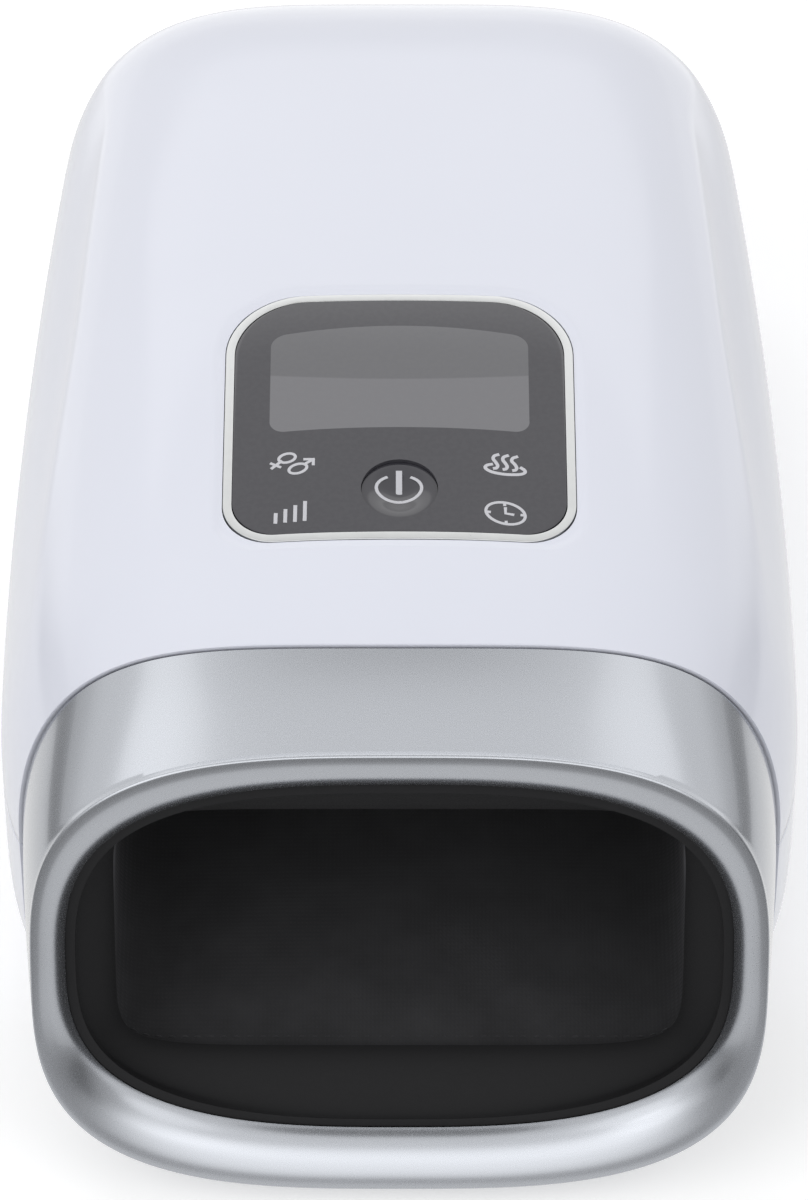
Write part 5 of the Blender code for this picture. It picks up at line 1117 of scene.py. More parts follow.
# The body's form
@dataclass(frozen=True)
class BodyForm:
    """The law of the housing's sections, with its main sizes read from the frame."""

    half_width_most: float
    seam_y: float
    back_y: float
    parting: float
    height: float = 0.116
    underside: float = 0.004
    wall: float = 0.0024
    gap: float = 0.0003
    widest_from_seam: float = 0.0308
    front_narrowing: float = 0.055
    rear_narrowing: float = 0.153
    front_drop: float = 0.0025
    rear_drop: float = 0.0272
    nose: float = 0.0404
    crown_power_across: float = 4.56
    crown_power_up: float = 2.27
    belly_power: float = 7.0
    front_width_power: float = 2.8
    front_drop_power: float = 2.2
    rear_width_power: float = 1.83
    rear_drop_power: float = 2.0
    nose_power_plan: float = 2.9
    nose_power_side: float = 3.0
    crease_front: float = math.radians(37)
    crease_middle: float = math.radians(49)
    crease_rear: float = math.radians(30)
    crease_bend_share: float = 0.75
    crease_end_share: float = 0.9
    crease_deep: float = 0.0018
    crease_length_power: float = 1.4
    crease_hollow_power: float = 2.6
    crease_draw_angle: float = math.radians(30)
    flank_share: float = 0.55

    @classmethod
    def from_frame(cls) -> "BodyForm":
        """Read the seam, the back, the width and the parting line from the frame."""
        low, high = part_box("upper_housing")
        return cls(high.x, low.y, high.y, (low.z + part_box("lower_housing")[1].z) / 2)

    def shares(self, y: np.ndarray) -> tuple[np.ndarray, np.ndarray]:
        """Return how far y lies behind and in front of the widest place, as shares.

        Args:
            y: Places along the body.

        Returns:
            The share behind and the share in front.
        """
        widest_y = self.seam_y + self.widest_from_seam
        rear = np.clip((y - widest_y) / (self.back_y - widest_y), 0, 1)
        return rear, np.clip((widest_y - y) / self.widest_from_seam, 0, 1)

    def half_width(self, y: np.ndarray) -> np.ndarray:
        """Return half the body's width at y.

        Args:
            y: Places along the body.

        Returns:
            The half width at each place.
        """
        rear, front = self.shares(y)
        return self.half_width_most * (
            1 - self.rear_narrowing * rear ** self.rear_width_power
            - self.front_narrowing * front ** self.front_width_power)

    def crown(self, y: np.ndarray) -> np.ndarray:
        """Return the height of the top's centre line at y.

        Args:
            y: Places along the body.

        Returns:
            The height at each place.
        """
        rear, front = self.shares(y)
        return (self.height - self.rear_drop * rear ** self.rear_drop_power
                - self.front_drop * front ** self.front_drop_power)

    def crease(self, y: np.ndarray) -> tuple[np.ndarray, np.ndarray]:
        """Return the angle and the depth of the shoulder crease at y.

        Args:
            y: Places along the body.

        Returns:
            The angle and the depth at each place.
        """
        share = (y - self.seam_y) / (self.back_y - self.seam_y)
        fall = smooth_step((share - self.crease_bend_share) / (1 - self.crease_bend_share))
        angle = (self.crease_front
                 + (self.crease_middle - self.crease_front) * smooth_step(share * 2)
                 + (self.crease_rear - self.crease_middle) * fall)
        reach = np.clip(share / self.crease_end_share, 0, 1)
        depth = self.crease_deep * np.sin(math.pi * reach ** self.crease_length_power)
        return angle, np.maximum(depth, 0)

    def top(self, x: np.ndarray, y: np.ndarray) -> np.ndarray:
        """Return the height of the crown over a place in plan, away from the creases.

        Args:
            x: Places across the body.
            y: Places along the body.

        Returns:
            The height at each place.
        """
        share = np.clip(np.abs(x) / self.half_width(y), 0, 1)
        rise = np.sqrt(1 - share ** self.crown_power_across)
        return self.parting + (self.crown(y) - self.parting) * rise ** (2 / self.crown_power_up)

    def stations(self, straight: np.ndarray,
                 nose_steps: int = 30) -> tuple[np.ndarray, np.ndarray, np.ndarray]:
        """Return y and the shares of width and height left at each section.

        Args:
            straight: The y of the sections from the seam to where the nose starts.
            nose_steps: Number of sections round the nose.

        Returns:
            The y, the share of the width and the share of the height.
        """
        plan = np.cos(np.linspace(0, math.pi / 2, nose_steps + 1)[1:])
        plan[-1] = 0.0
        reach = (1 - plan ** self.nose_power_plan) ** (1 / self.nose_power_plan)
        side = np.clip(1 - reach ** self.nose_power_side, 0, 1) ** (1 / self.nose_power_side)
        ones = np.ones_like(straight)
        y = np.concatenate([straight, self.back_y - self.nose + self.nose * reach])
        return y, np.concatenate([ones, plan]), np.concatenate([ones, side])

    def crown_rows(self, y: np.ndarray, plan: np.ndarray, side: np.ndarray,
                   levels: np.ndarray, side_steps: int = 22) -> np.ndarray:
        """Return the rows of points of the upper surface, right to left.

        Args:
            y: The y of each section.
            plan: The share of the width left at each section.
            side: The share of the height left at each section.
            levels: Shares of the half width, falling from the crease (1) to the
                middle (0), where the crown has its points.
            side_steps: Number of points below the crease.

        Returns:
            An array of (section, point, 3).
        """
        crease, depth = [value[:, None] for value in self.crease(y)]
        low = np.arcsin(np.sin(crease) * np.linspace(0, 1, side_steps, endpoint=False))
        edge = np.cos(crease) ** (2 / self.crown_power_across)
        start = self.flank_share
        blend = np.clip((levels - start) / (1 - start), 0, 1)
        share = np.where(levels > start, start + (edge - start) * blend, levels)
        high = np.arccos(np.clip(share ** (self.crown_power_across / 2), 0, 1))
        right = np.concatenate([low, high], axis=1)
        angles = np.concatenate([right, math.pi - right[:, -2::-1]], axis=1)
        across = np.cos(angles)
        width = (self.half_width(y) * plan)[:, None]
        rise = ((self.crown(y) - self.parting) * side)[:, None]
        x = width * np.sign(across) * np.abs(across) ** (2 / self.crown_power_across)
        z = self.parting + rise * np.clip(np.sin(angles), 0, 1) ** (2 / self.crown_power_up)
        below = np.minimum(angles, math.pi - angles) / crease
        draw = np.where(below < 1, depth * np.sin(
            math.pi * np.clip(below, 0, 1) ** self.crease_hollow_power), 0)
        x -= np.sign(across) * draw * math.cos(self.crease_draw_angle)
        z -= draw * math.sin(self.crease_draw_angle)
        return np.stack(np.broadcast_arrays(x, y[:, None], z), axis=-1)

    def belly_rows(self, y: np.ndarray, plan: np.ndarray, side: np.ndarray) -> np.ndarray:
        """Return the rows of points of the lower surface, left to right.

        Args:
            y: The places of the sections.
            plan: The share of the half width at each.
            side: The share of the depth at each.

        Returns:
            The points by section, left to right.
        """
        turn = np.linspace(math.pi, 2 * math.pi, 120)
        across, up = unit_outline(turn, self.belly_power, self.belly_power).T
        x = (self.half_width(y) * plan)[:, None] * across
        z = self.parting + ((self.parting - self.underside) * side)[:, None] * up
        return np.stack(np.broadcast_arrays(x, y[:, None], z), axis=-1)

    def ring(self, y: float, inset: float, angles: np.ndarray) -> np.ndarray:
        """Return a whole section without its creases, in the directions of some angles.

        Args:
            y: The section's place.
            inset: How far it lies inside the shell's surface.
            angles: The directions of its points.

        Returns:
            The section's points as rows.
        """
        upper = unit_outline(angles, self.crown_power_across, self.crown_power_up)
        lower = unit_outline(angles, self.belly_power, self.belly_power)
        is_up = np.sin(angles) >= 0
        across, up = np.where(is_up[:, None], upper, lower).T
        reach = np.where(is_up, self.crown(y) - self.parting, self.parting - self.underside)
        return np.column_stack([(self.half_width(y) - inset) * across,
                                np.full(len(angles), y), self.parting + (reach - inset) * up])


@dataclass(frozen=True)
class PanelForm:
    """The outline of the control panel and the surface that it follows."""

    body: BodyForm
    front_from_seam: float = 0.0236
    length: float = 0.067
    half_width: float = 0.0345
    front_corner: float = 0.010
    rear_corner: float = 0.0155
    bow: float = 0.0014
    sink: float = 0.0003

    @property
    def front_y(self) -> float:
        """The y of the panel's front edge before its bow."""
        return self.body.seam_y + self.front_from_seam

    def outline(self, margin: float, steps: int = 14) -> list[Pair]:
        """Return the outline drawn in by a margin, counter-clockwise seen from above.

        Args:
            margin: How far it is drawn in.
            steps: The number of steps in each corner and side.

        Returns:
            The outline's points.
        """
        half, front, rear = self.half_width - margin, margin, self.length - margin
        near, far = self.front_corner - margin / 2, self.rear_corner - margin / 2
        turn = [math.pi / 2 * index / steps for index in range(steps + 1)]
        share = [index / steps for index in range(1, steps)]
        right = [((half - near) * part, front) for part in (0.0, *share)]
        right += [(half - near + near * math.sin(a), front + near - near * math.cos(a))
                  for a in turn]
        right += [(half, front + near + (rear - far - front - near) * part) for part in share]
        right += [(half - far + far * math.cos(a), rear - far + far * math.sin(a)) for a in turn]
        right += [((half - far) * (1 - part), rear) for part in share]
        whole = right + [(0.0, rear)] + [(-x, y) for x, y in reversed(right) if x > 0]
        return [(x, self.front_y + y + self.bow * (1 - (x / half) ** 2)) for x, y in whole]

    def distance(self, x: np.ndarray, y: np.ndarray) -> np.ndarray:
        """Return how far a place lies outside the outline, less than 0 inside it.

        Args:
            x: Places across the panel.
            y: Places along it.

        Returns:
            The distance of each place.
        """
        along = y - self.front_y - self.bow * (1 - (x / self.half_width) ** 2)
        corner = np.where(along < self.length / 2, self.front_corner, self.rear_corner)
        out_x = np.abs(x) - (self.half_width - corner)
        out_y = np.abs(along - self.length / 2) - (self.length / 2 - corner)
        outside = np.hypot(np.maximum(out_x, 0), np.maximum(out_y, 0))
        return outside + np.minimum(np.maximum(out_x, out_y), 0) - corner

    def front_corner_share(self, x: np.ndarray, y: np.ndarray) -> np.ndarray:
        """Return 1 outwards from the middle of a front corner, falling to 0 at its ends.

        Args:
            x: Places across the panel.
            y: Places along it.

        Returns:
            The share at each place.
        """
        out_x = np.maximum(np.abs(x) - (self.half_width - self.front_corner), 0)
        out_y = np.maximum(self.front_y + self.front_corner - y, 0)
        share = 2 * out_x * out_y / np.maximum(out_x ** 2 + out_y ** 2, TINY)
        return smooth_step(share * 1.3 - 0.3)

    def surface(self, x: np.ndarray, y: np.ndarray) -> np.ndarray:
        """Return the height of the panel's face over a place in plan."""
        return self.body.top(x, y) - self.sink

    def slope(self) -> float:
        """Return the angle of the panel's slope about X."""
        front, rear = self.body.crown(np.array((self.front_y, self.front_y + self.length)))
        return -math.atan2(front - rear, self.length)

    def key_place(self, from_front: float) -> Matrix:
        """Return the place of the key, square to the panel's slope.

        Args:
            from_front: The key's distance from the panel's front edge.

        Returns:
            The place as a matrix.
        """
        start = Vector((0, self.front_y, float(self.body.crown(self.front_y)) - self.sink))
        return (Matrix.Translation(start) @ Matrix.Rotation(self.slope(), 4, "X")
                @ Matrix.Translation((0, from_front, 0)))


def spread(marks: Sequence[Pair], end: float) -> np.ndarray:
    """Return rising values from (start, spacing) marks up to an end.

    Args:
        marks: Each start with the spacing that holds from there on.
        end: Where the values end.

    Returns:
        The values in rising order.
    """
    values: list[float] = []
    for (start, spacing), stop in zip(marks, [mark[0] for mark in marks[1:]] + [end]):
        count = max(1, round((stop - start) / spacing))
        values += np.linspace(start, stop, count, endpoint=False).tolist()
    return np.array(values + [end])


@dataclass
class Housing:
    """The two white shells, with the panel's opening, screw wells, feet and inlet slot."""

    body: BodyForm
    panel: PanelForm
    lip_depth: float = 0.0005
    lip_width: float = 0.0024
    corner_seat: float = 0.0011
    edge_radius: float = 0.0005
    coarse: float = 0.0016
    fine: float = 0.0005
    band: float = 0.0042
    well_radius: float = 0.0028
    well_rise: float = 0.0002
    foot_radius: float = 0.0083
    cutter_start: float = -0.001
    inlet_size: Pair = (0.0096, 0.0039)
    inlet_reach: float = 0.006

    def straight(self) -> np.ndarray:
        """Return the y of the sections, closer together at the panel's ends.

        Returns:
            The places of the sections.
        """
        front = self.panel.front_y
        rear = front + self.panel.length
        seam = self.body.seam_y
        return spread([(seam, self.fine), (seam + self.band / 2, self.coarse),
                       (front - self.band, self.fine), (front + self.band, self.coarse),
                       (rear - self.band, self.fine), (rear + self.band, self.coarse)],
                      self.body.back_y - self.body.nose)

    def shell(self, name: str, rows: np.ndarray, edge: float, limit: np.ufunc) -> Object:
        """Build a shell whose edge is cut level.

        Args:
            name: Name of the shell.
            rows: Points of its outer face.
            edge: Height of its edge.
            limit: Function that keeps heights above or below the edge.

        Returns:
            The shell.
        """
        inner = offset(rows, self.body.wall)
        for grid in (rows, inner):
            grid[..., 2] = limit(grid[..., 2], edge)
            grid[:, [0, -1], 2] = edge
        shell = wall_piece(name, rows, inner)
        soften(shell, self.edge_radius)
        return settle(shell)

    def upper(self) -> Object:
        """Build the upper shell, dished round the panel and open under it.

        Returns:
            The upper shell.
        """
        body = self.body
        levels = np.concatenate([np.linspace(1, 0.56, 24, endpoint=False),
                                 np.linspace(0.56, 0.34, 40, endpoint=False),
                                 np.linspace(0.34, 0, 20, endpoint=False), [0.0]])
        rows = body.crown_rows(*body.stations(self.straight()), levels)
        x, y, z = np.moveaxis(rows, -1, 0)
        far = self.panel.distance(x, y) - self.corner_seat * self.panel.front_corner_share(x, y)
        dish = self.lip_depth * (1 - smooth_step(far / self.lip_width))
        rows[..., 2] -= np.where(z > (body.parting + body.height) / 2, dish, 0)
        shell = self.shell("upper_shell", rows, body.parting + body.gap / 2, np.maximum)
        return cut(shell, [prism("panel_opening", self.panel.outline(-body.gap / 2),
                                 body.parting + body.wall, body.height * 2)])

    def lower(self) -> Object:
        """Build the lower shell with its wells, foot recesses and inlet slot.

        Returns:
            The lower shell.
        """
        rows = self.body.belly_rows(*self.body.stations(self.straight()))
        shell = self.shell("lower_shell", rows, self.body.parting - self.body.gap / 2, np.minimum)
        cutters = []
        for label in CORNERS:
            screw, foot = "case_screw_" + label, "foot_" + label
            for node, radius, top in (
                    (screw, self.well_radius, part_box(screw)[0].z + self.well_rise),
                    (foot, self.foot_radius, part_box(foot)[1].z + self.body.gap)):
                outline = round_outline(radius, middle_of(node))
                cutters.append(prism("well", outline, self.cutter_start, top))
        place = Matrix.Translation((0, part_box("charge_inlet")[1].y, middle_of("charge_inlet").z))
        cutters.append(prism("inlet_slot", slot_outline(*self.inlet_size), -self.inlet_reach,
                             self.inlet_reach, place @ LYING))
        return cut(shell, cutters)

    def build(self) -> None:
        """Build and dress both shells."""
        dress(self.upper(), Finishes.WHITE_SHELL, stands_for=["upper_housing"])
        dress(self.lower(), Finishes.WHITE_SHELL, stands_for=["lower_housing"])


@dataclass
class Collar:
    """The silver collar with its rolled rim, and the black ring inside it."""

    body: BodyForm
    half_width: float = 0.0717
    half_height: float = 0.050524
    centre_height: float = 0.0549
    tilt: float = math.radians(18.9)
    rim_power: float = 3.1
    lip_power: float = 2.85
    lip_side: float = 0.0062
    lip_top: float = 0.0095
    lip_bottom: float = 0.0106
    rim_from_front: float = 0.016583
    lip_recess: float = 0.004
    lip_land: float = 0.0016
    wall: float = 0.0018
    spigot: float = 0.008
    inset: float = 0.0008
    band_steps: int = 26
    band_bulge: float = 0.0004
    ring_depth: float = 0.012
    ring_wall: float = 0.002
    ring_power: float = 7.0
    ring_rows: int = 14
    above_floor: float = 0.0009
    from_side: float = 0.001
    facets: int = 320
    roll: tuple[Pair, ...] = (
        (-0.075, 0.0014), (-0.0603, 0.00035), (-0.0525, 0.000237), (-0.043, 0.00015),
        (-0.0317, 0.000083), (-0.0194, 0.00004), (-0.004, 0.000022), (0.035, 0.00002),
        (0.11, 0.0001), (0.22, 0.0003), (0.37, 0.00075), (0.54, 0.0014),
        (0.70, 0.0023), (0.83, 0.0033), (0.92, 0.0043), (0.98, 0.0052))

    def __post_init__(self) -> None:
        """Find the rim's place, its points' directions and the mouth's start once."""
        self.rim_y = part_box("front_collar")[0].y + self.rim_from_front
        self.angles = np.linspace(0, 2 * math.pi, self.facets, endpoint=False)
        self.mouth_start = self.lip_recess + self.lip_land + self.body.gap

    def ring(self, across: float, up: Pair, depth: float, power: float) -> np.ndarray:
        """Return one ring in a plane parallel to the rim, from its reaches up and down.

        Args:
            across: The reach to each side.
            up: The reaches above and below the centre.
            depth: The ring's distance behind the rim.
            power: The power of its superellipse.

        Returns:
            The ring's points as rows.
        """
        unit = unit_outline(self.angles, power, power)
        rise = np.where(unit[:, 1] > 0, *up) * unit[:, 1]
        y = self.rim_y + rise * math.sin(self.tilt) + depth * math.cos(self.tilt)
        z = self.centre_height + rise * math.cos(self.tilt) - depth * math.sin(self.tilt)
        return np.column_stack([across * unit[:, 0], y, z])

    def rim_rows(self) -> np.ndarray:
        """Return the rows of the rim from the band to the opening's land.

        The roll's points are shares of the lip's width and depths.

        Returns:
            The rows, each with its points.
        """
        rows = []
        for share, depth in [*through(self.roll, 3), (1.0, self.lip_recess + self.lip_land)]:
            power = self.rim_power + (self.lip_power - self.rim_power) * max(0.0, share)
            up = (self.half_height - self.lip_top * share,
                  self.half_height - self.lip_bottom * share)
            rows.append(self.ring(self.half_width - self.lip_side * share, up, depth, power))
        return np.array(rows)

    def collar(self) -> Object:
        """Build the collar: its spigot, the sloping band and the rolled rim.

        Returns:
            The collar.
        """
        body, angles = self.body, self.angles
        seat = body.wall + 2 * body.gap
        rows = [body.ring(body.seam_y + self.spigot, seat, angles),
                body.ring(body.seam_y, seat, angles) - (0, body.gap, 0)]
        edge = body.ring(body.seam_y, self.inset, angles)
        edge[:, 1] = body.seam_y - body.gap
        rim = self.rim_rows()
        away = edge - edge.mean(axis=0)
        away[:, 1] = 0
        away /= np.linalg.norm(away, axis=1)[:, None]
        for share in np.linspace(0, 1, self.band_steps, endpoint=False):
            swell = self.band_bulge * math.sin(math.pi * share)
            rows.append(edge + (rim[0] - edge) * share + away * swell)
        item = surface_piece("collar_moulding", np.array([*rows, *rim]), wrap=True)
        wall(item, self.wall)
        return settle(item, 40)

    def mouth(self) -> Object:
        """Build the black ring that leads into the lined tunnel.

        Returns:
            The mouth ring.
        """
        low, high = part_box("liner")
        rear = self.mouth_start + self.ring_depth
        drop = (self.centre_height - rear * math.sin(self.tilt) - low.z
                - self.above_floor) / math.cos(self.tilt)
        start = np.array((self.half_width - self.lip_side, self.half_height - self.lip_top,
                          self.half_height - self.lip_bottom, self.lip_power))
        end = np.array((high.x - self.from_side, drop, drop, self.ring_power))
        rows = []
        for share in np.linspace(0, 1, self.ring_rows):
            across, top, bottom, power = start + (end - start) * smooth_step(share)
            depth = self.mouth_start + self.ring_depth * share
            rows.append(self.ring(across, (top, bottom), depth, power))
        item = surface_piece("mouth_funnel", np.array(rows), wrap=True)
        wall(item, self.ring_wall, inward=False)
        return settle(item, 40)

    def build(self) -> None:
        """Build and dress both pieces."""
        dress(self.collar(), Finishes.SILVER_COLLAR, stands_for=["front_collar"])
        dress(self.mouth(), Finishes.MOUTH_PLASTIC, stands_for=["mouth_ring"])


@dataclass(frozen=True)
class Stroke:
    """A printed line in millimetres from the panel's middle and front edge."""

    points: tuple[Pair, ...]
    closed: bool = False
    smooth: int = 1

    def line(self) -> list[Pair]:
        """Return the line's points, smoothed where it is a curve.

        Returns:
            The points in order.
        """
        if self.smooth == 1:
            return list(self.points)
        return [tuple(point) for point in through(self.points, self.smooth)]


def oval(centre: Pair, across: Pair, up: Pair, start: float = 0.0, stop: float = 360.0) -> Stroke:
    """Return an oval from its middle and the ends of its two half axes.

    Args:
        centre: Middle of the oval.
        across: Half axis across, from the middle.
        up: Half axis up, from the middle.
        start: Angle where an open oval starts, in degrees.
        stop: Angle where it stops.

    Returns:
        The oval as a stroke, closed when it goes all the way round.
    """
    whole = stop - start >= 360
    turn = np.radians(np.linspace(start, stop, 48, endpoint=not whole))[:, None]
    points = np.array(centre) + np.array(across) * np.cos(turn) + np.array(up) * np.sin(turn)
    return Stroke(tuple(map(tuple, points.tolist())), whole)


def dashes(*points: Pair) -> tuple[Stroke, ...]:
    """Return a straight stroke between each pair of points."""
    return tuple(Stroke(pair) for pair in zip(points[::2], points[1::2]))


def waves(*lines: tuple[Pair, ...]) -> tuple[Stroke, ...]:
    """Return smooth strokes through lines of points."""
    return tuple(Stroke(line, smooth=6) for line in lines)


@dataclass(frozen=True)
class Symbols:
    """The strokes of every printed symbol."""

    user: tuple[Stroke, ...] = (
        oval((-22.04, 22.25), (1.6, 0.16), (0.24, 1.2)),
        oval((-19.9, 19.44), (1.72, 0.24), (0.3, 1.27)),
        *dashes((-25.1, 20.8), (-23.45, 19.9), (-24.95, 19.6), (-23.2, 21.35),
                (-18.6, 20.6), (-16.95, 21.85), (-18.55, 21.9), (-16.9, 21.9),
                (-16.9, 21.9), (-16.9, 20.6)))
    level: tuple[Stroke, ...] = dashes(
        (-24.14, 5.55), (-24.09, 7.5), (-22.25, 5.8), (-22.21, 8.5),
        (-20.34, 5.95), (-20.3, 9.5), (-18.45, 6.2), (-18.41, 10.55))
    heat: tuple[Stroke, ...] = waves(
        ((19.25, 23.1), (18.6, 22.8), (18.36, 22.05), (18.88, 21.06), (19.23, 20.2),
         (19.0, 19.6), (18.65, 19.5)),
        ((21.12, 22.85), (20.44, 22.5), (20.25, 21.74), (20.75, 20.81), (21.09, 19.98),
         (20.87, 19.35), (20.53, 19.25)),
        ((22.92, 22.55), (22.22, 22.2), (22.0, 21.43), (22.59, 20.55), (22.94, 19.67),
         (22.74, 19.1), (22.4, 18.98)),
        ((17.96, 20.55), (17.24, 20.36), (16.78, 19.87), (17.1, 19.2), (18.2, 18.5),
         (19.83, 18.05), (21.45, 17.85), (23.2, 17.88), (24.2, 18.12), (24.6, 18.61),
         (24.4, 19.15), (23.86, 19.6)))
    timer: tuple[Stroke, ...] = (
        oval((20.65, 7.78), (3.81, -0.52), (-0.32, 2.78)),
        Stroke(((20.64, 9.05), (20.66, 7.75), (22.05, 7.46))),
        *dashes((20.5, 10.3), (20.5, 9.95), (17.1, 8.16), (17.5, 8.12),
                (23.85, 7.35), (24.2, 7.3), (20.75, 5.55), (20.77, 5.2)))
    power: tuple[Stroke, ...] = (
        oval((-0.1, 1.15), (4.62, 0.0), (0.0, 3.45), 127, 413),
        *dashes((-0.1, 0.5), (-0.1, 4.9)))


SYMBOLS = Symbols()


@dataclass
class ControlPanel:
    """The smoked glass, its bright frame, the printed symbols and the round key."""

    panel: PanelForm
    thickness: float = 0.0012
    trim_width: float = 0.0018
    trim_rise: float = 0.00005
    trim_corner: float = 0.0002
    trim_fall: float = math.radians(3)
    seam: float = 0.00003
    glass_edge: float = 0.0001
    glass_step: float = 0.001
    hole_reach: float = 0.01
    key_from_front: float = 0.0143
    key_radius: float = 0.0075
    key_dish: float = 0.0016
    key_gap: float = 0.00003
    key_edge: float = 0.00006
    flange: Pair = (0.0012, 0.0008)
    stem: Pair = (0.0022, 0.0021)
    line: float = 0.0006
    bar: float = 0.00074
    power_line: float = 0.00102
    ink: float = 0.00004
    heat_weight: float = 1.15
    stem_weight: float = 1.2

    def __post_init__(self) -> None:
        """Find the key's place once."""
        self.key_place = self.panel.key_place(self.key_from_front)

    def glass(self) -> Object:
        """Build the crowned glass with the hole for the key.

        Returns:
            The glass.
        """
        margin = self.trim_width + self.seam
        half = [(x, y) for x, y in self.panel.outline(margin) if x >= 0]
        right = sorted(half[1:-1], key=lambda point: point[1])
        straightened = [(x, y - self.bow_at(x, margin)) for x, y in right]
        rows = []
        for level in sorted({round(y, 6) for _, y in straightened}):
            reach = max(x for x, y in straightened if abs(y - level) < 2 * MERGE)
            x = np.linspace(-1, 1, 96) * reach
            y = level + self.bow_at(x, margin)
            rows.append(np.column_stack([x, y, self.panel.surface(x, y)]))
        glass = surface_piece("panel_glass", self.dense(np.array(rows)))
        wall(glass, self.thickness)
        soften(glass, self.glass_edge)
        settle(glass)
        ring = round_outline(self.key_radius + self.key_gap, steps=96)
        return cut(glass, [prism("key_hole", ring, -self.hole_reach, self.hole_reach,
                                 self.key_place)])

    def bow_at(self, x: np.ndarray | float, margin: float) -> np.ndarray | float:
        """Return how far the outline's bow moves a place back."""
        return self.panel.bow * (1 - (x / (self.panel.half_width - margin)) ** 2)

    def dense(self, rows: np.ndarray) -> np.ndarray:
        """Return the rows with even steps between them, laid on the panel's surface.

        Args:
            rows: Rows of points across the panel.

        Returns:
            The rows with more points.
        """
        made = []
        for near, far in zip(rows, rows[1:]):
            count = max(1, round(abs(far[0, 1] - near[0, 1]) / self.glass_step))
            for share in np.linspace(0, 1, count, endpoint=False):
                row = near + (far - near) * share
                row[:, 2] = self.panel.surface(row[:, 0], row[:, 1])
                made.append(row)
        return np.array([*made, rows[-1]])

    def trim(self) -> Object:
        """Sweep the bright frame along the panel's outline.

        Returns:
            The frame.
        """
        tree = Tree("bright_frame", Width=self.trim_width, Height=self.thickness,
                    Corner=self.trim_corner, Fall=self.trim_fall)
        size = tree.size
        lean = tree.add("GeometryNodeSetCurveTilt", {
            "Curve": tree.upright_path(), "Tilt": size["Fall"]})
        bar = tree.add("GeometryNodeFilletCurve", {
            "Curve": tree.oblong(size["Width"], size["Height"]), "Count": 4,
            "Radius": size["Corner"]}, mode="POLY")
        tree.close(tree.swept(lean.outputs[0], bar.outputs[0], caps=False), Finishes.BRIGHT_TRIM)
        points = [(x, y, float(self.panel.surface(x, y)) + self.trim_rise
                   - self.thickness / 2)
                  for x, y in self.panel.outline(self.trim_width / 2, 24)]
        return tree.grow("panel_frame", path_curve("frame_path", [points], True), 50)

    def key_height(self, radius: np.ndarray | float) -> np.ndarray | float:
        """Return the height of the key's dish at a radius, below the panel's plane."""
        share = np.clip(radius / self.key_radius, 0, 1)
        return -self.key_dish * (1 + np.cos(math.pi * share)) / 2

    def key(self) -> Object:
        """Turn the dished key with its flange and stem.

        Returns:
            The key.
        """
        radii = (self.key_radius - self.key_edge) * np.array([0.0, *np.linspace(0.06, 1, 28)])
        profile = [(radius, float(self.key_height(radius))) for radius in radii]
        top = -self.thickness - self.panel.body.gap
        wide, thick = self.flange
        narrow, deep = self.stem
        profile += [(self.key_radius, -self.key_edge), (self.key_radius, top),
                    (self.key_radius + wide, top), (self.key_radius + wide, top - thick),
                    (narrow, top - thick), (narrow, top - deep), (0.0, top - deep)]
        return lathe("key_cap", profile, self.key_place, 96)

    def symbols(self) -> None:
        """Print the symbols for user, level, heat and timer, and the key's own sign."""
        tree = Tree("printed_stroke", Line=self.line, Ink=self.ink)
        bar = tree.oblong(tree.size["Line"], tree.size["Ink"])
        tree.close(tree.swept(tree.upright_path(), bar), Finishes.PRINT)
        signs = []
        for name, strokes, width in (("user_sign", SYMBOLS.user, self.line),
                                     ("level_sign", SYMBOLS.level, self.bar),
                                     ("heat_sign", SYMBOLS.heat, self.line * self.heat_weight),
                                     ("timer_sign", SYMBOLS.timer, self.line)):
            for closed, part in ((False, "_lines"), (True, "_rings")):
                lines = [self.on_glass(stroke) for stroke in strokes if stroke.closed == closed]
                if lines:
                    signs.append((name + part, lines, width, closed, "housing"))
        ring, stem = [[self.on_key(stroke)] for stroke in SYMBOLS.power]
        signs.append(("power_ring", ring, self.power_line, False, "power_key"))
        signs.append(("power_stem", stem, self.power_line * self.stem_weight, False, "power_key"))
        for name, lines, width, closed, body in signs:
            curve = path_curve(name + "_path", lines, closed, width / 2)
            dress(tree.grow(name, curve, Line=width), Finishes.PRINT, body=body)

    def on_glass(self, stroke: Stroke) -> list[Triple]:
        """Lay a stroke on the glass."""
        places = [(x / 1000, self.panel.front_y + y / 1000) for x, y in stroke.line()]
        return [(x, y, float(self.panel.surface(x, y)) + self.ink / 2) for x, y in places]

    def on_key(self, stroke: Stroke) -> list[Triple]:
        """Lay a stroke on the key's dish, about its middle.

        Args:
            stroke: The stroke to lay.

        Returns:
            The stroke's points on the dish.
        """
        places = [(x / 1000, y / 1000) for x, y in stroke.line()]
        return [tuple(self.key_place @ Vector((x, y, float(self.key_height(math.hypot(x, y)))
                                               + self.ink / 2))) for x, y in places]

    def build(self) -> None:
        """Build and dress the panel and its key."""
        dress(self.glass(), Finishes.PANEL_GLASS, stands_for=["panel_lens"])
        dress(self.trim(), Finishes.BRIGHT_TRIM, stands_for=["panel_trim"])
        dress(self.key(), Finishes.KEY_GLOSS, body="power_key", stands_for=["power_key"])
        self.symbols()


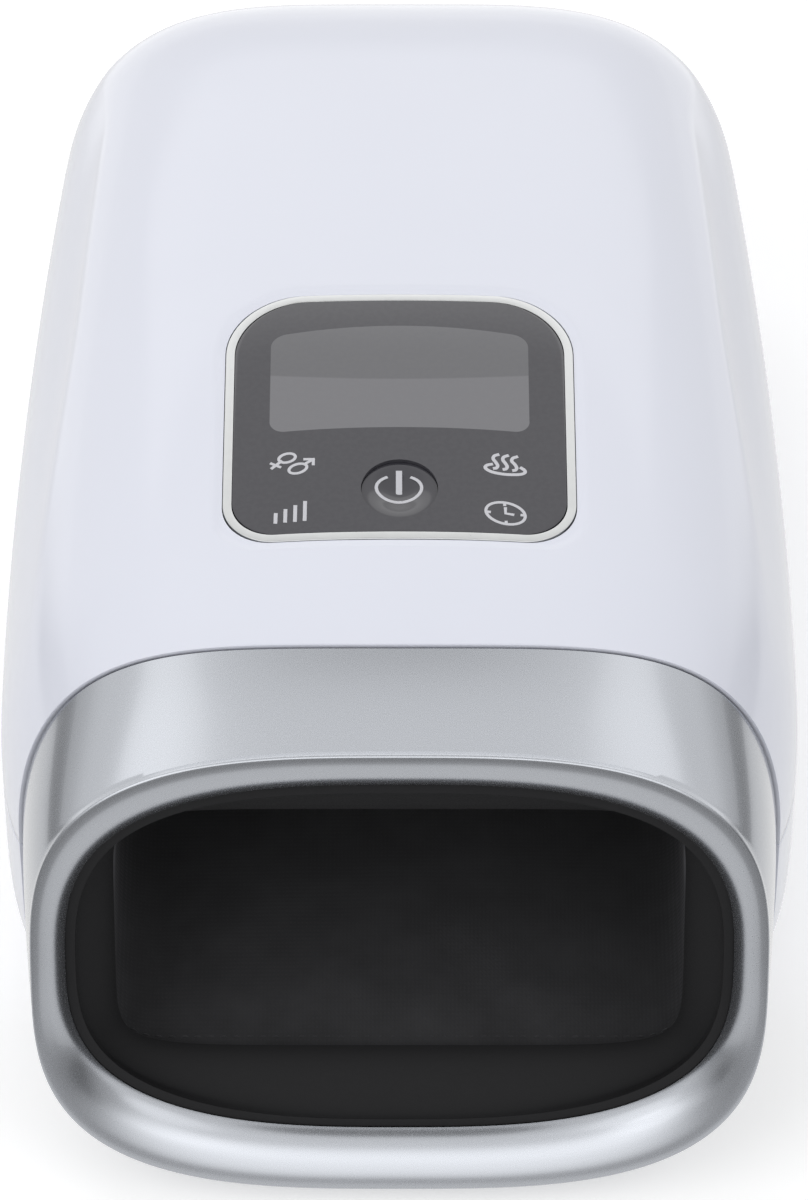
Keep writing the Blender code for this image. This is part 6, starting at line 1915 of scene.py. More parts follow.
def tube(name: str, points: np.ndarray, radius: float, sides: int = 20) -> Object:
    """Make a closed round tube along a path.

    Args:
        name: Name of the piece.
        points: Points of the path as (point, 3).
        radius: Radius of the tube.
        sides: Number of facets round it.

    Returns:
        The tube.
    """
    ways = np.gradient(points, axis=0)
    ways /= np.linalg.norm(ways, axis=1)[:, None]
    side = np.cross(ways[0], (0.3, 0.2, 0.93))
    turn = np.linspace(0, 2 * math.pi, sides, endpoint=False)[:, None]
    rings = []
    for point, way in zip(points, ways):
        side = side - way * np.dot(side, way)
        side /= np.linalg.norm(side)
        rings.append(point + radius * (np.cos(turn) * side + np.sin(turn) * np.cross(way, side)))
    return settle(surface_piece(name, np.array(rings), wrap=True, caps=True), 50)


def puff(item: Object, cap: float, pressure: float = 4.0, frames: int = 20) -> None:
    """Swell a closed soft form by a short cloth simulation and keep its shape.

    Args:
        item: The soft form, already a plain mesh.
        cap: How far a point may move.
        pressure: Pressure inside the cloth.
        frames: Number of frames to run.
    """
    rest = np.array([vert.co for vert in item.data.vertices])
    step = item.modifiers.new("cloth", "CLOTH")
    step.settings.quality = 5
    step.settings.mass = 0.3
    step.settings.use_pressure = True
    step.settings.uniform_pressure_force = pressure
    step.settings.effector_weights.gravity = 0
    step.point_cache.frame_start = 1
    step.point_cache.frame_end = frames
    scene = bpy.context.scene
    for number in range(1, frames + 1):
        scene.frame_set(number)
    graph = bpy.context.evaluated_depsgraph_get()
    shaped = item.evaluated_get(graph).to_mesh()
    moved = np.array([vert.co for vert in shaped.vertices]) - rest
    item.modifiers.clear()
    scene.frame_set(1)
    length = np.maximum(np.linalg.norm(moved, axis=1), 1e-9)[:, None]
    moved *= np.minimum(length, cap) / length
    item.data.vertices.foreach_set("co", (rest + moved).ravel())
    item.data.update()


def pillow(name: str, low: Vector, high: Vector, corner_power: float = 9.0,
           edge: float = 0.25, crown_down: bool = False) -> Object:
    """Make a flat pillow that fills a box, crowned on one side.

    Args:
        name: Name of the piece.
        low: Lowest corner of the box.
        high: Highest corner of the box.
        corner_power: Power of the outline, higher for sharper corners.
        edge: Share of the thickness that is left at the border.
        crown_down: Whether the crowned side is the underside.

    Returns:
        The pillow.
    """
    half, middle = (high - low) / 2, (high + low) / 2
    across, along = np.meshgrid(*[np.linspace(-1, 1, round(reach / GRID_STEP))
                                  for reach in half.xy])
    most = np.maximum(np.abs(across), np.abs(along))
    norm = (np.abs(across) ** corner_power + np.abs(along) ** corner_power) ** (1 / corner_power)
    pull = np.where(most > 0, most / np.maximum(norm, 1e-9), 1)
    x, y = middle.x + across * pull * half.x, middle.y + along * pull * half.y
    deep = (high.z - low.z) * (edge + (1 - edge) * np.sqrt(np.clip(1 - most ** 14, 0, 1)))
    flat = np.full_like(x, high.z if crown_down else low.z)
    top, under = (flat, high.z - deep) if crown_down else (low.z + deep, flat)
    return settle(wall_piece(name, np.stack([x, y, top], -1), np.stack([x, y, under], -1)), 60)


@dataclass
class SoftTunnel:
    """The lining of the hand tunnel, what lies under its floor, and the air cells."""

    collar: Collar
    corner: float = 0.0117
    least_corner: float = 0.0004
    cloth: float = 0.001
    floor_swell: float = 0.0022
    side_swell: float = 0.0012
    side_start: float = 0.006
    front_ease: float = 0.016
    back_ease: float = 0.02
    back_flat: float = 0.004
    ripples: Pair = (0.06, 0.08)
    hem: float = 0.0032
    stitch_pitch: float = 0.0026
    stitch_radius: float = 0.00028
    stitch_share: float = 0.62
    stitch_sink: float = 0.0001
    bellows: float = 0.0011
    bellows_count: int = 3
    bag_power: float = 9.0
    bag_points: int = 120
    seam_margin: float = 0.0055
    seam_depth: float = 0.0009
    seam_width: float = 0.0009
    pad_swell: float = 0.0008
    track_pitch: float = 0.006
    track_height: float = 0.0001
    track_margin: float = 0.004
    track_share: float = 0.6

    def __post_init__(self) -> None:
        """Read the lining's space from the frame."""
        self.low, self.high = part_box("liner")
        collar = self.collar
        self.depth = collar.mouth_start + collar.ring_depth + collar.body.gap

    def front_y(self, z: np.ndarray | float) -> np.ndarray | float:
        """Return the y of the lining's front edge at a height.

        Args:
            z: A height, or several.

        Returns:
            The y at each height.
        """
        tilt = self.collar.tilt
        return self.collar.rim_y + (self.depth + (z - self.collar.centre_height)
                                    * math.sin(tilt)) / math.cos(tilt)

    def section(self, inset: float) -> np.ndarray:
        """Return the open U of the tunnel from top left to top right.

        Args:
            inset: How far it lies inside the liner's box.

        Returns:
            The section's points as rows.
        """
        half, floor = self.high.x - inset, self.low.z + inset
        corner = max(self.corner - inset, self.least_corner)
        turn = np.linspace(0, math.pi / 2, 11)
        side = np.linspace(self.high.z, floor + corner, 16)[:-1]
        left = np.column_stack([np.full(15, -half), side])
        arc = np.column_stack([-half + corner * (1 - np.cos(turn)),
                               floor + corner * (1 - np.sin(turn))])
        run = np.linspace(-half + corner, half - corner, 46)[1:-1]
        return np.concatenate([left, arc, np.column_stack([run, np.full(44, floor)]),
                               (arc * (-1, 1))[::-1], (left * (-1, 1))[::-1]])

    def tray(self) -> np.ndarray:
        """Return the rows of the tray from its front edge over its back.

        Returns:
            The rows, each with its points.
        """
        base = self.section(0)
        straight = self.high.y - self.corner
        front = self.front_y(base[:, 1])
        rows = [np.column_stack([base[:, 0], front + (straight - front) * share, base[:, 1]])
                for share in np.linspace(0, 1, 50, endpoint=False)]
        for turn in np.linspace(0, math.pi / 2, 11):
            line = self.section(self.corner * (1 - math.cos(turn)))
            y = straight + self.corner * math.sin(turn)
            rows.append(np.column_stack([line[:, 0], np.full(len(line), y), line[:, 1]]))
        top, last = (0, 0, self.high.z), rows[-1]
        for share in np.linspace(0.9, 0, 10):
            rows.append(top + (last - top) * (share, 1, share))
        return np.array(rows)

    def swell(self, rows: np.ndarray) -> np.ndarray:
        """Return how far the padding pushes the cloth inwards at each point.

        Args:
            rows: Rows of the tunnel's points.

        Returns:
            The push at each point.
        """
        x, y, z = np.moveaxis(rows, -1, 0)
        into = smooth_step((y - self.front_y(z)) / self.front_ease)
        from_back = smooth_step((self.high.y - self.back_flat - y) / self.back_ease)
        floor = np.clip(1 - np.abs(x) / (self.high.x - self.corner * 0.45), 0, 1) ** 0.4
        low = smooth_step((self.low.z + self.corner - z) / self.corner)
        start = self.low.z + self.side_start
        side = np.sin(math.pi * np.clip((z - start) / (self.high.z - start), 0, 1)) ** 0.7
        ripple = (np.sin(x * 310 + np.sin(y * 170) * 1.6) * np.sin(y * 260 + np.sin(x * 120) * 1.3))
        cushion = floor * low * self.floor_swell * (1 + self.ripples[0] * ripple)
        side *= (1 - low) * self.side_swell * (1 + self.ripples[1] * ripple)
        return self.cloth + into * from_back * (cushion + side)

    def lining(self) -> Object:
        """Build the lining as one stretched sheet over its padding.

        Returns:
            The lining.
        """
        rows = self.tray()
        inner = offset(rows, self.swell(rows))
        inner[..., 2] = np.minimum(inner[..., 2], self.high.z)
        item = wall_piece("tunnel_lining", rows, inner)
        soften(item, 0.0003)
        return settle(item, 60)

    def seams(self) -> None:
        """Set stitches along the hem."""
        tree = Tree("hem_stitches", Pitch=self.stitch_pitch, Radius=self.stitch_radius,
                    Length=self.stitch_pitch * self.stitch_share)
        size = tree.size
        points = tree.add("GeometryNodeCurveToPoints", {
            "Curve": tree.source, "Length": size["Pitch"]}, mode="LENGTH").outputs
        stitch = tree.add("GeometryNodeMeshUVSphere", {
            "Segments": 8, "Rings": 6, "Radius": size["Radius"]}).outputs["Mesh"]
        half = tree.times(tree.math("DIVIDE", size["Length"], size["Radius"]), 0.5)
        tree.close(tree.on_points(stitch, Points=points["Points"],
                                  Rotation=points["Rotation"],
                                  Scale=tree.combine(1.0, 1.0, half)), Finishes.LINING)
        hem = [(x, self.front_y(z) + self.hem, z)
               for x, z in self.section(self.cloth + self.stitch_sink).tolist()]
        dress(tree.grow("hem_stitching", path_curve("hem_path", [hem])), Finishes.LINING)

    def bladder(self, node: str) -> Object:
        """Build an air bag as shallow bellows between the roof and its pad.

        Args:
            node: The bag's node.

        Returns:
            The bag.
        """
        low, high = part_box(node)
        half, middle = (high - low) / 2, (high + low) / 2
        turn = np.linspace(0, 2 * math.pi, self.bag_points, endpoint=False)
        unit = unit_outline(turn, self.bag_power, self.bag_power)
        face = half.y * (1 - np.linspace(0.02, 0.9, 6))
        share = np.linspace(0, 1, 8 * self.bellows_count + 1)
        folds = self.bellows * np.cos(math.pi * share * self.bellows_count) ** 2
        insets = np.concatenate([face, folds, face[::-1]])
        heights = np.concatenate([np.full(6, high.z), high.z + (low.z - high.z) * share,
                                  np.full(6, low.z)])
        rings = [np.column_stack([middle.x + (half.x - inset) * unit[:, 0],
                                  middle.y + (half.y - inset) * unit[:, 1],
                                  np.full(len(unit), z)]) for inset, z in zip(insets, heights)]
        name = node.replace("bag", "bladder")
        return settle(surface_piece(name, np.array(rings), wrap=True, caps=True), 60)

    def pad(self, node: str, name: str, under: bool) -> Object:
        """Build a padded piece in its node's box, sewn and crowned under or above.

        Args:
            node: The node it replaces.
            name: The piece's name.
            under: Whether it is crowned on its underside.

        Returns:
            The padded piece.
        """
        low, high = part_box(node)
        item = pillow(name, low, high, crown_down=under)
        puff(item, self.pad_swell)
        half, middle = (high - low) / 2, (high + low) / 2
        side = -1 if under else 1
        for vert in item.data.vertices:
            place = vert.co
            edge = min(half.x - abs(place.x - middle.x), half.y - abs(place.y - middle.y))
            if (place.z - middle.z) * side > 0:
                channel = math.exp(-((edge - self.seam_margin) / self.seam_width) ** 2)
                place.z -= side * self.seam_depth * channel
            place.z = min(max(place.z, low.z), high.z)
        item.data.update()
        return settle(item, 60)

    def heater(self) -> Object:
        """Build the heating film with its raised track.

        Returns:
            The film.
        """
        low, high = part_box("heating_film")
        across, along = np.meshgrid(np.linspace(low.x, high.x, 60), np.linspace(low.y, high.y, 90))
        from_edge = np.minimum(np.abs(across - low.x), np.abs(high.x - across))
        wave = np.cos(along * 2 * math.pi / self.track_pitch)
        track = (wave > self.track_share) & (from_edge >= self.track_margin)
        top = np.where(track, high.z, high.z - self.track_height)
        faces = [np.stack([across, along, z], -1) for z in (top, np.full_like(top, low.z))]
        return settle(wall_piece("heater_film", *faces))

    def build(self) -> None:
        """Build and dress every soft piece of the tunnel."""
        lining = dress(self.lining(), Finishes.LINING, stands_for=["liner"])
        self.seams()
        cushion = dress(self.pad("floor_foam", "floor_cushion", False), Finishes.FOAM,
                        stands_for=["floor_foam"])
        dress(self.heater(), Finishes.FILM, stands_for=["heating_film"])
        for label in ("palm", "finger"):
            node, bag_node = label + "_pad", label + "_bag"
            pad = dress(self.pad(node, label + "_cushion", True), Finishes.LINING, body=node,
                        stands_for=[node])
            bag = self.bladder(bag_node)
            Finishes.FOOT_RUBBER.paint(bag)
            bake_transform(bag)
            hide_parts(bag_node)
            log.info("%-26s %-14s foot_rubber", bag.name, "blend")


@dataclass
class Fasteners:
    """The screws and the posts that they go into."""

    panel: PanelForm
    head_radius: float = 0.0025
    head_height: float = 0.0016
    shank_radius: float = 0.0012
    thread_pitch: float = 0.0009
    short: float = 0.006
    long: float = 0.016
    slot_length: float = 1.15
    slot_width: float = 0.26
    slot_depth: float = 0.6
    thread_run: float = 0.9
    thread_rise: float = 0.12
    post_radius: float = 0.004
    post_height: float = 0.01
    bore_radius: float = 0.0016

    def screw_tree(self) -> Tree:
        """Return the tree that sets a threaded, cross-slotted screw on each point.

        Returns:
            The tree.
        """
        tree = Tree("pan_head_screw", Head_Radius=self.head_radius,
                    Head_Height=self.head_height, Shank_Radius=self.shank_radius,
                    Shank_Length=self.short, Thread_Pitch=self.thread_pitch, Turn=0.0)
        size = tree.size
        radius, height = size["Head Radius"], size["Head Height"]
        shank, length = size["Shank Radius"], size["Shank Length"]
        x, y, z = tree.split(tree.add("GeometryNodeInputPosition").outputs[0])
        share = tree.math("DIVIDE", tree.length(x, y), radius)
        drop = tree.times(tree.math("POWER", share, 3.0), tree.times(height, 0.5))
        dome = tree.add("GeometryNodeSetPosition", {
            "Geometry": tree.cylinder(32, radius, height, 6),
            "Selection": tree.math("LESS_THAN", z, 0.0),
            "Offset": tree.combine(0.0, 0.0, drop)}).outputs["Geometry"]
        wide, narrow = [tree.times(radius, share) for share in (self.slot_length, self.slot_width)]
        slots = tree.joined(tree.block(wide, narrow, height), tree.block(narrow, wide, height))
        head = tree.carved(dome, tree.raised(slots, tree.times(height, -self.slot_depth)))
        run = tree.times(length, self.thread_run)
        helix = tree.add("GeometryNodeCurveSpiral", {
            "Resolution": 20, "Rotations": tree.math("DIVIDE", run, size["Thread Pitch"]),
            "Start Radius": shank, "End Radius": shank, "Height": run}).outputs["Curve"]
        ridge = tree.add("GeometryNodeCurvePrimitiveCircle", {
            "Resolution": 5, "Radius": tree.times(shank, self.thread_rise)}).outputs["Curve"]
        whole = tree.joined(
            tree.raised(head, tree.times(height, -0.5)),
            tree.raised(tree.cylinder(20, shank, length), tree.times(length, 0.5)),
            tree.swept(helix, ridge))
        turned = tree.on_points(whole, Rotation=tree.combine(size["Turn"], 0.0, 0.0))
        return tree.close(turned, Finishes.STEEL)

    def post_tree(self) -> Tree:
        """Return the tree that sets a bored post on each point.

        Returns:
            The tree.
        """
        tree = Tree("bored_post", Radius=self.post_radius, Bore=self.bore_radius,
                    Height=self.post_height)
        height = tree.size["Height"]
        post, bore = [tree.cylinder(32, tree.size[label], tree.times(height, reach))
                      for label, reach in (("Radius", 1.0), ("Bore", 1.2))]
        raised = tree.raised(tree.carved(post, bore), tree.times(height, 0.5))
        return tree.close(tree.on_points(raised), Finishes.WHITE_SHELL)

    def middles(self, nodes: Sequence[str], z: float) -> Mesh:
        """Return points in the middle of some nodes, at one height."""
        return spots("middles", [(*middle_of(node).xy, z) for node in nodes])

    def build(self) -> None:
        """Build and dress the screws by where they sit, and the lower posts."""
        tree = self.screw_tree()
        front, rear, roof = [[kind + label for label in labels] for kind, labels in (
            ("case_screw_", CORNERS[:2]), ("case_screw_", CORNERS[2:]),
            ("roof_screw_", CORNERS))]
        for name, nodes, length, turn in (("front_case_screws", front, self.short, 0.0),
                                          ("rear_case_screws", rear, self.long, 0.0),
                                          ("roof_screws", roof, self.short, math.pi)):
            low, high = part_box(nodes[0])
            z = high.z - self.head_height if turn else low.z + self.head_height
            made = tree.grow(name, self.middles(nodes, z), Shank_Length=length, Turn=turn)
            dress(made, Finishes.STEEL, stands_for=nodes)
        nodes = ["board_screw_left", "board_screw_right"]
        made = tree.grow("board_screws", spots("board_screws", [
            (middle_of(node).x, 0, 0) for node in nodes]), Shank_Length=self.short)
        centre = (0, middle_of(nodes[0]).y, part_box(nodes[0])[0].z + self.head_height)
        made.data.transform(Matrix.Translation(centre)
                            @ Matrix.Rotation(self.panel.slope(), 4, "X"))
        dress(made, Finishes.STEEL, stands_for=nodes)
        posts, body = self.post_tree(), self.panel.body
        for name, nodes, top in (("tunnel_posts", front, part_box("tunnel_frame")[0].z),
                                 ("case_posts", rear, body.parting)):
            start = max(body.underside + body.wall / 2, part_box(nodes[0])[0].z + self.head_height)
            dress(posts.grow(name, self.middles(nodes, start),
                             Height=top - body.gap - start), Finishes.WHITE_SHELL)


@dataclass
class Plumbing:
    """The hoses, the ribbon and the battery lead."""

    hose_radius: float = 0.0023
    loop: float = 0.0065
    gap: float = 0.0003
    nozzle_x: float = 0.037
    valve_spacing: float = 0.024
    deck_y: float = 0.0935
    palm_port: Pair = (0.024008, -0.0237)
    finger_port: Pair = (0.024008, 0.0304)
    palm_shares: tuple[Triple, ...] = (
        (0, 0, 0.115), (-0.12, 0.043, 0.35), (-0.32, 0.132, 0.557), (-0.4, 0.225, 0.713),
        (-0.3, 0.318, 0.851), (0, 0.473, 0.903), (0.38, 0.70, 0.938), (0.9, 0.93, 1),
        (1, 0.988, 0.96), (1, 1, 0.9))
    finger_shares: tuple[Triple, ...] = (
        (0, 0, 0.115), (0.05, 0.06, 0.384), (0.19, 0.196, 0.66), (0.38, 0.373, 0.868),
        (0.667, 0.627, 0.99), (0.905, 0.843, 1), (1, 0.97, 0.95), (1, 1, 0.9))
    cable_radius: float = 0.0014
    cable_bend: float = 0.006
    lead_lift: float = 0.0008
    lead_from_deck: float = 0.012
    lead_from_board: float = 0.002
    lead_run: float = 0.056
    lead_over_roof: float = 0.0022
    ribbon_wires: int = 12
    ribbon_half: float = 0.00016
    ribbon_ridge: float = 0.00012
    ribbon_belly: float = 0.008

    def hose(self, label: str, side: float, port: Pair, shares: Sequence[Triple]) -> None:
        """Build the hose from a valve up to its air port.

        Args:
            label: The hose's name.
            side: The side its valve is on, -1 or 1.
            port: The port's place across and along.
            shares: Its marks, as shares of the way.
        """
        node = label + "_hose"
        first = np.array((self.nozzle_x, self.deck_y + side * self.valve_spacing / 2,
                          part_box(node)[0].z))
        last = np.array((*port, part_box("roof_frame")[1].z + self.gap))
        run = last + (0, 0, self.loop) - first
        route = [first, *(first + np.array(shares) * run), last]
        dress(tube(label + "_air_hose", through(route, 6), self.hose_radius),
              Finishes.SILICONE, stands_for=[node])

    def ribbon(self) -> Object:
        """Build the flat cable with a ridge over each wire.

        Returns:
            The flat cable.
        """
        low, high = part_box("panel_ribbon")
        share = np.linspace(0, 1, 40)[:, None]
        start_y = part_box("main_board")[0].y + self.ribbon_belly
        y = start_y + (high.y - start_y) * smooth_step(share)
        y -= self.ribbon_belly * np.sin(math.pi * share)
        z = low.z + self.gap + (high.z - low.z - 2 * self.gap) * (
            0.5 - 0.5 * np.cos(math.pi * share))
        x = np.linspace(low.x, high.x, self.ribbon_wires * 6 + 1)
        ridge = self.ribbon_ridge * np.cos((x - low.x) / (high.x - low.x)
                                           * 2 * math.pi * self.ribbon_wires)
        rows = np.stack(np.broadcast_arrays(x, y, z), -1)
        half = self.ribbon_half - ridge / 2
        return settle(wall_piece("flat_ribbon", offset(rows, -half), offset(rows, half)), 50)

    def lead(self) -> Object:
        """Build the battery's lead up to the main board.

        Returns:
            The lead.
        """
        low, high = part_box("battery_cable")
        board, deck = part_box("main_board")[0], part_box("rear_deck")[0]
        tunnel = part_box("tunnel_frame")[1]
        radius, bend = self.cable_radius, self.cable_bend
        start_z = low.z + radius
        middle = board.z + self.lead_lift
        y = deck.y + self.lead_from_deck
        high_x = board.x - self.gap - self.lead_from_board
        low_x = low.x + radius
        rise_y = tunnel.y + 2 * radius
        end_y = board.y + self.lead_run - bend
        route = [(high.x, y, start_z), (deck.x, y, start_z),
                 (low_x, y - radius, start_z + bend),
                 (low_x, rise_y + bend / 2, deck.z + bend),
                 (high_x, rise_y, tunnel.z - bend),
                 (high_x, rise_y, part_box("roof_frame")[0].z + self.lead_over_roof),
                 (high_x, end_y + bend / 2, middle + radius / 2),
                 (board.x - self.gap - radius, end_y, middle),
                 (board.x - self.gap, end_y, middle)]
        return tube("battery_lead", through(route, 7), radius, 16)

    def build(self) -> None:
        """Build and dress every hose and cable."""
        dress(self.lead(), Finishes.WIRE, stands_for=["battery_cable"])
        self.hose("palm", 1, self.palm_port, self.palm_shares)
        self.hose("finger", -1, self.finger_port, self.finger_shares)
        low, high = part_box("pump_hose")
        middle = (low + high) / 2
        line = np.array([(x, middle.y, middle.z) for x in np.linspace(low.x, high.x, 6)])
        dress(tube("pump_air_hose", line, self.hose_radius), Finishes.SILICONE,
              stands_for=["pump_hose"])
        dress(self.ribbon(), Finishes.RIBBON, stands_for=["panel_ribbon"])


@dataclass
class Feet:
    """The four rubber feet, with rings moulded into their undersides."""

    ring_pitch: float = 0.0016
    ring_depth: float = 0.0004
    ring_marks: Triple = (0.00015, 0.00055, 0.0007)
    rings: int = 3
    edge: float = 0.0003

    def profile(self, radius: float, height: float) -> list[Pair]:
        """Return a foot's profile from the underside's middle round to its top.

        Args:
            radius: The foot's radius.
            height: Its height.

        Returns:
            The profile's points in order.
        """
        points = [(0.0, 0.0)]
        rise, fall, end = self.ring_marks
        for index in range(1, self.rings + 1):
            r = index * self.ring_pitch
            points += [(r, 0.0), (r + rise, self.ring_depth), (r + fall, self.ring_depth),
                       (r + end, 0.0)]
        bend = height / 3
        points += [(radius - bend, 0.0)]
        points += [(radius - bend + bend * math.sin(a), bend - bend * math.cos(a))
                   for a in np.linspace(0.3, math.pi / 2, 6)]
        return points + [(radius, height - self.edge), (radius - self.edge, height), (0.0, height)]

    def build(self) -> None:
        """Build and dress the feet."""
        for label in CORNERS:
            low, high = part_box("foot_" + label)
            middle = (low + high) / 2
            foot = lathe("rubber_foot_" + label, self.profile(high.x - middle.x, high.z - low.z),
                         Matrix.Translation((middle.x, middle.y, low.z)), 72)
            dress(foot, Finishes.FOOT_RUBBER, stands_for=["foot_" + label])


@dataclass
class Inlet:
    """The charging inlet: its shell, tongue and contacts."""

    wall: float = 0.0003
    tongue: Pair = (0.0065, 0.0007)
    tongue_start: float = 0.0012
    contacts: int = 12
    contact: Triple = (0.00025, 0.004, 0.00012)
    contact_from_back: float = 0.0036
    contact_margin: float = 0.0007

    def build(self) -> None:
        """Build and dress the inlet."""
        low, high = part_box("charge_inlet")
        middle = Vector((0, *((low + high) / 2).yz))
        width, deep, height = high - low
        half, thin = deep / 2, 2 * self.wall
        lay = Matrix.Translation(middle) @ LYING
        shell = prism("inlet_shell", slot_outline(width, height), -half, half, lay)
        bore = prism("inlet_bore", slot_outline(width - thin, height - thin), -half - 0.001,
                     half - self.wall * 3, lay)
        dress(cut(shell, [bore]), Finishes.STEEL, stands_for=["charge_inlet"])
        tongue = prism("inlet_tongue", slot_outline(*self.tongue), self.tongue_start - half,
                       half - self.wall * 3, lay)
        dress(settle(tongue), Finishes.MOUTH_PLASTIC)
        tree = Tree("inlet_contacts", Width=self.contact[0], Length=self.contact[1],
                    Height=self.contact[2])
        bar = tree.block(*(tree.size[name] for name in ("Width", "Length", "Height")))
        tree.close(tree.on_points(bar), Finishes.BRASS)
        reach = self.tongue[0] / 2 - self.contact_margin
        places = [(x, middle.y + half - self.contact_from_back,
                   middle.z + up * self.tongue[1] / 2)
                  for x in np.linspace(-reach, reach, self.contacts) for up in (-1, 1)]
        dress(tree.grow("inlet_contacts", spots("inlet_contacts", places)), Finishes.BRASS)


# Stage, lamps and camera
@dataclass(frozen=True)
class Camera:
    """The place and lens that the photograph was taken with."""

    target: Triple = (0.0, -0.0210, 0.05685)
    distance: float = 1.3962
    elevation: float = math.radians(50)
    lens: float = 137.0
    sensor_height: float = 24.0
    shift_across: float = 0.00375

    def place(self) -> None:
        """Add the camera and make it the scene's own."""
        data = bpy.data.cameras.new("photo_camera")
        data.lens = self.lens
        data.sensor_fit = "VERTICAL"
        data.sensor_height = self.sensor_height
        data.shift_x = self.shift_across
        camera = add_object("photo_camera", data)
        back = Vector((0, -math.cos(self.elevation), math.sin(self.elevation)))
        camera.location = Vector(self.target) + back * self.distance
        camera.rotation_euler = (math.pi / 2 - self.elevation, 0, 0)
        bpy.context.scene.camera = camera


@dataclass(frozen=True)
class Lamp:
    """A soft rectangular lamp that points at the massager.

    Gloss shows the surround's softer picture of it in place of the lamp.
    """

    name: str
    place: Triple
    size: Pair
    power: float
    target: Triple = (0.0, 0.0, 0.06)

    def light(self) -> None:
        """Add the lamp."""
        data = bpy.data.lights.new(self.name, "AREA")
        data.shape = "RECTANGLE"
        data.size, data.size_y = self.size
        data.energy = self.power
        lamp = add_object(self.name, data)
        lamp.location = self.place
        lamp.visible_camera = False
        lamp.visible_glossy = False
        lamp.rotation_euler = (Vector(self.target) - lamp.location).to_track_quat(
            "-Z", "Y").to_euler()


@dataclass(frozen=True)
class Patch:
    """A round patch of the surround that gloss shows lighter or darker than the rest."""

    azimuth: float
    height: float
    amount: float
    core: float
    rim: float

    def level(self, graph: Graph) -> Socket:
        """Return the patch's amount in each direction, from its angles in degrees.

        Args:
            graph: The graph that the patch is added to.

        Returns:
            The amount's socket.
        """
        around, up = math.radians(self.azimuth), math.radians(self.height)
        way = (math.sin(around) * math.cos(up), math.cos(around) * math.cos(up), math.sin(up))
        return graph.eased(graph.facing(way), math.cos(math.radians(self.rim)),
                           math.cos(math.radians(self.core)), 0.0, self.amount)


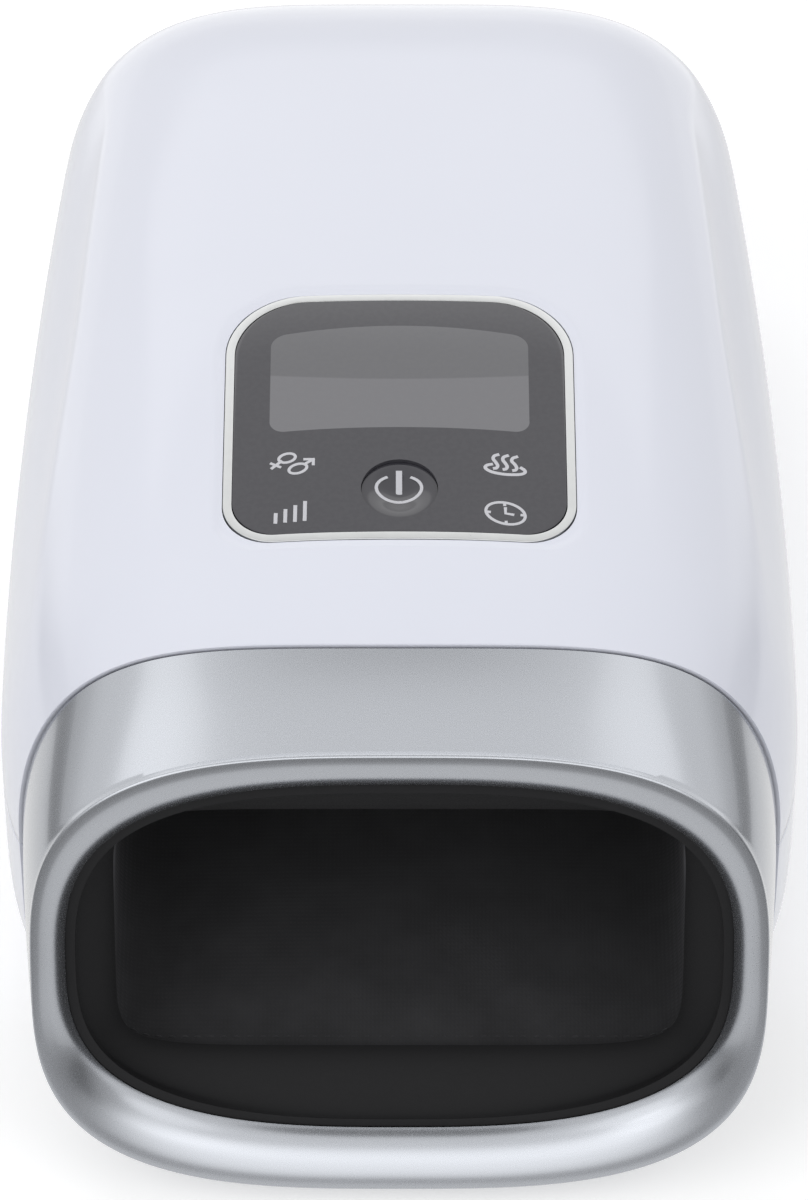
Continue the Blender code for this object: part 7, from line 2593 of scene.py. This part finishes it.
@dataclass
class Studio:
    """A pale floor, an even pale surround and the soft lamps."""

    floor_side: float = 6.0
    ambient: float = 0.56
    horizon: float = 0.7
    sky_heights: Pair = (0.1, 0.42)
    rear_depths: Pair = (0.3, 0.6)
    rear_level: float = 1.1
    front_depths: Pair = (-0.3, -0.7)
    front_heights: Pair = (0.35, 0.1)
    front_drop: float = 0.35
    patches: tuple[Patch, ...] = (
        Patch(180, 25, 0.8, 12, 28), Patch(-127, 50, 0.6, 13, 18),
        Patch(127, 50, 0.5, 13, 18), Patch(-148, 35, 0.9, 8, 14),
        Patch(158, 33, 0.4, 7, 14), Patch(-115, 6, -0.3, 12, 30),
        Patch(124, 12, -0.5, 14, 32))
    backdrop: float = 0.5
    backdrop_side: float = 0.42
    backdrop_blur: float = 0.06
    backdrop_depths: Pair = (0.3, 0.4)
    backdrop_foot: Pair = (0.25, 0.32)
    backdrop_top: Pair = (0.64, 0.58)
    darkest: float = 0.1
    zenith: float = 0.12
    zenith_heights: Pair = (0.972, 0.99)
    floor_white: float = 0.86
    floor_lift: float = 0.35
    floor_near: float = 0.26
    floor_far: float = 0.3
    floor_depth: float = 1.1
    floor_slopes: Pair = (0.3, 0.66)
    floor_near_gloss: float = 0.85
    floor_front_gloss: float = 0.3
    floor_back_gloss: float = 1.25
    lamps: tuple[Lamp, ...] = (
        Lamp("left_softbox", (-0.8, -0.6, 0.95), (0.95, 0.95), 4.3),
        Lamp("right_softbox", (0.8, -0.6, 0.95), (0.95, 0.95), 2.9),
        Lamp("top_softbox", (-0.25, 0.55, 1.1), (0.9, 0.5), 2.2))

    def surround(self) -> None:
        """Light the world evenly, white to the camera and with soft shapes in gloss.

        Gloss shows a darker horizon and zenith, the softboxes and cards as patches, and a
        bright backdrop low behind.
        """
        world = bpy.data.worlds.new("surround")
        world.use_nodes = True
        bpy.context.scene.world = world
        graph = Graph(world.node_tree, "Generated")
        background = graph.nodes["Background"].inputs
        background["Color"].default_value = (1, 1, 1, 1)
        eased = graph.eased
        across, along, up = graph.split(graph.place)
        shown = graph.math("MAXIMUM", eased(up, *self.sky_heights, self.horizon, 1.0),
                           eased(along, *self.rear_depths, self.horizon, self.rear_level))
        low = graph.times(eased(along, *self.front_depths), eased(up, *self.front_heights))
        shown = graph.plus(graph.minus(shown, graph.times(low, self.front_drop)),
                           *(patch.level(graph) for patch in self.patches))
        side = self.backdrop_side
        sideways = eased(graph.math("ABSOLUTE", across), side + self.backdrop_blur, side)
        behind = graph.times(sideways, eased(along, *self.backdrop_depths),
                             eased(up, *self.backdrop_foot), eased(up, *self.backdrop_top),
                             self.backdrop)
        shown = graph.math("MAXIMUM", graph.plus(shown, behind), self.darkest)
        gloss = graph.times(shown, eased(up, *self.zenith_heights, 1.0, self.zenith))
        plain = graph.ranged(graph.rays("Camera"), 0, 1, self.ambient, 1.0)
        share = graph.rays("Glossy", "Transmission")
        graph.links.new(graph.plus(graph.times(plain, graph.minus(1.0, share)),
                                   graph.times(share, gloss)), background["Strength"])

    def floor(self) -> None:
        """Lay the pale floor, which keeps its shadow and shows darker further off in gloss."""
        made = Surface("pale_floor")
        made.set(Base_Color=(self.floor_white,) * 3, Roughness=0.9, Specular_IOR_Level=0.0)
        across, along, _ = made.split(made.stretched((1.0, self.floor_depth, 1.0)))
        reach = made.length(across, along)
        far = made.eased(made.math("DIVIDE", along, reach), *self.floor_slopes,
                         self.floor_front_gloss, self.floor_back_gloss)
        beyond = made.eased(reach, self.floor_near, self.floor_far)
        seen = made.plus(made.times(beyond, far),
                         made.times(made.minus(1.0, beyond), self.floor_near_gloss))
        glow, lift = [made.add("ShaderNodeEmission", {"Strength": level}).outputs[0]
                      for level in (seen, made.times(made.rays("Camera"), self.floor_lift))]
        lit = made.add("ShaderNodeAddShader", {0: made.shader.outputs[0], 1: lift})
        mix = made.add("ShaderNodeMixShader", {0: made.rays("Glossy", "Transmission"),
                                               1: lit.outputs[0], 2: glow})
        made.links.new(mix.outputs[0], made.nodes["Material Output"].inputs["Surface"])
        half = self.floor_side / 2
        corners = np.array([[(-half, -half, 0), (half, -half, 0)],
                            [(-half, half, 0), (half, half, 0)]])
        floor = surface_piece("floor", corners)
        floor.data.materials.append(made.material)

    def build(self) -> None:
        """Set the view, the surround, the floor and the lamps."""
        bpy.context.scene.view_settings.view_transform = "Standard"
        self.surround()
        self.floor()
        for lamp in self.lamps:
            lamp.light()


@dataclass
class Innards:
    """The frame's own nodes that stay as they are, steel where no finish names them."""

    finishes: dict[Finishes, tuple[str, ...]] = field(default_factory=lambda: {
        Finishes.GREY_PLASTIC: ("tunnel_frame", "roof_frame", "rear_deck"),
        Finishes.BOARD: ("panel_board", "main_board", "inlet_board"),
        Finishes.DISPLAY: ("display_module",),
        Finishes.CELL_SLEEVE: ("battery_cell_front", "battery_cell_rear"),
        Finishes.MOUTH_PLASTIC: ("battery_tray", "pump_body", "pump_cover", "air_block",
                                 "power_switch"),
        Finishes.BRASS: ("pump_crank", "valve_plunger_palm", "valve_plunger_finger"),
        Finishes.FOOT_RUBBER: ("pump_diaphragm", "pump_mount"),
        Finishes.FOAM: ("touch_pad_user", "touch_pad_level", "touch_pad_heat",
                        "touch_pad_timer")})

    def build(self) -> None:
        """Give every node that stays a material of its own kind."""
        kinds = {name: finish for finish, names in self.finishes.items() for name in names}
        for name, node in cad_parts.items():
            kinds.get(name, Finishes.STEEL).paint(node)


def main() -> None:
    """Build every class in order and report its pieces."""
    logging.basicConfig(level=logging.INFO, format="%(message)s")
    body = BodyForm.from_frame()
    panel = PanelForm(body)
    Camera().place()
    Studio().build()
    Innards().build()
    Housing(body, panel).build()
    collar = Collar(body)
    collar.build()
    ControlPanel(panel).build()
    SoftTunnel(collar).build()
    Fasteners(panel).build()
    Plumbing().build()
    Feet().build()
    Inlet().build()


if __name__ == "__main__":
    main()
